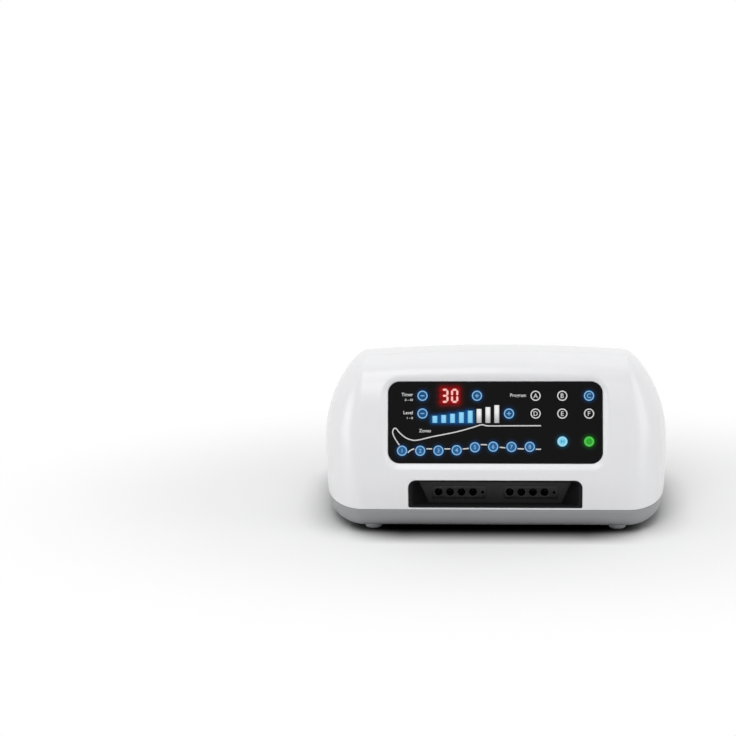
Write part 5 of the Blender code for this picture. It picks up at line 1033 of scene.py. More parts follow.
# Keys
# Twenty round keys moulded in dark clear polycarbonate, each held under the panel by its flange. The
# ring and the sign are printed on the face; the lit ones glow blue, and start and power fill with
# light.
KEY_PROUD = 0.2 * MM
KEY_FLANGE_REACH = 1.0 * MM
KEY_FLANGE_THICKNESS = 0.8 * MM
KEY_EDGE = 0.35 * MM
RING_WIDTH = 1.2 * MM
INK_THICKNESS = 0.04 * MM
WELD = 0.001 * MM
SIGN_HEIGHT = 4.8 * MM
ZONE_SIGN_HEIGHT = 4.2 * MM
SIGN_WEIGHT = 0.03
BAR_SIGN_LENGTH = 4.4 * MM
BAR_SIGN_WIDTH = 1.0 * MM
LAMP_RADIUS = 5.0 * MM

key_clear, tree = fresh("polycarbonate_moulded_dark")
place = add(tree, "ShaderNodeTexCoord").outputs["Object"]
shine = add(tree, "ShaderNodeAttribute", attribute_name="shine")
wear = add(tree, "ShaderNodeTexNoise", {"Vector": place, "Scale": 1 / (3 * MM), "Detail": 3.0})
rough = add(tree, "ShaderNodeMapRange", {"Value": wear.outputs["Fac"], "To Min": 0.16, "To Max": 0.28})
colour = add(tree, "ShaderNodeMix", {0: wear.outputs["Fac"], 6: tone("0B0B0D"), 7: tone("0F0F12")}, data_type="RGBA")
finish(tree, {"Base Color": colour.outputs[2], "Roughness": rough.outputs[0], "Specular IOR Level": PANEL_SPECULAR,
              "Emission Color": shine.outputs["Color"], "Emission Strength": 1.0})


def lit_ink(name, hexes, strength):
    """Translucent screen ink with the key's lamp behind it, a little brighter towards thin places."""
    material, tree = fresh(name)
    place = add(tree, "ShaderNodeTexCoord").outputs["Object"]
    cover = add(tree, "ShaderNodeTexNoise", {"Vector": place, "Scale": 1 / (1.5 * MM), "Detail": 2.0})
    light = add(tree, "ShaderNodeMapRange", {"Value": cover.outputs["Fac"], "To Min": strength * 0.92,
                                             "To Max": strength})
    finish(tree, {"Base Color": tone("202020"), "Roughness": 0.5, "Emission Color": tone(hexes),
                  "Emission Strength": light.outputs[0]})
    return material


# Opaque white ink, only lit from the room
white_ink, tree = fresh("ink_screened_white")
place = add(tree, "ShaderNodeTexCoord").outputs["Object"]
cover = add(tree, "ShaderNodeTexNoise", {"Vector": place, "Scale": 1 / (1.2 * MM), "Detail": 2.0})
colour = add(tree, "ShaderNodeMix", {0: cover.outputs["Fac"], 6: tone("D2D2D2"), 7: tone("DEDEDE")}, data_type="RGBA")
finish(tree, {"Base Color": colour.outputs[2], "Roughness": 0.45})

INKS = {"white": white_ink, "blue": lit_ink("ink_screened_lit_blue", "76AEDC", 1.0),
        "cyan": lit_ink("ink_screened_lit_cyan", "2C84AC", 1.0),
        "green": lit_ink("ink_screened_lit_green", "04600A", 1.0)}
# The wide pale rims of the two keys that are lit all over
RIMS = {"cyan": lit_ink("ink_screened_lit_pale_cyan", "98D2E8", 1.0),
        "green": lit_ink("ink_screened_lit_pale_green", "3CBA3A", 1.0)}
RIM_RADIUS = 4.3 * MM
RIM_WIDTH = 1.7 * MM
FACES = {"blue": (0.006, 0.075, 0.20), "zone": (0.018, 0.11, 0.28), "white": (0.0, 0.0, 0.0),
         "cyan": (0.17, 0.62, 0.84), "green": (0.012, 0.50, 0.012)}


def sign_mesh(name, body, height, at, weight=SIGN_WEIGHT, align="CENTER"):
    """A sign as a thin raised mesh of ink, placed on the panel; words are set right-aligned."""
    text = bpy.data.curves.new(name, "FONT")
    text.body = body
    text.size = height / 0.72
    text.align_x = align
    text.align_y = "CENTER"
    text.offset = weight * height / 2
    text.extrude = INK_THICKNESS / 2
    text.resolution_u = 4
    source = bpy.data.objects.new(name, text)
    bpy.context.scene.collection.objects.link(source)
    settled = settle_curve(source)
    low = np.array([vertex.co for vertex in settled.data.vertices])
    middle = (low[:, 1].max() + low[:, 1].min()) / 2
    centre = (low[:, 0].max() + low[:, 0].min()) / 2 if align == "CENTER" else 0.0
    settled.data.transform(Matrix.Translation((at[0] - centre, at[1] - middle, at[2])))
    return settled


def settle_curve(source):
    """A text or curve object as a plain welded mesh object of the same name."""
    bpy.context.view_layer.update()
    ready = source.evaluated_get(bpy.context.evaluated_depsgraph_get())
    mesh = bpy.data.meshes.new_from_object(ready)
    bm = bmesh.new()
    bm.from_mesh(mesh)
    bmesh.ops.remove_doubles(bm, verts=bm.verts, dist=WELD)
    bmesh.ops.recalc_face_normals(bm, faces=bm.faces)
    bm.to_mesh(mesh)
    bm.free()
    name = source.name
    bpy.data.objects.remove(source, do_unlink=True)
    obj = bpy.data.objects.new(name, mesh)
    bpy.context.scene.collection.objects.link(obj)
    return obj


def ink_ring(name, radius, width, at):
    profile = [(radius + width / 2, at[2]), (radius + width / 2, at[2] + INK_THICKNESS),
               (radius - width / 2, at[2] + INK_THICKNESS), (radius - width / 2, at[2])]
    ring = turned(name, profile, ring=True)
    ring.data.transform(Matrix.Translation((at[0], at[1], 0)))
    return ring


def ink_bar(name, start, end, width, height):
    """A straight stroke of ink with pointed ends, like a display's segment."""
    along = Vector(end) - Vector(start)
    x, y = along.length / 2, width / 2
    outline = np.array([(x, 0), (x - y, y), (y - x, y), (-x, 0), (y - x, -y), (x - y, -y)])
    obj = skin(name, [np.c_[outline, np.full(6, z)] for z in (height, height + INK_THICKNESS)])
    middle = (Vector(start) + Vector(end)) / 2
    obj.data.transform(Matrix.Translation((*middle, 0)) @ Matrix.Rotation(math.atan2(along.y, along.x), 4, "Z"))
    return obj


def plain_sign(name, sign, x, y, height):
    """Start as a pointer with a bar, power as a broken ring with a stroke, else the letter itself."""
    if sign == "start":
        pointer = np.array([(1.1, 0.0), (-1.3, 1.6), (-1.3, -1.6)]) * MM
        rows = [np.c_[pointer + (x - 0.4 * MM, y), np.full(3, z)] for z in (height, height + INK_THICKNESS)]
        bar = ink_bar("start_bar", (x + 1.6 * MM, y - 1.6 * MM), (x + 1.6 * MM, y + 1.6 * MM), 0.9 * MM, height)
        return [skin(name, rows), bar]
    if sign == "power":
        turn = np.radians(np.linspace(125, 415, 30))
        edge = [np.c_[x + r * np.cos(t), y + r * np.sin(t)] for r, t in ((2.4 * MM, turn), (1.5 * MM, turn[::-1]))]
        outline = np.concatenate(edge)
        count = len(outline)
        points = np.concatenate([np.c_[outline, np.full(count, z)] for z in (height, height + INK_THICKNESS)])
        sides = [(i, (i + 1) % count, count + (i + 1) % count, count + i) for i in range(count)]
        half = count // 2
        caps = []
        for i in range(half - 1):
            four = (i, i + 1, count - 2 - i, count - 1 - i)
            caps += [four[::-1], tuple(count + k for k in four)]
        mesh = bpy.data.meshes.new(name)
        mesh.from_pydata(points.tolist(), [], sides + caps)
        ring = bpy.data.objects.new(name, mesh)
        bpy.context.scene.collection.objects.link(ring)
        return [ring, ink_bar("power_bar", (x, y + 0.4 * MM), (x, y + 2.9 * MM), 0.9 * MM, height)]
    if sign in "+−":
        reach = BAR_SIGN_LENGTH / 2
        bars = [ink_bar(name, (x - reach, y), (x + reach, y), BAR_SIGN_WIDTH, height)]
        if sign == "+":
            start = BAR_SIGN_WIDTH / 2
            bars += [ink_bar(name, (x, y + side * start), (x, y + side * reach), BAR_SIGN_WIDTH, height)
                     for side in (-1, 1)]
        return bars
    tall = ZONE_SIGN_HEIGHT if sign.isdigit() else SIGN_HEIGHT
    return [sign_mesh(name, sign, tall, (x, y, height + INK_THICKNESS / 2))]


under = -PANEL_THICKNESS - SEAT
reach = KEY_RADIUS + KEY_FLANGE_REACH
key_profile = [(reach - KEY_EDGE, under - KEY_FLANGE_THICKNESS), (reach, under - KEY_FLANGE_THICKNESS + KEY_EDGE),
               (reach, under), (KEY_RADIUS, under)]
key_profile += arc(KEY_EDGE, 0, 90, (KEY_RADIUS - KEY_EDGE, KEY_PROUD - KEY_EDGE), 4)
key_profile += [(radius * MM, KEY_PROUD) for radius in (5.3, 4.8, 4.2, 3.5, 2.8, 2.0, 1.2, 0.5)]
for name, (x, y, sign, shine) in KEYS.items():
    body = f"{name}_key"
    cap = moved(turned(f"{name}_cap", key_profile), (x, y, 0), PANEL)
    u, v = in_plane(cap)
    inside = np.clip((LAMP_RADIUS + 0.4 * MM - np.hypot(u - x, v - y)) / (0.8 * MM), 0, 1)[:, None]
    store_light(cap, halo(u, v) * (1 - inside) + np.outer(inside, FACES[shine]))
    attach(dress(cap, key_clear), body)
    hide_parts(body)
    prints = plain_sign(f"{name}_sign", sign, x, y, KEY_PROUD)
    if shine in ("blue", "zone", "white"):
        prints.append(ink_ring(f"{name}_ring", RING_RADIUS, RING_WIDTH, (x, y, KEY_PROUD)))
    mark = joined(f"{name}_print", prints)
    mark.data.transform(PANEL)
    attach(dress(mark, INKS.get(shine, INKS["blue"])), body)
    if shine in RIMS:
        rim = ink_ring(f"{name}_rim", RIM_RADIUS, RIM_WIDTH, (x, y, KEY_PROUD))
        rim.data.transform(PANEL)
        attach(dress(rim, RIMS[shine]), body)


# Time display
# A two-digit light-emitting display with a deep red filled face in the panel's window and a wider
# body on the board. The figures stand for half an hour, and their light reddens the face round them.
TIME_BODY_MARGIN = 1.5 * MM
FACE_EDGE = 0.25 * MM
FACE_PITCH = 0.6 * MM
STROKE_WIDTH = 2.2 * MM
STROKE_GAP = 0.5 * MM

display_face, tree = fresh("epoxy_filled_display_red")
place = add(tree, "ShaderNodeTexCoord").outputs["Object"]
shine = add(tree, "ShaderNodeAttribute", attribute_name="shine")
fill = add(tree, "ShaderNodeTexNoise", {"Vector": place, "Scale": 1 / (2 * MM), "Detail": 2.0})
colour = add(tree, "ShaderNodeMix", {0: fill.outputs["Fac"], 6: tone("0E0405"), 7: tone("150708")}, data_type="RGBA")
rough = add(tree, "ShaderNodeMapRange", {"Value": fill.outputs["Fac"], "To Min": 0.16, "To Max": 0.24})
finish(tree, {"Base Color": colour.outputs[2], "Roughness": rough.outputs[0], "Specular IOR Level": PANEL_SPECULAR,
              "Emission Color": shine.outputs["Color"], "Emission Strength": 1.0})


def stepped_plate(name, foot, face, low, under, pitch, at):
    """A body with a narrower face that stands up to the panel's own height, its face a fine grid."""
    rows = []
    for (width, height), z in ((foot, low), (foot, under), (face, under), (face, -FACE_EDGE)):
        outline = rounded_rectangle(width, height, FACE_EDGE, steps=3)
        rows.append(np.c_[outline, np.full(len(outline), z)])
    outline = rounded_rectangle(face[0] - FACE_EDGE, face[1] - FACE_EDGE, FACE_EDGE, steps=3)
    rows += [np.c_[outline, np.full(len(outline), z)] for z in (0, OVERRUN)]
    obj = skin(name, rows)
    obj.data.transform(Matrix.Translation((*at, 0)))
    return carve(obj, sheet_plate("face_grid", foot[0] + 2 * MM, foot[1] + 2 * MM, 2 * BOARD_DEPTH, pitch, at),
                 "INTERSECT")


low, under = SEAT - BOARD_DEPTH, -PANEL_THICKNESS - SEAT
body = (TIME_WINDOW_WIDTH + 2 * TIME_BODY_MARGIN, WINDOW_HEIGHT + 2 * TIME_BODY_MARGIN)
display = stepped_plate("time_display_case", body, (TIME_WINDOW_WIDTH, WINDOW_HEIGHT), low, under, FACE_PITCH,
                        (WINDOW_X, TIME_Y))
display.data.transform(PANEL)
store_light(display, halo(*in_plane(display)))
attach(dress(display, display_face), "console")
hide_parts("time_display")

strokes = []
for x, figure in FIGURES:
    for start, end in segments(figure):
        start, end = Vector((x, TIME_Y)) + Vector(start), Vector((x, TIME_Y)) + Vector(end)
        pull = (end - start).normalized() * STROKE_GAP / 2
        strokes.append(ink_bar("stroke", start + pull, end - pull, STROKE_WIDTH, 0.0))
figures = joined("time_display_figures", strokes)
figures.data.transform(PANEL)
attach(dress(figures, lit_ink("display_segments_lit", "FFB9B4", 1.0)), "console")


# Light bars
# Eight bars of milky acrylic on one light box, growing to the right by one rule, for the pressure level. The first five
# are lit blue; the rest are unlit, and their white is painted light, emitted and darker towards their foot and sides.
BAR_BODY_MARGIN = 1.2 * MM
BAR_LIT = ((0.24, 0.66, 0.92), (0.16, 0.54, 0.86))
BAR_PAINTED_WHITE_LIGHT = ((0.82, 0.82, 0.82), (0.44, 0.44, 0.44))
BAR_PAINTED_SHADE_SHARE = 0.6
BAR_SIDE_FADE = 0.4
BAR_GRID = 0.65 * MM

milky, tree = fresh("acrylic_moulded_milky")
place = add(tree, "ShaderNodeTexCoord").outputs["Object"]
shine = add(tree, "ShaderNodeAttribute", attribute_name="shine")
cloud = add(tree, "ShaderNodeTexNoise", {"Vector": place, "Scale": 1 / (2.5 * MM), "Detail": 2.0})
colour = add(tree, "ShaderNodeMix", {0: cloud.outputs["Fac"], 6: tone("2A2C30"), 7: tone("303236")}, data_type="RGBA")
finish(tree, {"Base Color": colour.outputs[2], "Roughness": 0.3, "Specular IOR Level": 0.3,
              "Emission Color": shine.outputs["Color"], "Emission Strength": 1.0})

light_box = block("light_box", (BAR_PITCH * (BARS - 1) + BAR_WIDTH + 2 * BAR_BODY_MARGIN,
                                BAR_TALL + 2 * BAR_BODY_MARGIN, under - low),
                  (BAR_X + BAR_PITCH * (BARS - 1) / 2, BAR_FOOT + BAR_TALL / 2, (under + low) / 2))
dress(light_box, milky)
bar = sheet_plate("light_bar", BAR_WIDTH, BAR_SHORT, -under - SEAT / 2, BAR_GRID, (0, BAR_SHORT / 2))
repeated(bar, milky, BARS, step=(BAR_PITCH, 0, 0), last_height=BAR_TALL / BAR_SHORT, power=BAR_GROWTH_POWER)
moved(bar, (BAR_X, BAR_FOOT, 0))
bars = joined("pressure_bars_moulding", [light_box, bar])
bars.data.transform(PANEL)
u, v = in_plane(bars)
which = np.clip(np.round((u - BAR_X) / BAR_PITCH), 0, BARS - 1).astype(int)
up = np.clip((v - BAR_FOOT) / np.array([bar_height(i) for i in range(BARS)])[which], 0, 1)[:, None]
lit = up ** 0.6 * BAR_LIT[0] + (1 - up ** 0.6) * BAR_LIT[1]
fade = np.clip(up / BAR_PAINTED_SHADE_SHARE, 0, 1) ** 1.5
# Unlit bars: painted white light, with painted shade towards their foot
plain = fade * BAR_PAINTED_WHITE_LIGHT[0] + (1 - fade) * BAR_PAINTED_WHITE_LIGHT[1]
light = np.where((which < LIT_BARS)[:, None], lit, plain)
aside = np.clip(np.abs(u - BAR_X - BAR_PITCH * which) / (BAR_WIDTH / 2), 0, 1)[:, None]
# The bars dim towards their sides: the lamp's falloff on the lit bars, painted shade on the unlit ones
light *= 1 - BAR_SIDE_FADE * aside ** 3
over_box = [(PANEL.inverted() @ vertex.co).z > under + SEAT for vertex in bars.data.vertices]
store_light(bars, light * np.array(over_box)[:, None])
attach(dress(bars, milky), "console")
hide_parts("pressure_bars")


# Panel print
# The panel's own white print: plain words beside the keys, the ranges of the two settings, and a
# simple outline of a leg behind the zone keys. It is screened on the sheet in opaque white ink.
WORD_HEIGHT = 3.5 * MM
RANGE_HEIGHT = 2.4 * MM
WORD_WEIGHT = 0.04
WORDS_END = -85.3 * MM
RANGE_DROP = 5.6 * MM
PROGRAM_END = 32.4 * MM
ZONES_END = -66.5 * MM
ZONES_Y = -8.6 * MM
LEG_WIDTH = 1.2 * MM
LEG_STEPS = 60
LEG_GAP = 0.4 * MM
LEG_FRONT = [(47.6, -3.3), (20.0, -3.4), (-6.6, -3.5), (-13.7, -2.4), (-24.1, -5.4), (-40.0, -9.8),
             (-63.8, -14.6), (-79.7, -18.3), (-86.2, -18.4), (-93.4, -15.6), (-99.8, -10.2), (-102.6, -6.6),
             (-105.2, -6.6), (-106.5, -10.0), (-105.3, -14.4), (-102.0, -20.0), (-98.1, -25.5)]
LEG_BACK = [(-92.1, -33.3), (-89.0, -30.0), (-85.0, -27.8), (-78.0, -27.5), (-50.0, -27.5), (-30.0, -27.3),
            (-20.8, -24.6), (-11.4, -23.0), (3.1, -25.5), (20.0, -26.9), (34.0, -27.6), (47.6, -27.7)]


def smooth_line(points, steps):
    """A curve through points, by cubic steps with each point's slope taken from its neighbours."""
    points = np.array(points) * MM
    slopes = np.gradient(points, axis=0)
    share = np.linspace(0, 1, steps, endpoint=False)[:, None]
    line = []
    for a, b, m, n in zip(points, points[1:], slopes, slopes[1:]):
        line.append((1 + 2 * share) * (1 - share) ** 2 * a + share * (1 - share) ** 2 * m
                    + share ** 2 * (3 - 2 * share) * b + share ** 2 * (share - 1) * n)
    return np.concatenate(line + [points[-1:]])


def ink_line(name, line, width):
    """A printed line of one width along points."""
    along = np.gradient(line, axis=0)
    across = np.c_[-along[:, 1], along[:, 0]] / np.linalg.norm(along, axis=1)[:, None] * width / 2
    rows = []
    for point, reach in zip(line, across):
        one, other = point - reach, point + reach
        rows.append(np.array([(*one, 0), (*other, 0), (*other, INK_THICKNESS), (*one, INK_THICKNESS)]))
    return skin(name, rows)


def clear_runs(line):
    """The stretches of a line that keep clear of the keys."""
    clear = np.ones(len(line), bool)
    for x, y, _, _ in KEYS.values():
        clear &= np.hypot(line[:, 0] - x, line[:, 1] - y) > KEY_RADIUS + LEG_GAP
    cuts = np.flatnonzero(np.diff(clear.astype(int))) + 1
    return [run for run, keep in zip(np.split(line, cuts), np.split(clear, cuts)) if keep[0] and len(run) > 2]


prints = []
for word, end, y in (("Timer", WORDS_END, TIME_Y + 1.3 * MM), ("Level", WORDS_END, LEVEL_Y + 0.9 * MM),
                     ("Program", PROGRAM_END, TIME_Y), ("Zones", ZONES_END, ZONES_Y)):
    prints.append(sign_mesh("word", word, WORD_HEIGHT, (end, y, INK_THICKNESS / 2), WORD_WEIGHT, "RIGHT"))
for text, y in (("0 – 60", TIME_Y + 1.3 * MM - RANGE_DROP), ("1 – 8", LEVEL_Y + 0.9 * MM - RANGE_DROP)):
    prints.append(sign_mesh("range", text, RANGE_HEIGHT, (WORDS_END, y, INK_THICKNESS / 2), WORD_WEIGHT, "RIGHT"))
for points in (LEG_FRONT, LEG_BACK):
    prints += [ink_line("leg", run, LEG_WIDTH) for run in clear_runs(smooth_line(points, LEG_STEPS))]
panel_print = joined("panel_print", prints)
panel_print.data.transform(PANEL)
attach(dress(panel_print, white_ink), "console")


# Hose bay
# The black insert of the front wall, moulded in ABS on a textured tool: from a rounded mouth its
# floor, roof and sides run back and inwards to the plate that holds the port blocks.
BAY_WALL = 2.2 * MM
BAY_TOP_DRAW = 9.4 * MM
BAY_FOOT_DRAW = 20.1 * MM
BAY_TOP_DROP = 5.0 * MM
BAY_FOOT_DROP = 2.7 * MM
BAY_FLANGE_THICKNESS = 1.8 * MM
PORT_BLOCK_X = 37.5 * MM
PORT_BLOCK_WIDTH = 57.0 * MM
PORT_BLOCK_HEIGHT = 14.0 * MM
PORT_BLOCK_CORNER = 2.0 * MM
PORT_FIT = 0.05 * MM
BAY_LEAD = 4.0 * MM
BAY_LEAD_SIDE = 4.6 * MM
BAY_LEAD_TOP = 2.4 * MM
BAY_LEAD_FOOT = 2.2 * MM
BAY_LEAD_STEPS = 6
BAY_SPECULAR = 0.1
PLATE_SPECULAR = 0.6

black_abs, tree = fresh("abs_moulded_textured_black")
place = add(tree, "ShaderNodeTexCoord").outputs["Object"]
grain = add(tree, "ShaderNodeTexNoise", {"Vector": place, "Scale": 1 / (0.8 * MM), "Detail": 3.0})
flow = add(tree, "ShaderNodeTexNoise", {"Vector": place, "Scale": 1 / (30 * MM), "Detail": 2.0})
colour = add(tree, "ShaderNodeMix", {0: flow.outputs["Fac"], 6: tone("18181A"), 7: tone("1D1D1E")}, data_type="RGBA")
rough = add(tree, "ShaderNodeMapRange", {"Value": grain.outputs["Fac"], "To Min": 0.5, "To Max": 0.65})
bump = add(tree, "ShaderNodeBump", {"Height": grain.outputs["Fac"], "Strength": 0.12, "Distance": 0.05 * MM})
finish(tree, {"Base Color": colour.outputs[2], "Roughness": rough.outputs[0], "Normal": bump.outputs[0],
              "Specular IOR Level": BAY_SPECULAR})


def upright(outline, y):
    return np.c_[outline[:, 0], np.full(len(outline), y), outline[:, 1]]


def bay_rear(grow):
    return bay_outline(BAY_TOP_DRAW - grow, -BAY_FOOT_DROP - grow, BAY_TOP_DROP - grow, BAY_FOOT_DRAW - grow)


def bay_lead(share):
    """The mouth's rounded lead-in at a share of its depth: steep at the lip, then along the funnel."""
    turn = math.sin(share * math.pi / 2)
    edge = SEAT + FOOT_EDGE
    return upright(bay_outline(edge + (BAY_LEAD_SIDE - edge) * turn, edge + (BAY_LEAD_FOOT - edge) * turn,
                               edge + (BAY_LEAD_TOP - edge) * turn),
                   bay_mouth + BAY_LEAD * (1 - math.cos(share * math.pi / 2)))


bay = skin("hose_bay_insert", [upright(bay_rear(BAY_WALL), port_face + BAY_WALL),
                               upright(bay_outline(SEAT, SEAT, SEAT), bay_mouth)])
reach = BAY_HALF_WIDTH + BAY_FLANGE_REACH
low, high = PARTING_HEIGHT + SEAT, bay_top + BAY_FLANGE_REACH
level = (high - PARTING_HEIGHT) / (roof_height(reach, front_y(1.0), WALL) - PARTING_HEIGHT)
start = float(front_y(level)) + WALL + 2 * SEAT
carve(bay, block("bay_flange", (2 * reach, BAY_FLANGE_THICKNESS, high - low),
                 (0, start + BAY_FLANGE_THICKNESS / 2, (low + high) / 2)), "UNION")
hollow = [upright(bay_rear(0.0), port_face)] + [bay_lead(share) for share in np.linspace(1, 0, BAY_LEAD_STEPS)]
carve(bay, skin("bay_hollow", hollow + [hollow[-1] - (0, OVERRUN, 0)]))
for side in (-1, 1):
    window = (PORT_BLOCK_WIDTH + 2 * PORT_FIT, PORT_BLOCK_HEIGHT + 2 * PORT_FIT, PORT_BLOCK_CORNER + PORT_FIT)
    stand = Matrix.Translation((side * PORT_BLOCK_X, port_face, port_height)) @ Matrix.Rotation(math.pi / 2, 4, "X")
    carve(bay, plug("port_window", box_hole(*window), [(0, -BAY_WALL - OVERRUN), (0, OVERRUN)], stand))
dress(bay, black_abs)
# The plate behind the ports is polished, where the funnel's walls are textured and show no gloss
polished_abs = black_abs.copy()
polished_abs.name = "abs_moulded_polished_black"
for node in polished_abs.node_tree.nodes:
    if node.type == "BSDF_PRINCIPLED":
        node.inputs["Specular IOR Level"].default_value = PLATE_SPECULAR
bay.data.materials.append(polished_abs)
for face in bay.data.polygons:
    face.material_index = int(face.normal.y < -0.9 and abs(face.center.y - port_face) < SEAT)
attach(bay, "console")
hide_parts("hose_bay")


# Port blocks
# Two black mouldings of glass-filled nylon, each with four hose sockets with rounded mouths and a
# keying hole, a flange behind the bay's plate, and a nipple behind each socket.
PORTS = 4
PORT_FIRST = -22.0 * MM
PORT_PITCH = 12.1 * MM
PORT_FLANGE = 1.5 * MM
PORT_RADIUS = 3.9 * MM
PORT_ROUND = 0.6 * MM
PORT_SOCKET_DEPTH = 9.0 * MM
PORT_EDGE = 0.25 * MM
PORT_PROUD = 0.3 * MM
PIN_HOLE_X = 24.3 * MM
PIN_HOLE_RADIUS = 1.6 * MM
PIN_HOLE_DEPTH = 6.0 * MM
NIPPLE_RADIUS = 3.0 * MM
NIPPLE_BORE = 1.6 * MM
NIPPLE_LENGTH = 7.0 * MM

black_nylon, tree = fresh("nylon_glass_filled_moulded_black")
place = add(tree, "ShaderNodeTexCoord").outputs["Object"]
fibres = add(tree, "ShaderNodeTexNoise", {"Vector": place, "Scale": 1 / (0.5 * MM), "Detail": 4.0, "Distortion": 0.6})
colour = add(tree, "ShaderNodeMix", {0: fibres.outputs["Fac"], 6: tone("1B1B1D"), 7: tone("232325")}, data_type="RGBA")
rough = add(tree, "ShaderNodeMapRange", {"Value": fibres.outputs["Fac"], "To Min": 0.3, "To Max": 0.5})
finish(tree, {"Base Color": colour.outputs[2], "Roughness": rough.outputs[0]})

# The same nylon inside the sockets, matt where it is left from the core pins; its near-black colour is painted shade in
# the deep holes
socket_nylon_painted_shade, tree = fresh("nylon_cored_painted_shade_black")
place = add(tree, "ShaderNodeTexCoord").outputs["Object"]
drag = add(tree, "ShaderNodeTexNoise", {"Vector": place, "Scale": 1 / (0.7 * MM), "Detail": 2.0})
rough = add(tree, "ShaderNodeMapRange", {"Value": drag.outputs["Fac"], "To Min": 0.6, "To Max": 0.85})
finish(tree, {"Base Color": tone("050505"), "Roughness": rough.outputs[0], "Specular IOR Level": 0.1})

block_rows = [(0, -PORT_BLOCK_DEPTH)] + [(-PORT_EDGE * (1 - math.cos(turn)), -PORT_EDGE * (1 - math.sin(turn)))
                                         for turn in np.linspace(0, math.pi / 2, 4)]
bore_profile = [(NIPPLE_BORE, -PORT_BLOCK_DEPTH - NIPPLE_LENGTH - OVERRUN), (NIPPLE_BORE, -PORT_SOCKET_DEPTH),
                (PORT_RADIUS, -PORT_SOCKET_DEPTH)]
bore_profile += [(PORT_RADIUS + grow, height) for grow, height in round_rim(PORT_ROUND, PORT_ROUND, OVERRUN)]
for name, side in (("left", -1), ("right", 1)):
    stand = Matrix.Translation((side * PORT_BLOCK_X, port_face - PORT_PROUD, port_height))
    stand = stand @ Matrix.Rotation(math.pi / 2, 4, "X")
    ports = plug(f"port_block_{name}_moulding", box_hole(PORT_BLOCK_WIDTH, PORT_BLOCK_HEIGHT, PORT_BLOCK_CORNER),
                 block_rows)
    back = PORT_PROUD + BAY_WALL + SEAT
    carve(ports, block("port_flange", (PORT_BLOCK_WIDTH + 2 * PORT_FLANGE, PORT_BLOCK_HEIGHT + 2 * PORT_FLANGE,
                                       PORT_FLANGE), (0, 0, -back - PORT_FLANGE / 2)), "UNION")
    nipple = post("nipple", NIPPLE_RADIUS, -PORT_BLOCK_DEPTH - NIPPLE_LENGTH, PORT_FLANGE - PORT_BLOCK_DEPTH)
    carve(ports, moved(repeated(nipple, black_nylon, PORTS, (PORT_PITCH, 0, 0)), (PORT_FIRST, 0, 0)), "UNION")
    bores = repeated(turned("bore", bore_profile), black_nylon, PORTS, (PORT_PITCH, 0, 0))
    carve(ports, moved(bores, (PORT_FIRST, 0, 0)))
    carve(ports, moved(post("pin_hole", PIN_HOLE_RADIUS, -PIN_HOLE_DEPTH, OVERRUN), (PIN_HOLE_X, 0, 0)))
    dress(ports, black_nylon)
    ports.data.materials.append(socket_nylon_painted_shade)
    for face in ports.data.polygons:
        x, y, z = face.center
        axis = PORT_FIRST + PORT_PITCH * round((x - PORT_FIRST) / PORT_PITCH)
        in_socket = min(math.hypot(x - axis, y) - PORT_RADIUS, math.hypot(x - PIN_HOLE_X, y) - PIN_HOLE_RADIUS)
        # Faces inside the sockets take the near-black painted shade
        if in_socket < PORT_FIT and -PORT_ROUND > z > -PORT_BLOCK_DEPTH + PORT_EDGE:
            face.material_index = 1
    ports.data.transform(stand)
    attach(ports, "console")
    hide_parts(f"port_block_{name}")


# Mains inlet
# A three-pole appliance inlet moulded in black nylon, pushed through the rear wall up to its flange,
# with a deep socket that has rounded corners.
INLET_FLANGE = 4.0 * MM
INLET_FLANGE_THICKNESS = 2.0 * MM
INLET_BODY_DEPTH = 17.0 * MM
INLET_SOCKET_MARGIN = 1.5 * MM
INLET_SOCKET_DEPTH = 15.5 * MM
INLET_EDGE = 0.7 * MM
INLET_RIM = 0.5 * MM
CONTACT_X = 7.0 * MM
CONTACT_RISE = 2.0 * MM
CONTACT_WIDTH = 2.0 * MM
CONTACT_HEIGHT = 4.0 * MM
CONTACT_LENGTH = 13.0 * MM
CONTACT_TAG = 6.0 * MM
CONTACT_EDGE = 0.4 * MM


def rounded_slab(edge, low, high, steps=4):
    """Steps of an upright slab whose upper edge rounds over."""
    turns = [math.pi / 2 * i / steps for i in range(steps + 1)]
    return [(0, low)] + [(-edge * (1 - math.cos(turn)), high - edge * (1 - math.sin(turn))) for turn in turns]


outer = SEAT + INLET_FLANGE_THICKNESS
flange = (INLET_WIDTH + 2 * INLET_FLANGE, INLET_HEIGHT + 2 * INLET_FLANGE, INLET_CORNER)
socket = (INLET_WIDTH - 2 * INLET_SOCKET_MARGIN, INLET_HEIGHT - 2 * INLET_SOCKET_MARGIN,
          INLET_CORNER - INLET_SOCKET_MARGIN)
inlet = plug("mains_inlet_moulding", box_hole(*flange), rounded_slab(INLET_EDGE, SEAT, outer))
carve(inlet, plug("inlet_body", box_hole(INLET_WIDTH, INLET_HEIGHT, INLET_CORNER),
                  [(0, -INLET_BODY_DEPTH), (0, SEAT + INLET_FLANGE_THICKNESS / 2)]), "UNION")
rim = [(grow, outer + height) for grow, height in round_rim(INLET_RIM, INLET_SOCKET_DEPTH, OVERRUN)]
carve(inlet, plug("inlet_socket", box_hole(*socket), rim))
contact_spots = {"live": (-CONTACT_X, -CONTACT_RISE), "earth": (0, CONTACT_RISE), "neutral": (CONTACT_X, -CONTACT_RISE)}
for x, y in contact_spots.values():
    size = (CONTACT_WIDTH + 2 * SEAT, CONTACT_HEIGHT + 2 * SEAT, 2 * OVERRUN)
    carve(inlet, block("contact_hole", size, (x, y, -INLET_BODY_DEPTH + OVERRUN / 2)))
moved(inlet, (inlet_x, 0, 0), REAR)
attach(dress(inlet, black_nylon), "console")
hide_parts("mains_inlet")


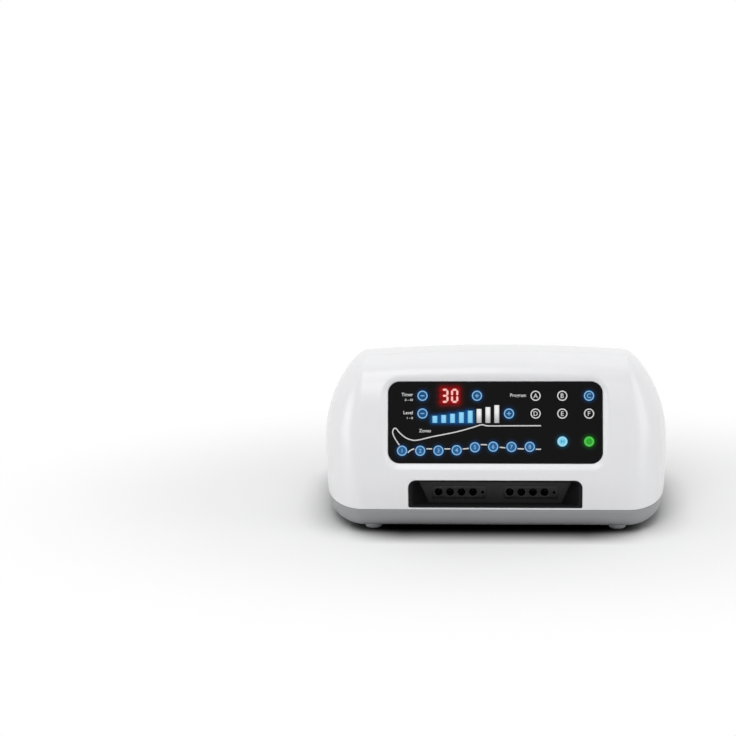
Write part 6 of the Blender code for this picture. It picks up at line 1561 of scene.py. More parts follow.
# Inlet contacts
# Three flat brass contacts, stamped and nickel free, with rounded tips in the socket and solder tags
# behind it.
stamped_brass, tree = fresh("brass_stamped")
place = add(tree, "ShaderNodeTexCoord").outputs["Object"]
stretch = add(tree, "ShaderNodeMapping", {"Vector": place, "Scale": (1.0, 0.08, 1.0)})
drawn = add(tree, "ShaderNodeTexNoise", {"Vector": stretch.outputs[0], "Scale": 1 / (0.25 * MM), "Detail": 2.0})
rough = add(tree, "ShaderNodeMapRange", {"Value": drawn.outputs["Fac"], "To Min": 0.2, "To Max": 0.38})
finish(tree, {"Base Color": tone("D9B568"), "Metallic": 1.0, "Roughness": rough.outputs[0]})

tip = outer - INLET_SOCKET_DEPTH + CONTACT_LENGTH
for name, (x, y) in contact_spots.items():
    steps = [(-CONTACT_EDGE, -INLET_BODY_DEPTH - CONTACT_TAG), (0, -INLET_BODY_DEPTH - CONTACT_TAG + CONTACT_EDGE)]
    contact = plug(f"contact_{name}_blade", box_hole(CONTACT_WIDTH, CONTACT_HEIGHT, 2 * CONTACT_EDGE),
                   steps + rounded_slab(2 * CONTACT_EDGE, 0, tip)[1:])
    moved(contact, (inlet_x + x, y, 0), REAR)
    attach(dress(contact, stamped_brass), "console")
    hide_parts(f"contact_{name}")


# Rocker switch
# A snap-in mains switch: a nylon frame with a bezel that lies on the wall, and a rocker that tilts on
# two pins in it. Its face has a shallow V, with the usual stroke and ring for on and off.
ROCKER_FLANGE = 2.2 * MM
ROCKER_FLANGE_THICKNESS = 1.8 * MM
ROCKER_FRAME_DEPTH = 13.0 * MM
ROCKER_CLEARANCE = 0.35 * MM
ROCKER_PIVOT_DEPTH = 3.0 * MM
ROCKER_THROW = math.radians(8.0)
ROCKER_NOSE = 45.0
ROCKER_HEEL = -20.0
ROCKER_PIN_RADIUS = 1.0 * MM
ROCKER_PIN_LENGTH = 0.9 * MM
ROCKER_PIN_CLEARANCE = 0.15 * MM
ROCKER_SIDE_EDGE = 0.5 * MM
ROCKER_NOSE_EDGE = 0.5 * MM
SWITCH_SIGN_AT = 5.0 * MM
SWITCH_SIGN_SIZE = 2.6 * MM
SWITCH_SIGN_LINE = 0.55 * MM

width, height = ROCKER_WIDTH + 2 * ROCKER_FRAME_WALL, ROCKER_HEIGHT + 2 * ROCKER_FRAME_WALL
top = SEAT + ROCKER_FLANGE_THICKNESS
rocker_end = ROCKER_HEIGHT / 2 - ROCKER_CLEARANCE
depth = ROCKER_PIVOT_DEPTH + ROCKER_CLEARANCE - rocker_end * math.sin(math.radians(ROCKER_HEEL) - ROCKER_THROW)
switch = plug("rocker_frame_moulding", box_hole(width + 2 * ROCKER_FLANGE, height + 2 * ROCKER_FLANGE, 1.2 * MM),
              rounded_slab(INLET_EDGE, SEAT, top))
carve(switch, plug("rocker_body", box_hole(width, height, FOOT_EDGE),
                   [(0, -ROCKER_FRAME_DEPTH), (0, SEAT + ROCKER_FLANGE_THICKNESS / 2)]), "UNION")
rim = [(grow, top + z) for grow, z in round_rim(SEAT, depth + top, OVERRUN, 3)]
carve(switch, plug("rocker_slot", box_hole(ROCKER_WIDTH, ROCKER_HEIGHT, SEAT), rim))
across = Matrix.Translation((0, 0, -ROCKER_PIVOT_DEPTH)) @ Matrix.Rotation(math.pi / 2, 4, "Y")
reach = ROCKER_WIDTH / 2 + ROCKER_PIN_LENGTH
pins = post("pin_holes", ROCKER_PIN_RADIUS + ROCKER_PIN_CLEARANCE, -reach, reach)
pins.data.transform(across)
carve(switch, pins)
moved(switch, (rocker_x, 0, 0), REAR)
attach(dress(switch, black_nylon), "console")
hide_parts("rocker_frame")

nose = arc(rocker_end, ROCKER_HEEL, ROCKER_NOSE - 3, (0, 0), 10)
nose_y, nose_z = nose[-1]
rise = math.tan(ROCKER_THROW)
side = nose + [(nose_y - ROCKER_NOSE_EDGE, nose_z + ROCKER_NOSE_EDGE * 0.25)]
start_y, start_z = side[-1]
side += [(start_y * share, start_z - start_y * (1 - share) * rise) for share in (0.75, 0.5, 0.3)]
middle_z = start_z - start_y * 0.88 * rise
side.append((start_y * 0.12, middle_z))
outline = np.array(side + [(-y, z) for y, z in reversed(side)])
wide = ROCKER_WIDTH / 2 - ROCKER_CLEARANCE
rows = []
for x, shrink in ((-wide, 1.0), (-wide + ROCKER_SIDE_EDGE * 0.3, 0.3), (-wide + ROCKER_SIDE_EDGE, 0.0),
                  (wide - ROCKER_SIDE_EDGE, 0.0), (wide - ROCKER_SIDE_EDGE * 0.3, 0.3), (wide, 1.0)):
    drawn_in = outline * (1 - shrink * ROCKER_SIDE_EDGE / rocker_end)
    rows.append(np.c_[np.full(len(outline), x), drawn_in])
rocker = skin("power_rocker_cap", rows)
reach = ROCKER_WIDTH / 2 + ROCKER_PIN_LENGTH - SEAT
pins = post("rocker_pins", ROCKER_PIN_RADIUS, -reach, reach)
pins.data.transform(Matrix.Rotation(math.pi / 2, 4, "Y"))
carve(rocker, pins, "UNION")
signs = []
for side, sign in ((1, "on"), (-1, "off")):
    if sign == "on":
        obj = ink_bar(sign, (0, -SWITCH_SIGN_SIZE / 2), (0, SWITCH_SIGN_SIZE / 2), SWITCH_SIGN_LINE, 0)
    else:
        obj = ink_ring(sign, (SWITCH_SIGN_SIZE - SWITCH_SIGN_LINE) / 2, SWITCH_SIGN_LINE, (0, 0, 0))
    spot = (0, side * SWITCH_SIGN_AT, start_z - (start_y - SWITCH_SIGN_AT) * rise)
    obj.data.transform(Matrix.Translation(spot) @ Matrix.Rotation(side * ROCKER_THROW, 4, "X"))
    signs.append(obj)
rocker_print = joined("power_rocker_print", signs)
tilted = Matrix.Translation((rocker_x, 0, -ROCKER_PIVOT_DEPTH)) @ Matrix.Rotation(ROCKER_THROW, 4, "X")
for obj, material in ((rocker, black_nylon), (rocker_print, white_ink)):
    obj.data.transform(REAR @ tilted)
    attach(dress(obj, material), "power_rocker")
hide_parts("power_rocker")


# Cooling fan
# A square axial fan behind the grille: a glass-filled frame with three struts to its bearing, and a
# rotor of seven twisted blades. Four screws through the wall hold it.
FAN_SIZE = 50.0 * MM
FAN_THICKNESS = 12.0 * MM
FAN_CORNER = 4.0 * MM
FAN_HUB_RADIUS = 9.0 * MM
FAN_BLADES = 7
FAN_TIP_RADIUS = 21.6 * MM
FAN_BLADE_THICKNESS = 1.2 * MM
FAN_BLADE_CAMBER = 0.5 * MM
FAN_ROOT_CHORD = 8.4 * MM
FAN_TIP_CHORD = 8.0 * MM
FAN_ROOT_PITCH = 42.0
FAN_TIP_PITCH = 34.0
FAN_END_CLEARANCE = 0.8 * MM
FAN_STRUT_WIDTH = 2.4 * MM
FAN_STRUT_THICKNESS = 2.0 * MM
FAN_STRUTS = 3
FAN_SHAFT_RADIUS = 1.5 * MM
FAN_DUCT_ROUND = 0.8 * MM
FAN_HUB_ROUND = 1.2 * MM
FAN_SCREW_HEAD = 3.1 * MM
FAN_SCREW_RISE = 1.4 * MM
FAN_SCREW_LENGTH = 10.0 * MM

fan = plug("fan_frame_moulding", box_hole(FAN_SIZE, FAN_SIZE, FAN_CORNER),
           [(-FOOT_EDGE, -FAN_THICKNESS)] + rounded_slab(FOOT_EDGE, FOOT_EDGE - FAN_THICKNESS, 0))
duct = [(FAN_DUCT_ROUND, -FAN_THICKNESS - OVERRUN), (FAN_DUCT_ROUND, -FAN_THICKNESS), (0, FAN_DUCT_ROUND - FAN_THICKNESS)]
carve(fan, plug("fan_duct", lambda grow: circle(FAN_DUCT_RADIUS + grow, 96),
                duct + round_rim(FAN_DUCT_ROUND, FAN_DUCT_ROUND, OVERRUN)[1:]))
reach = FAN_DUCT_RADIUS + FAN_STRUT_WIDTH
cup_top = FAN_STRUT_THICKNESS - FAN_THICKNESS
strut = block("fan_strut", (reach, FAN_STRUT_WIDTH, FAN_STRUT_THICKNESS),
              (reach / 2, 0, cup_top - FAN_STRUT_THICKNESS / 2))
strut.data.transform(Matrix.Rotation(-math.pi / 2, 4, "Z"))
turn = math.tau / FAN_STRUTS
for i in range(FAN_STRUTS):
    piece = strut.copy()
    piece.data = strut.data.copy()
    bpy.context.scene.collection.objects.link(piece)
    piece.data.transform(Matrix.Rotation(turn * i, 4, "Z"))
    carve(fan, piece, "UNION")
bpy.data.objects.remove(strut, do_unlink=True)
carve(fan, post("fan_cup", FAN_HUB_RADIUS, -FAN_THICKNESS, cup_top, 64), "UNION")
carve(fan, post("fan_bore", FAN_SHAFT_RADIUS + SEAT, -FAN_THICKNESS - OVERRUN, OVERRUN))
for sx in (-1, 1):
    for sy in (-1, 1):
        hole = post("fan_hole", SCREW_HOLE_RADIUS, -FAN_THICKNESS - OVERRUN, OVERRUN)
        carve(fan, moved(hole, (sx * FAN_SCREW_SPAN / 2, sy * FAN_SCREW_SPAN / 2, 0)))
near = -WALL - 2 * SEAT
moved(fan, (fan_x, fan_rise, near), REAR)
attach(dress(fan, black_nylon), "console")
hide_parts("fan_frame")

length = FAN_THICKNESS - FAN_STRUT_THICKNESS - 2 * FAN_END_CLEARANCE
tail = -FAN_STRUT_THICKNESS - FAN_END_CLEARANCE
profile = [(FAN_SHAFT_RADIUS * 0.5, tail), (FAN_SHAFT_RADIUS, tail + SEAT), (FAN_SHAFT_RADIUS, 0), (FAN_HUB_RADIUS, 0)]
profile += arc(FAN_HUB_ROUND, 0, 90, (FAN_HUB_RADIUS - FAN_HUB_ROUND, length - FAN_HUB_ROUND))
rotor = turned("fan_rotor_moulding", profile, steps=64)
rows = []
for share in np.linspace(0, 1, 9):
    radius = FAN_HUB_RADIUS - FAN_BLADE_THICKNESS + share * (FAN_TIP_RADIUS - FAN_HUB_RADIUS + FAN_BLADE_THICKNESS)
    chord = FAN_ROOT_CHORD + share * (FAN_TIP_CHORD - FAN_ROOT_CHORD)
    pitch = math.radians(FAN_ROOT_PITCH + share * (FAN_TIP_PITCH - FAN_ROOT_PITCH))
    along = np.linspace(-1, 1, 9)
    thick = FAN_BLADE_THICKNESS / 2 * np.sqrt(1 - along ** 2 * 0.97)
    camber = FAN_BLADE_CAMBER * (1 - along ** 2)
    lower, upper = np.c_[along * chord / 2, camber - thick], np.c_[along * chord / 2, camber + thick][::-1]
    section = np.concatenate([lower, upper])
    y = section[:, 0] * math.cos(pitch) - section[:, 1] * math.sin(pitch)
    z = section[:, 0] * math.sin(pitch) + section[:, 1] * math.cos(pitch)
    rows.append(np.c_[np.full(len(section), radius), y, z + length / 2])
blades = repeated(skin("fan_blade", rows), black_nylon, FAN_BLADES, turn=math.tau / FAN_BLADES)
carve(rotor, blades, "UNION")
moved(rotor, (fan_x, fan_rise, near - FAN_END_CLEARANCE - length), REAR)
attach(dress(rotor, black_nylon), "fan_rotor")
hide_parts("fan_rotor")

screws = []
for x, y in FAN_SPOTS:
    screw = cross_screw("fan_screw", SCREW_RADIUS, FAN_SCREW_LENGTH, FAN_SCREW_HEAD, FAN_SCREW_RISE)
    screw.data.transform(REAR @ Matrix.Translation((x, y, 0)) @ Matrix.Rotation(math.pi, 4, "X"))
    screws.append(screw)
fan_screws = joined("fan_screws_turned", screws)
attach(dress(fan_screws, zinc_steel), "console")


# Air manifold
# A bar of die-cast aluminium with eight spouts bored for the ports' nipples and a barbed stub at its
# end, screwed on two posts of the tub.
MANIFOLD_DEPTH = 24.0 * MM
SPOUT_WALL = 1.2 * MM
OUTLET_RADIUS = 3.4 * MM
OUTLET_LENGTH = 9.0 * MM
BARB_DEPTH = 0.5 * MM
BARB_PITCH = 2.4 * MM
CAST_EDGE = 0.8 * MM

# Fine grain and soft gloss of a tumbled casting
cast_aluminium, tree = fresh("aluminium_die_cast")
place = add(tree, "ShaderNodeTexCoord").outputs["Object"]
grit = add(tree, "ShaderNodeTexNoise", {"Vector": place, "Scale": 1 / (0.5 * MM), "Detail": 3.0})
flow = add(tree, "ShaderNodeTexNoise", {"Vector": place, "Scale": 1 / (16 * MM), "Detail": 2.0})
colour = add(tree, "ShaderNodeMix", {0: flow.outputs["Fac"], 6: tone("A5A7AA"), 7: tone("BCBEC0")}, data_type="RGBA")
rough = add(tree, "ShaderNodeMapRange", {"Value": grit.outputs["Fac"], "To Min": 0.36, "To Max": 0.54})
bump = add(tree, "ShaderNodeBump", {"Strength": 0.25, "Distance": 0.04 * MM, "Height": grit.outputs["Fac"]})
finish(tree, {"Base Color": colour.outputs[2], "Metallic": 1.0, "Roughness": rough.outputs[0],
              "Normal": bump.outputs[0]})


def brick(name, low, high, corner, edge):
    """A block between two corners of its box, with rounded upright corners and broken edges."""
    size = high - low
    steps = [(-edge, 0), (0, edge), (0, size.z - edge), (-edge, size.z)]
    middle = (low + high) / 2
    return moved(plug(name, box_hole(size.x, size.y, corner), steps), (middle.x, middle.y, low.z))


def barbed(name, low, high):
    """A round stub for a hose, from low to high, with barbs at its open end."""
    profile = [(OUTLET_RADIUS, low)]
    for i in (2, 1):
        profile += [(OUTLET_RADIUS, high - i * BARB_PITCH - SEAT), (OUTLET_RADIUS - BARB_DEPTH, high - i * BARB_PITCH)]
    return turned(name, profile + [(OUTLET_RADIUS, high - BARB_PITCH / 2), (OUTLET_RADIUS - BARB_DEPTH, high)])


def rest_of(obj, material, node):
    """Dresses a piece that stands for a node of the console and stays with it."""
    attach(dress(obj, material), "console")
    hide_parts(node)


low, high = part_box("valve_manifold")
inlet_end, spout_end = low.x, low.y
port_height = (low.z + high.z) / 2
face = high.y - MANIFOLD_DEPTH
manifold_y = (face + high.y) / 2
manifold = brick("valve_manifold_casting", Vector((inlet_end + OUTLET_LENGTH, face, low.z)), high, 1.5 * MM, CAST_EDGE)
forward = Matrix.Rotation(math.pi / 2, 4, "X")
for side in (-1, 1):
    start = (side * PORT_BLOCK_X + PORT_FIRST, spout_end, port_height)
    outside = NIPPLE_RADIUS + SEAT + SPOUT_WALL
    spout = turned("spout", [(outside, spout_end - face - SPOUT_WALL), (outside, -SEAT), (outside - SEAT, 0)])
    bore = post("spout_bore", NIPPLE_RADIUS + SEAT, spout_end - face, OVERRUN)
    for obj, operation in ((spout, "UNION"), (bore, "DIFFERENCE")):
        obj.data.transform(forward)
        row = repeated(obj, cast_aluminium, PORTS, (PORT_PITCH, 0, 0))
        carve(manifold, moved(row, start), operation)
stub = barbed("manifold_inlet", -OUTLET_LENGTH, OUTLET_LENGTH)
stub.data.transform(Matrix.Rotation(-math.pi / 2, 4, "Y"))
carve(manifold, moved(stub, (inlet_end + OUTLET_LENGTH, manifold_y, port_height)), "UNION")
rest_of(manifold, cast_aluminium, "valve_manifold")


# Valve banks
# Two blocks of four solenoid valves: a nylon base on the manifold, and on it a coil over each port's
# passage, wound in tape between two flanges with a steel core's end on top.
VALVE_BASE = 9.0 * MM
VALVE_COIL_RADIUS = 4.4 * MM
VALVE_FLANGE = 1.2 * MM
VALVE_TAPE_IN = 0.5 * MM
VALVE_CORE_RADIUS = 1.6 * MM
WIRE_PITCH = 0.9 * MM
WAVE_LENGTH = math.pi / 10

# Matt tape over the winding: the wires are finer than this and are drawn coarse enough to show
coil_tape, tree = fresh("polyester_tape_wound")
place = add(tree, "ShaderNodeTexCoord").outputs["Object"]
turns = add(tree, "ShaderNodeTexWave", {"Vector": place, "Scale": WAVE_LENGTH / WIRE_PITCH, "Distortion": 0.6, "Detail": 1.0},
            bands_direction="Z")
age = add(tree, "ShaderNodeTexNoise", {"Vector": place, "Scale": 1 / (5 * MM), "Detail": 2.0})
colour = add(tree, "ShaderNodeMix", {0: age.outputs["Fac"], 6: tone("B98A2E"), 7: tone("C99A3C")}, data_type="RGBA")
bump = add(tree, "ShaderNodeBump", {"Strength": 0.5, "Distance": 0.1 * MM, "Height": turns.outputs["Fac"]})
finish(tree, {"Base Color": colour.outputs[2], "Roughness": 0.42, "Normal": bump.outputs[0]})

for side, where in ((-1, "left"), (1, "right")):
    low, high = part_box(f"valve_bank_{where}")
    top, tall = low.z + VALVE_BASE, high.z - low.z - VALVE_BASE
    base = brick(f"valve_bank_{where}_base", low, Vector((high.x, high.y, top)), 1.0 * MM, 0.5 * MM)
    first = (side * PORT_BLOCK_X + PORT_FIRST, (low.y + high.y) / 2, top)
    flange, wound = VALVE_COIL_RADIUS, VALVE_COIL_RADIUS - VALVE_TAPE_IN
    spool_profile = [(flange, -SEAT), (flange, VALVE_FLANGE), (wound, VALVE_FLANGE),
                     (wound, tall - SEAT - VALVE_FLANGE), (flange, tall - SEAT - VALVE_FLANGE)]
    spool_profile += arc(SEAT, 0, 90, (flange - SEAT, tall - 2 * SEAT), 3)
    spools = repeated(turned("spool", spool_profile), black_nylon, PORTS, (PORT_PITCH, 0, 0))
    carve(base, moved(spools, first), "UNION")
    rest_of(base, black_nylon, f"valve_bank_{where}")
    lift = VALVE_FLANGE + SEAT / 2
    tape_profile = [(wound - SEAT, lift), (wound + SEAT / 2, lift + SEAT), (wound + SEAT, tall / 2),
                    (wound + SEAT / 2, tall - lift - 2 * SEAT), (wound - SEAT, tall - lift - SEAT)]
    tape = moved(repeated(turned("tape", tape_profile), coil_tape, PORTS, (PORT_PITCH, 0, 0)), first)
    tape.name = f"valve_bank_{where}_tape"
    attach(dress(tape, coil_tape), "console")
    core_profile = [(VALVE_CORE_RADIUS, tall - 3 * SEAT), (VALVE_CORE_RADIUS, tall - SEAT / 2),
                    (VALVE_CORE_RADIUS - SEAT / 2, tall)]
    cores = moved(repeated(turned("core", core_profile), zinc_steel, PORTS, (PORT_PITCH, 0, 0)), first)
    cores.name = f"valve_bank_{where}_cores"
    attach(dress(cores, zinc_steel), "console")


# Compressor
# A twin-headed air pump: a cast body with a round ribbed head at each end and a barbed outlet, on
# four waisted rubber mounts.
COMPRESSOR_LENGTH = 118.0 * MM
COMPRESSOR_WIDTH = 72.0 * MM
COMPRESSOR_CORNER = 6.0 * MM
COMPRESSOR_EDGE = 2.0 * MM
COMPRESSOR_HEAD_RADIUS = 26.0 * MM
COMPRESSOR_OUTLET_END = 19.0 * MM
COMPRESSOR_OUTLET_RISE = 14.0 * MM
HEAD_RIB = 1.5 * MM
HEAD_RIB_DEPTH = 1.6 * MM
HEAD_RIBS = 3
MOUNT_RADIUS = 7.0 * MM
MOUNT_WAIST = 5.4 * MM

low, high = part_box("compressor")
pump_x, pump_y, pump_z = (low.x + high.x) / 2, high.y - COMPRESSOR_WIDTH / 2, (low.z + high.z) / 2
lying = Matrix.Translation((pump_x, pump_y, pump_z)) @ Matrix.Rotation(math.pi / 2, 4, "Y")
half = COMPRESSOR_LENGTH / 2
rows = [(-COMPRESSOR_EDGE, -half), (0, COMPRESSOR_EDGE - half), (0, half - COMPRESSOR_EDGE), (-COMPRESSOR_EDGE, half)]
pump = plug("compressor_casting", box_hole(high.z - low.z, COMPRESSOR_WIDTH, COMPRESSOR_CORNER), rows)
reach = (high.x - low.x) / 2
side = arc(CAST_EDGE, 90, 0, (COMPRESSOR_HEAD_RADIUS - CAST_EDGE, reach - CAST_EDGE), 4)
for i in range(HEAD_RIBS):
    top = reach - CAST_EDGE - HEAD_RIB - 2 * HEAD_RIB * i
    for depth, height in ((0, top), (HEAD_RIB_DEPTH, top), (HEAD_RIB_DEPTH, top - HEAD_RIB), (0, top - HEAD_RIB)):
        side.append((COMPRESSOR_HEAD_RADIUS - depth, height))
heads = turned("compressor_heads", [(r, -z) for r, z in side] + side[::-1], steps=72)
carve(pump, heads, "UNION")
pump.data.transform(lying)
outlet = barbed("compressor_outlet", -OUTLET_LENGTH, OUTLET_LENGTH)
outlet.data.transform(forward)
outlet_spot = Vector((pump_x - half + COMPRESSOR_OUTLET_END, pump_y - COMPRESSOR_WIDTH / 2,
                      pump_z + COMPRESSOR_OUTLET_RISE))
carve(pump, moved(outlet, outlet_spot), "UNION")
rest_of(pump, cast_aluminium, "compressor")

# Black rubber with a dull bloom on it
black_rubber, tree = fresh("rubber_moulded_black")
place = add(tree, "ShaderNodeTexCoord").outputs["Object"]
bloom = add(tree, "ShaderNodeTexNoise", {"Vector": place, "Scale": 1 / (3 * MM), "Detail": 4.0})
colour = add(tree, "ShaderNodeMix", {0: bloom.outputs["Fac"], 6: tone("1B1B1C"), 7: tone("2A2A2B")}, data_type="RGBA")
rough = add(tree, "ShaderNodeMapRange", {"Value": bloom.outputs["Fac"], "To Min": 0.6, "To Max": 0.82})
finish(tree, {"Base Color": colour.outputs[2], "Roughness": rough.outputs[0]})

for corner in CORNERS:
    low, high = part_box(f"mount_{corner}")
    tall = high.z - low.z
    profile = [(MOUNT_WAIST + (MOUNT_RADIUS - MOUNT_WAIST) * (2 * share - 1) ** 2, tall * share)
               for share in np.linspace(0, 1, 15)]
    mount = moved(turned(f"mount_{corner}_pad", profile), ((low.x + high.x) / 2, (low.y + high.y) / 2, low.z))
    rest_of(mount, black_rubber, f"mount_{corner}")


# Supply tube
# An extruded silicone tube that runs from the compressor's outlet round to the manifold's stub and
# holds on by its own grip.
SUPPLY_RADIUS = 3.4 * MM
SUPPLY_LEAD = 20.0 * MM

# Milky and slightly tacky: even, with faint draw lines
clear_silicone, tree = fresh("silicone_extruded_milky")
place = add(tree, "ShaderNodeTexCoord").outputs["Object"]
haze = add(tree, "ShaderNodeTexNoise", {"Vector": place, "Scale": 1 / (4 * MM), "Detail": 2.0})
colour = add(tree, "ShaderNodeMix", {0: haze.outputs["Fac"], 6: tone("C4CBCB"), 7: tone("D6DBDA")}, data_type="RGBA")
rough = add(tree, "ShaderNodeMapRange", {"Value": haze.outputs["Fac"], "To Min": 0.32, "To Max": 0.46})
finish(tree, {"Base Color": colour.outputs[2], "Roughness": rough.outputs[0], "Subsurface Weight": 0.1})


def tube_tree():
    """A tree that sweeps a round tube along its curve: radius, sides and material are its inputs."""
    tree = bpy.data.node_groups.new("swept_tube", "GeometryNodeTree")
    tree.interface.new_socket("Curve", in_out="INPUT", socket_type="NodeSocketGeometry")
    for label, kind in (("Radius", "Float"), ("Sides", "Int"), ("Material", "Material")):
        tree.interface.new_socket(label, in_out="INPUT", socket_type=f"NodeSocket{kind}")
    tree.interface.new_socket("Mesh", in_out="OUTPUT", socket_type="NodeSocketGeometry")
    source = tree.nodes.new("NodeGroupInput")
    ring = add(tree, "GeometryNodeCurvePrimitiveCircle", {"Radius": source.outputs["Radius"],
                                                          "Resolution": source.outputs["Sides"]})
    swept = add(tree, "GeometryNodeCurveToMesh", {"Curve": source.outputs["Curve"],
                                                  "Profile Curve": ring.outputs["Curve"], "Fill Caps": True})
    solid = add(tree, "GeometryNodeRealizeInstances", {"Geometry": swept.outputs["Mesh"]})
    dressed = add(tree, "GeometryNodeSetMaterial", {"Geometry": solid.outputs["Geometry"],
                                                    "Material": source.outputs["Material"]})
    target = tree.nodes.new("NodeGroupOutput")
    tree.links.new(dressed.outputs["Geometry"], target.inputs["Mesh"])
    return tree


start = outlet_spot + Vector((0, -OUTLET_LENGTH - SEAT, 0))
end = Vector((inlet_end - SEAT, manifold_y, port_height))
out, back = Vector((0, -1, 0)), Vector((-1, 0, 0))
leave, arrive = start + out * SUPPLY_RADIUS, end + back * SUPPLY_RADIUS
curve = bpy.data.curves.new("supply_route", "CURVE")
curve.dimensions = "3D"
curve.resolution_u = 24
spline = curve.splines.new("BEZIER")
spline.bezier_points.add(3)
for point, spot, before, after in zip(
        spline.bezier_points, (start, leave, arrive, end),
        (start, leave, arrive + back * SUPPLY_LEAD, end), (start, leave + out * SUPPLY_LEAD, arrive, end)):
    point.co, point.handle_left, point.handle_right = spot, before, after
tube = bpy.data.objects.new("supply_tube_extruded", curve)
bpy.context.scene.collection.objects.link(tube)
modifier = tube.modifiers.new("sweep", "NODES")
modifier.node_group = tube_tree()
sizes = {"Radius": SUPPLY_RADIUS, "Sides": 32, "Material": clear_silicone}
for item in modifier.node_group.interface.items_tree:
    if item.in_out == "INPUT" and item.name in sizes:
        modifier[item.identifier] = sizes[item.name]
evaluated = tube.evaluated_get(bpy.context.evaluated_depsgraph_get())
mesh = bpy.data.meshes.new_from_object(evaluated)
bpy.data.objects.remove(tube, do_unlink=True)
tube = bpy.data.objects.new("supply_tube_extruded", mesh)
bpy.context.scene.collection.objects.link(tube)
rest_of(tube, clear_silicone, "supply_tube")


# Boards in the tub
# Two glass-epoxy boards on moulded posts: the mains board with two capacitors and the transformer, and
# the control board with its processor and the ribbon's header.
BOARD_THICKNESS = 1.6 * MM
CAPACITOR_RADIUS = 8.0 * MM
CAPACITOR_PITCH = 22.0 * MM
CAPACITOR_NECK = 0.5 * MM
CONNECTOR_WIDTH = 18.0 * MM
CONNECTOR_DEPTH = 6.0 * MM
CHIP_SIZE = 14.0 * MM
CHIP_HEIGHT = 2.0 * MM
CHIP_LEGS = 10
CHIP_LEG_PITCH = 1.2 * MM
CHIP_LEG = (0.5 * MM, 1.6 * MM, 0.3 * MM)
TRACK_PITCH = 2.54 * MM

# Green lacquer with paler copper tracks under it and tinned solder points
board_lacquer, tree = fresh("glass_epoxy_board_lacquered")
place = add(tree, "ShaderNodeTexCoord").outputs["Object"]
tracks = add(tree, "ShaderNodeTexBrick", {"Vector": place, "Scale": 1 / TRACK_PITCH, "Color1": tone("1E5A35"),
                                          "Color2": tone("236540"), "Mortar": tone("3E8A55"),
                                          "Mortar Size": 0.1, "Brick Width": 3.0, "Row Height": 1.0})
points = add(tree, "ShaderNodeTexVoronoi", {"Vector": place, "Scale": 1 / (2 * TRACK_PITCH), "Randomness": 0.4})
tinned = add(tree, "ShaderNodeMapRange", {"Value": points.outputs["Distance"], "From Min": 0.11, "From Max": 0.13,
                                          "To Min": 1.0, "To Max": 0.0})
colour = add(tree, "ShaderNodeMix", {0: tinned.outputs[0], 6: tracks.outputs["Color"], 7: tone("C9CBCC")},
             data_type="RGBA")
finish(tree, {"Base Color": colour.outputs[2], "Metallic": tinned.outputs[0], "Roughness": 0.32})

# Shrunk sleeve of a capacitor, glossy with faint sink marks
sleeve, tree = fresh("vinyl_sleeve_shrunk")
place = add(tree, "ShaderNodeTexCoord").outputs["Object"]
shrink = add(tree, "ShaderNodeTexNoise", {"Vector": place, "Scale": 1 / (7 * MM), "Detail": 1.0})
colour = add(tree, "ShaderNodeMix", {0: shrink.outputs["Fac"], 6: tone("1C2536"), 7: tone("26314A")}, data_type="RGBA")
bump = add(tree, "ShaderNodeBump", {"Strength": 0.2, "Distance": 0.2 * MM, "Height": shrink.outputs["Fac"]})
finish(tree, {"Base Color": colour.outputs[2], "Roughness": 0.22, "Normal": bump.outputs[0]})

low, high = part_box("power_board")
deck = low.z + BOARD_THICKNESS
mains = brick("power_board_laminate", low, Vector((high.x, high.y, deck)), 1.0 * MM, 0.1 * MM)
rest_of(mains, board_lacquer, "power_board")
tall = high.z - deck
can_profile = arc(CAST_EDGE, -90, 0, (CAPACITOR_RADIUS - CAST_EDGE, CAST_EDGE), 3)
can_profile += [(CAPACITOR_RADIUS, 2 * MM), (CAPACITOR_RADIUS - CAPACITOR_NECK, 2.6 * MM), (CAPACITOR_RADIUS, 3.2 * MM)]
can_profile += arc(CAST_EDGE, 0, 90, (CAPACITOR_RADIUS - CAST_EDGE, tall - CAST_EDGE), 3)
spot = (low.x + POST_EDGE + 2 * CAPACITOR_RADIUS, (low.y + high.y - CAPACITOR_PITCH) / 2, deck)
cans = moved(repeated(turned("can", can_profile), sleeve, 2, (0, CAPACITOR_PITCH, 0)), spot)
cans.name = "power_board_capacitors"
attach(dress(cans, sleeve), "console")

low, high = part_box("control_board")
middle = (low + high) / 2
control = brick("control_board_laminate", low, Vector((high.x, high.y, deck)), 1.0 * MM, 0.1 * MM)
rest_of(control, board_lacquer, "control_board")
ribbon_x = sum(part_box("ribbon_cable"), Vector()).x / 2
half = Vector((CONNECTOR_WIDTH / 2, CONNECTOR_DEPTH / 2, 0))
foot = Vector((ribbon_x, middle.y, deck))
header = brick("control_board_header", foot - half, foot + half + Vector((0, 0, high.z - deck)), 0.5 * MM, SEAT)
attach(dress(header, black_nylon), "console")
chip_spot = Vector((middle.x + CHIP_SIZE / 2, middle.y + CHIP_SIZE, deck))
half = Vector((CHIP_SIZE / 2, CHIP_SIZE / 2, 0))
chip = brick("control_board_processor", chip_spot - half, chip_spot + half + Vector((0, 0, CHIP_HEIGHT)), SEAT, SEAT)
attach(dress(chip, black_nylon), "console")
legs = []
for i in range(4):
    first = -CHIP_LEG_PITCH * (CHIP_LEGS - 1) / 2
    leg = block("leg", CHIP_LEG, (first, CHIP_SIZE / 2 + CHIP_LEG[1] / 4, CHIP_LEG[2] / 2))
    row = repeated(leg, zinc_steel, CHIP_LEGS, (CHIP_LEG_PITCH, 0, 0))
    row.data.transform(Matrix.Translation(chip_spot) @ Matrix.Rotation(math.pi / 2 * i, 4, "Z"))
    legs.append(row)
legs = joined("control_board_legs", legs)
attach(dress(legs, zinc_steel), "console")


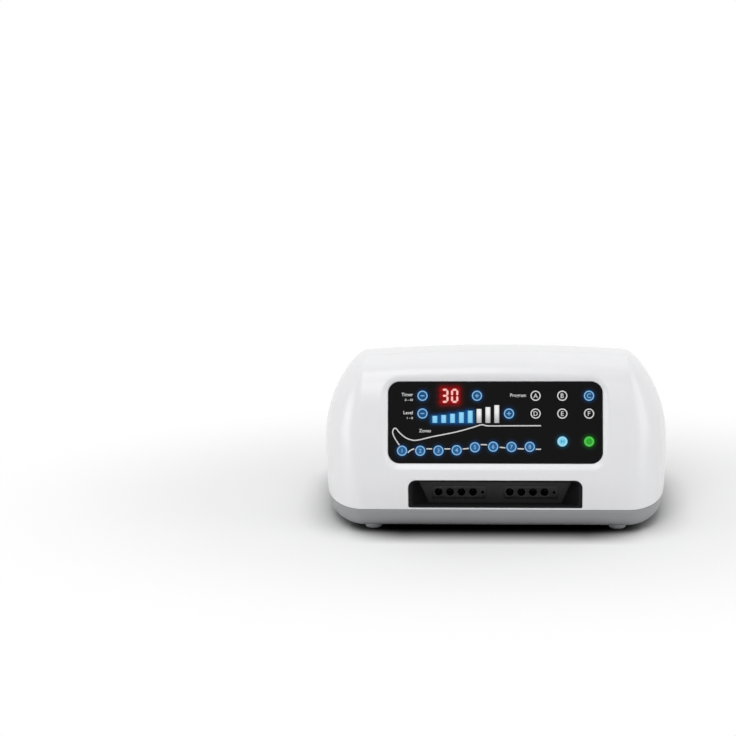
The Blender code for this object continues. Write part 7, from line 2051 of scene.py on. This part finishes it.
# Transformer
# A wound core on the mains board: stacked steel plates, varnished and held by four bolts, round a
# coil that is wrapped in tape.
TRANSFORMER_CORE = 17.0 * MM
TRANSFORMER_EDGE = 3.0 * MM
PLATE_PITCH = 1.0 * MM
BOLT_RADIUS = 2.4 * MM
BOLT_RISE = 1.6 * MM

# Blued, varnished plates: each is thinner than these lines, which are drawn 1 mm apart to show
core_plates, tree = fresh("steel_laminated_varnished")
place = add(tree, "ShaderNodeTexCoord").outputs["Object"]
plates = add(tree, "ShaderNodeTexWave", {"Vector": place, "Scale": WAVE_LENGTH / PLATE_PITCH, "Distortion": 0.3},
             bands_direction="Y")
colour = add(tree, "ShaderNodeMix", {0: plates.outputs["Fac"], 6: tone("2A2522"), 7: tone("54463C")}, data_type="RGBA")
bump = add(tree, "ShaderNodeBump", {"Strength": 0.6, "Distance": 0.15 * MM, "Height": plates.outputs["Fac"]})
finish(tree, {"Base Color": colour.outputs[2], "Metallic": 0.6, "Roughness": 0.38, "Normal": bump.outputs[0]})

low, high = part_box("transformer")
middle = (low + high) / 2
half = Vector((0, TRANSFORMER_CORE / 2, 0))
core = brick("transformer_core", Vector((low.x, middle.y, low.z)) - half, Vector((high.x, middle.y, high.z)) + half,
             SEAT, SEAT)
inset = Vector((TRANSFORMER_CORE, 0, TRANSFORMER_CORE)) / 2
coil = brick("transformer_coil", low + inset, high - inset, TRANSFORMER_EDGE, 1.5 * MM)
bolt_profile = [(BOLT_RADIUS, -CAST_EDGE)] + arc(CAST_EDGE, 0, 90, (BOLT_RADIUS - CAST_EDGE, BOLT_RISE - CAST_EDGE), 4)
bolts = []
for sx in (-1, 1):
    for sz in (-1, 1):
        spot = (middle.x + sx * (high.x - low.x - TRANSFORMER_CORE / 2) / 2, middle.y - half.y,
                middle.z + sz * (high.z - low.z - TRANSFORMER_CORE / 2) / 2)
        bolt = turned("bolt", bolt_profile, steps=24)
        bolt.data.transform(forward)
        bolts.append(moved(bolt, spot))
rest_of(core, core_plates, "transformer")
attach(dress(coil, coil_tape), "console")
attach(dress(joined("transformer_bolts", bolts), zinc_steel), "console")


# Ribbon cable
# Fourteen wires in grey vinyl side by side, one edge marked red, from the display board's back down
# to the header.
RIBBON_WIRES = 14
RIBBON_PITCH = 1.0 * MM
RIBBON_THICKNESS = 0.9 * MM
RIBBON_VALLEY = 0.35
RIBBON_SLACK = 30.0 * MM
RIBBON_STEPS = 28

# Satin vinyl; the marked wire takes its red from its place across the cable
ribbon_vinyl, tree = fresh("vinyl_extruded_ribbon")
place = add(tree, "ShaderNodeTexCoord").outputs["Object"]
across = add(tree, "ShaderNodeSeparateXYZ", {"Vector": place})
edge = ribbon_x - (RIBBON_WIRES / 2 - 1) * RIBBON_PITCH
marked = add(tree, "ShaderNodeMath", {0: across.outputs["X"], 1: edge}, operation="LESS_THAN")
soil = add(tree, "ShaderNodeTexNoise", {"Vector": place, "Scale": 1 / (5 * MM), "Detail": 2.0})
grey = add(tree, "ShaderNodeMix", {0: soil.outputs["Fac"], 6: tone("8E9193"), 7: tone("9DA0A2")}, data_type="RGBA")
colour = add(tree, "ShaderNodeMix", {0: marked.outputs[0], 6: grey.outputs[2], 7: tone("A8322C")}, data_type="RGBA")
finish(tree, {"Base Color": colour.outputs[2], "Roughness": 0.42})

start = PANEL @ Vector((ribbon_x, 0, -BOARD_DEPTH - BOARD_THICKNESS - SEAT))
end = Vector((ribbon_x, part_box("control_board")[0].y / 2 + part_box("control_board")[1].y / 2,
              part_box("control_board")[1].z + SEAT))
out, back = PANEL.to_3x3() @ Vector((0, 0, -1)), Vector((0, 0, 1))
leave, arrive = start + out * RIBBON_THICKNESS, end + back * RIBBON_THICKNESS
one, two = leave + out * RIBBON_SLACK, arrive + back * RIBBON_SLACK
line = [start]
for s in np.linspace(0, 1, RIBBON_STEPS):
    first, between, last = leave.lerp(one, s), one.lerp(two, s), two.lerp(arrive, s)
    line.append(first.lerp(between, s).lerp(between.lerp(last, s), s))
line.append(end)
along = np.linspace(-1, 1, RIBBON_WIRES * 6 + 1) * RIBBON_WIRES * RIBBON_PITCH / 2
wave = np.abs(np.sin(math.pi * along / RIBBON_PITCH))
thick = RIBBON_THICKNESS / 2 * (RIBBON_VALLEY + (1 - RIBBON_VALLEY) * wave)
rows = []
for i, spot in enumerate(line):
    ahead = (line[min(i + 1, len(line) - 1)] - line[max(i - 1, 0)]).normalized()
    up = np.array(ahead.cross(Vector((1, 0, 0))))
    lower = np.array(spot) + np.outer(along, (1, 0, 0)) - np.outer(thick, up)
    upper = np.array(spot) + np.outer(along, (1, 0, 0)) + np.outer(thick, up)
    rows.append(np.concatenate([lower, upper[::-1]]))
ribbon = skin("ribbon_cable_extruded", rows)
rest_of(ribbon, ribbon_vinyl, "ribbon_cable")


# Switch mat and display board
# A moulded silicone mat with a hollow-looking dome under each key, on a glass-epoxy board that four
# screws hold to bosses behind the tray.
MAT_THICKNESS = 0.5 * MM
MAT_MARGIN = 1.0 * MM
DOME_RADIUS = 4.0 * MM
DOME_TOP_RADIUS = 2.2 * MM
KEY_TRAVEL = 0.5 * MM

# Grey silicone, dusty and soft to the eye
grey_silicone, tree = fresh("silicone_moulded_grey")
place = add(tree, "ShaderNodeTexCoord").outputs["Object"]
dust = add(tree, "ShaderNodeTexNoise", {"Vector": place, "Scale": 1 / (2 * MM), "Detail": 3.0})
colour = add(tree, "ShaderNodeMix", {0: dust.outputs["Fac"], 6: tone("8F9697"), 7: tone("A1A7A7")}, data_type="RGBA")
rough = add(tree, "ShaderNodeMapRange", {"Value": dust.outputs["Fac"], "To Min": 0.48, "To Max": 0.66})
finish(tree, {"Base Color": colour.outputs[2], "Roughness": rough.outputs[0]})

low = SEAT - BOARD_DEPTH
inset = 2 * (TRAY_LEDGE + MAT_MARGIN)
mat = plug("switch_mat_moulding", box_hole(PANEL_WIDTH - inset, PANEL_HEIGHT - inset, PANEL_CORNER - TRAY_LEDGE),
           [(0, low), (0, low + MAT_THICKNESS)])
top = -PANEL_THICKNESS - SEAT - KEY_FLANGE_THICKNESS - KEY_TRAVEL - SEAT
foot = low + MAT_THICKNESS / 2
knee = (DOME_TOP_RADIUS + DOME_RADIUS) / 2
dome_profile = [(DOME_RADIUS, foot), (DOME_RADIUS - SEAT / 2, foot + MAT_THICKNESS), (knee, (top + foot) / 2),
                (DOME_TOP_RADIUS + SEAT / 2, top - SEAT), (DOME_TOP_RADIUS, top - SEAT / 2), (DOME_TOP_RADIUS - SEAT / 2, top)]
domes = []
for x, y, _, _ in KEYS.values():
    domes.append(moved(turned("dome", dome_profile, steps=32), (x, y, 0)))
for dome in domes:
    carve(mat, dome, "UNION")
margin = 2 * (TIME_BODY_MARGIN + SEAT)
openings = (((WINDOW_X, TIME_Y), (TIME_WINDOW_WIDTH + margin, WINDOW_HEIGHT + margin)),
            ((BAR_X + BAR_PITCH * (BARS - 1) / 2, BAR_FOOT + BAR_TALL / 2),
             (BAR_PITCH * (BARS - 1) + BAR_WIDTH + 2 * (BAR_BODY_MARGIN + SEAT), BAR_TALL + 2 * (BAR_BODY_MARGIN + SEAT))))
for (x, y), (width, height) in openings:
    carve(mat, block("mat_opening", (width, height, OVERRUN), (x, y, low)))
mat.data.transform(PANEL)
rest_of(mat, grey_silicone, "switch_mat")
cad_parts["display_board"].material_slots[0].material = board_lacquer


# Studio
# A pale paper floor, an even surround that only the camera and reflections see as full white, and
# soft boxes round the pump: a key from the upper left, one low on each side, and a wide one overhead.
# Round the pump's foot the paper's colour is darkened towards near black by ambient occlusion: a painted contact
# shadow, strongest between the feet and weaker towards the ends.
FLOOR_SIZE = 6.0
FLOOR_SHAPE = (1.0, 1.4, 1.0)
FADE_START = 0.19
FADE_END = 0.62
PAINTED_SHADOW_REACH = 40.0 * MM
PAINTED_SHADOW_POWER = 3.0
PAINTED_SHADOW_END_POWER = 0.35
PAINTED_SHADOW_ENDS = (95.0 * MM, 155.0 * MM)
HORIZON_LIGHT = 0.14
ZENITH_LIGHT = 0.85
BOXES = {"key_box": ((-0.35, -1.5, 1.65), 1.0, 10.2), "top_box": ((0.1, 0.1, 1.9), 1.6, 6.0),
         "left_box": ((-1.5, -0.3, 0.28), 0.7, 3.9), "right_box": ((1.5, -0.4, 0.45), 0.9, 4.3)}

floor = sheet_plate("floor", FLOOR_SIZE, FLOOR_SIZE, 10 * MM, FLOOR_SIZE / 8)
paper, tree = fresh("paper_seamless_white")
place = add(tree, "ShaderNodeTexCoord").outputs["Object"]
fibre = add(tree, "ShaderNodeTexNoise", {"Vector": place, "Scale": 1 / (400 * MM), "Detail": 2.0})
colour = add(tree, "ShaderNodeMix", {0: fibre.outputs["Fac"], 6: tone("EFEFF0"), 7: tone("F3F3F3")}, data_type="RGBA")
# Painted contact shadow: where ambient occlusion finds the pump close, the paper's colour is mixed towards near black
near = add(tree, "ShaderNodeAmbientOcclusion", {"Distance": PAINTED_SHADOW_REACH})
side = add(tree, "ShaderNodeMath", {0: add(tree, "ShaderNodeSeparateXYZ", {0: place}).outputs["X"]}, operation="ABSOLUTE")
power = add(tree, "ShaderNodeMapRange", {"Value": side.outputs[0], "From Min": PAINTED_SHADOW_ENDS[0],
                                         "From Max": PAINTED_SHADOW_ENDS[1], "To Min": PAINTED_SHADOW_POWER,
                                         "To Max": PAINTED_SHADOW_END_POWER})
deep = add(tree, "ShaderNodeMath", {0: near.outputs["AO"], 1: power.outputs[0]}, operation="POWER")
painted_contact_shadow = add(tree, "ShaderNodeMix", {0: deep.outputs[0], 6: tone("060606"), 7: colour.outputs[2]}, data_type="RGBA")
sheet = add(tree, "ShaderNodeBsdfPrincipled", {"Base Color": painted_contact_shadow.outputs[2], "Roughness": 1.0,
                                               "Specular IOR Level": 0.0})
rays = add(tree, "ShaderNodeLightPath").outputs
seen = add(tree, "ShaderNodeMath", {0: rays["Is Camera Ray"], 1: rays["Is Glossy Ray"]}, operation="MAXIMUM")
oval = add(tree, "ShaderNodeVectorMath", {0: place, 1: FLOOR_SHAPE}, operation="MULTIPLY")
away = add(tree, "ShaderNodeVectorMath", {0: oval.outputs[0]}, operation="LENGTH")
fade = add(tree, "ShaderNodeMapRange", {"Value": away.outputs["Value"], "From Min": FADE_START, "From Max": FADE_END},
           interpolation_type="SMOOTHSTEP")
share = add(tree, "ShaderNodeMath", {0: fade.outputs[0], 1: seen.outputs[0]}, operation="MULTIPLY")
white = add(tree, "ShaderNodeEmission", {"Color": (1.0, 1.0, 1.0, 1.0), "Strength": 1.0})
mixed = add(tree, "ShaderNodeMixShader", {0: share.outputs[0], 1: sheet.outputs[0], 2: white.outputs[0]})
add(tree, "ShaderNodeOutputMaterial", {"Surface": mixed.outputs[0]})
dress(floor, paper)

for name, (spot, size, power) in BOXES.items():
    lamp = bpy.data.objects.new(name, bpy.data.lights.new(name, "AREA"))
    lamp.data.energy = power
    lamp.data.size = size
    to_pump = (Vector((0, 0, 0.1)) - Vector(spot)).to_track_quat("-Z", "Y").to_matrix().to_4x4()
    lamp.matrix_world = Matrix.Translation(spot) @ to_pump
    bpy.context.scene.collection.objects.link(lamp)

world = bpy.data.worlds.new("studio")
bpy.context.scene.world = world
world.use_nodes = True
tree = world.node_tree
tree.nodes.clear()
rays = add(tree, "ShaderNodeLightPath").outputs
seen = add(tree, "ShaderNodeMath", {0: rays["Is Camera Ray"], 1: rays["Is Glossy Ray"]}, operation="MAXIMUM")
seen = add(tree, "ShaderNodeMath", {0: seen.outputs[0], 1: rays["Is Transmission Ray"]}, operation="MAXIMUM")
up = add(tree, "ShaderNodeSeparateXYZ", {0: add(tree, "ShaderNodeTexCoord").outputs["Generated"]})
dome = add(tree, "ShaderNodeMapRange", {"Value": up.outputs["Z"], "To Min": HORIZON_LIGHT, "To Max": ZENITH_LIGHT})
strength = add(tree, "ShaderNodeMapRange", {"Value": seen.outputs[0], "To Min": dome.outputs[0], "To Max": 1.0})
sky = add(tree, "ShaderNodeBackground", {"Color": (1.0, 1.0, 1.0, 1.0), "Strength": strength.outputs[0]})
add(tree, "ShaderNodeOutputWorld", {"Surface": sky.outputs[0]})
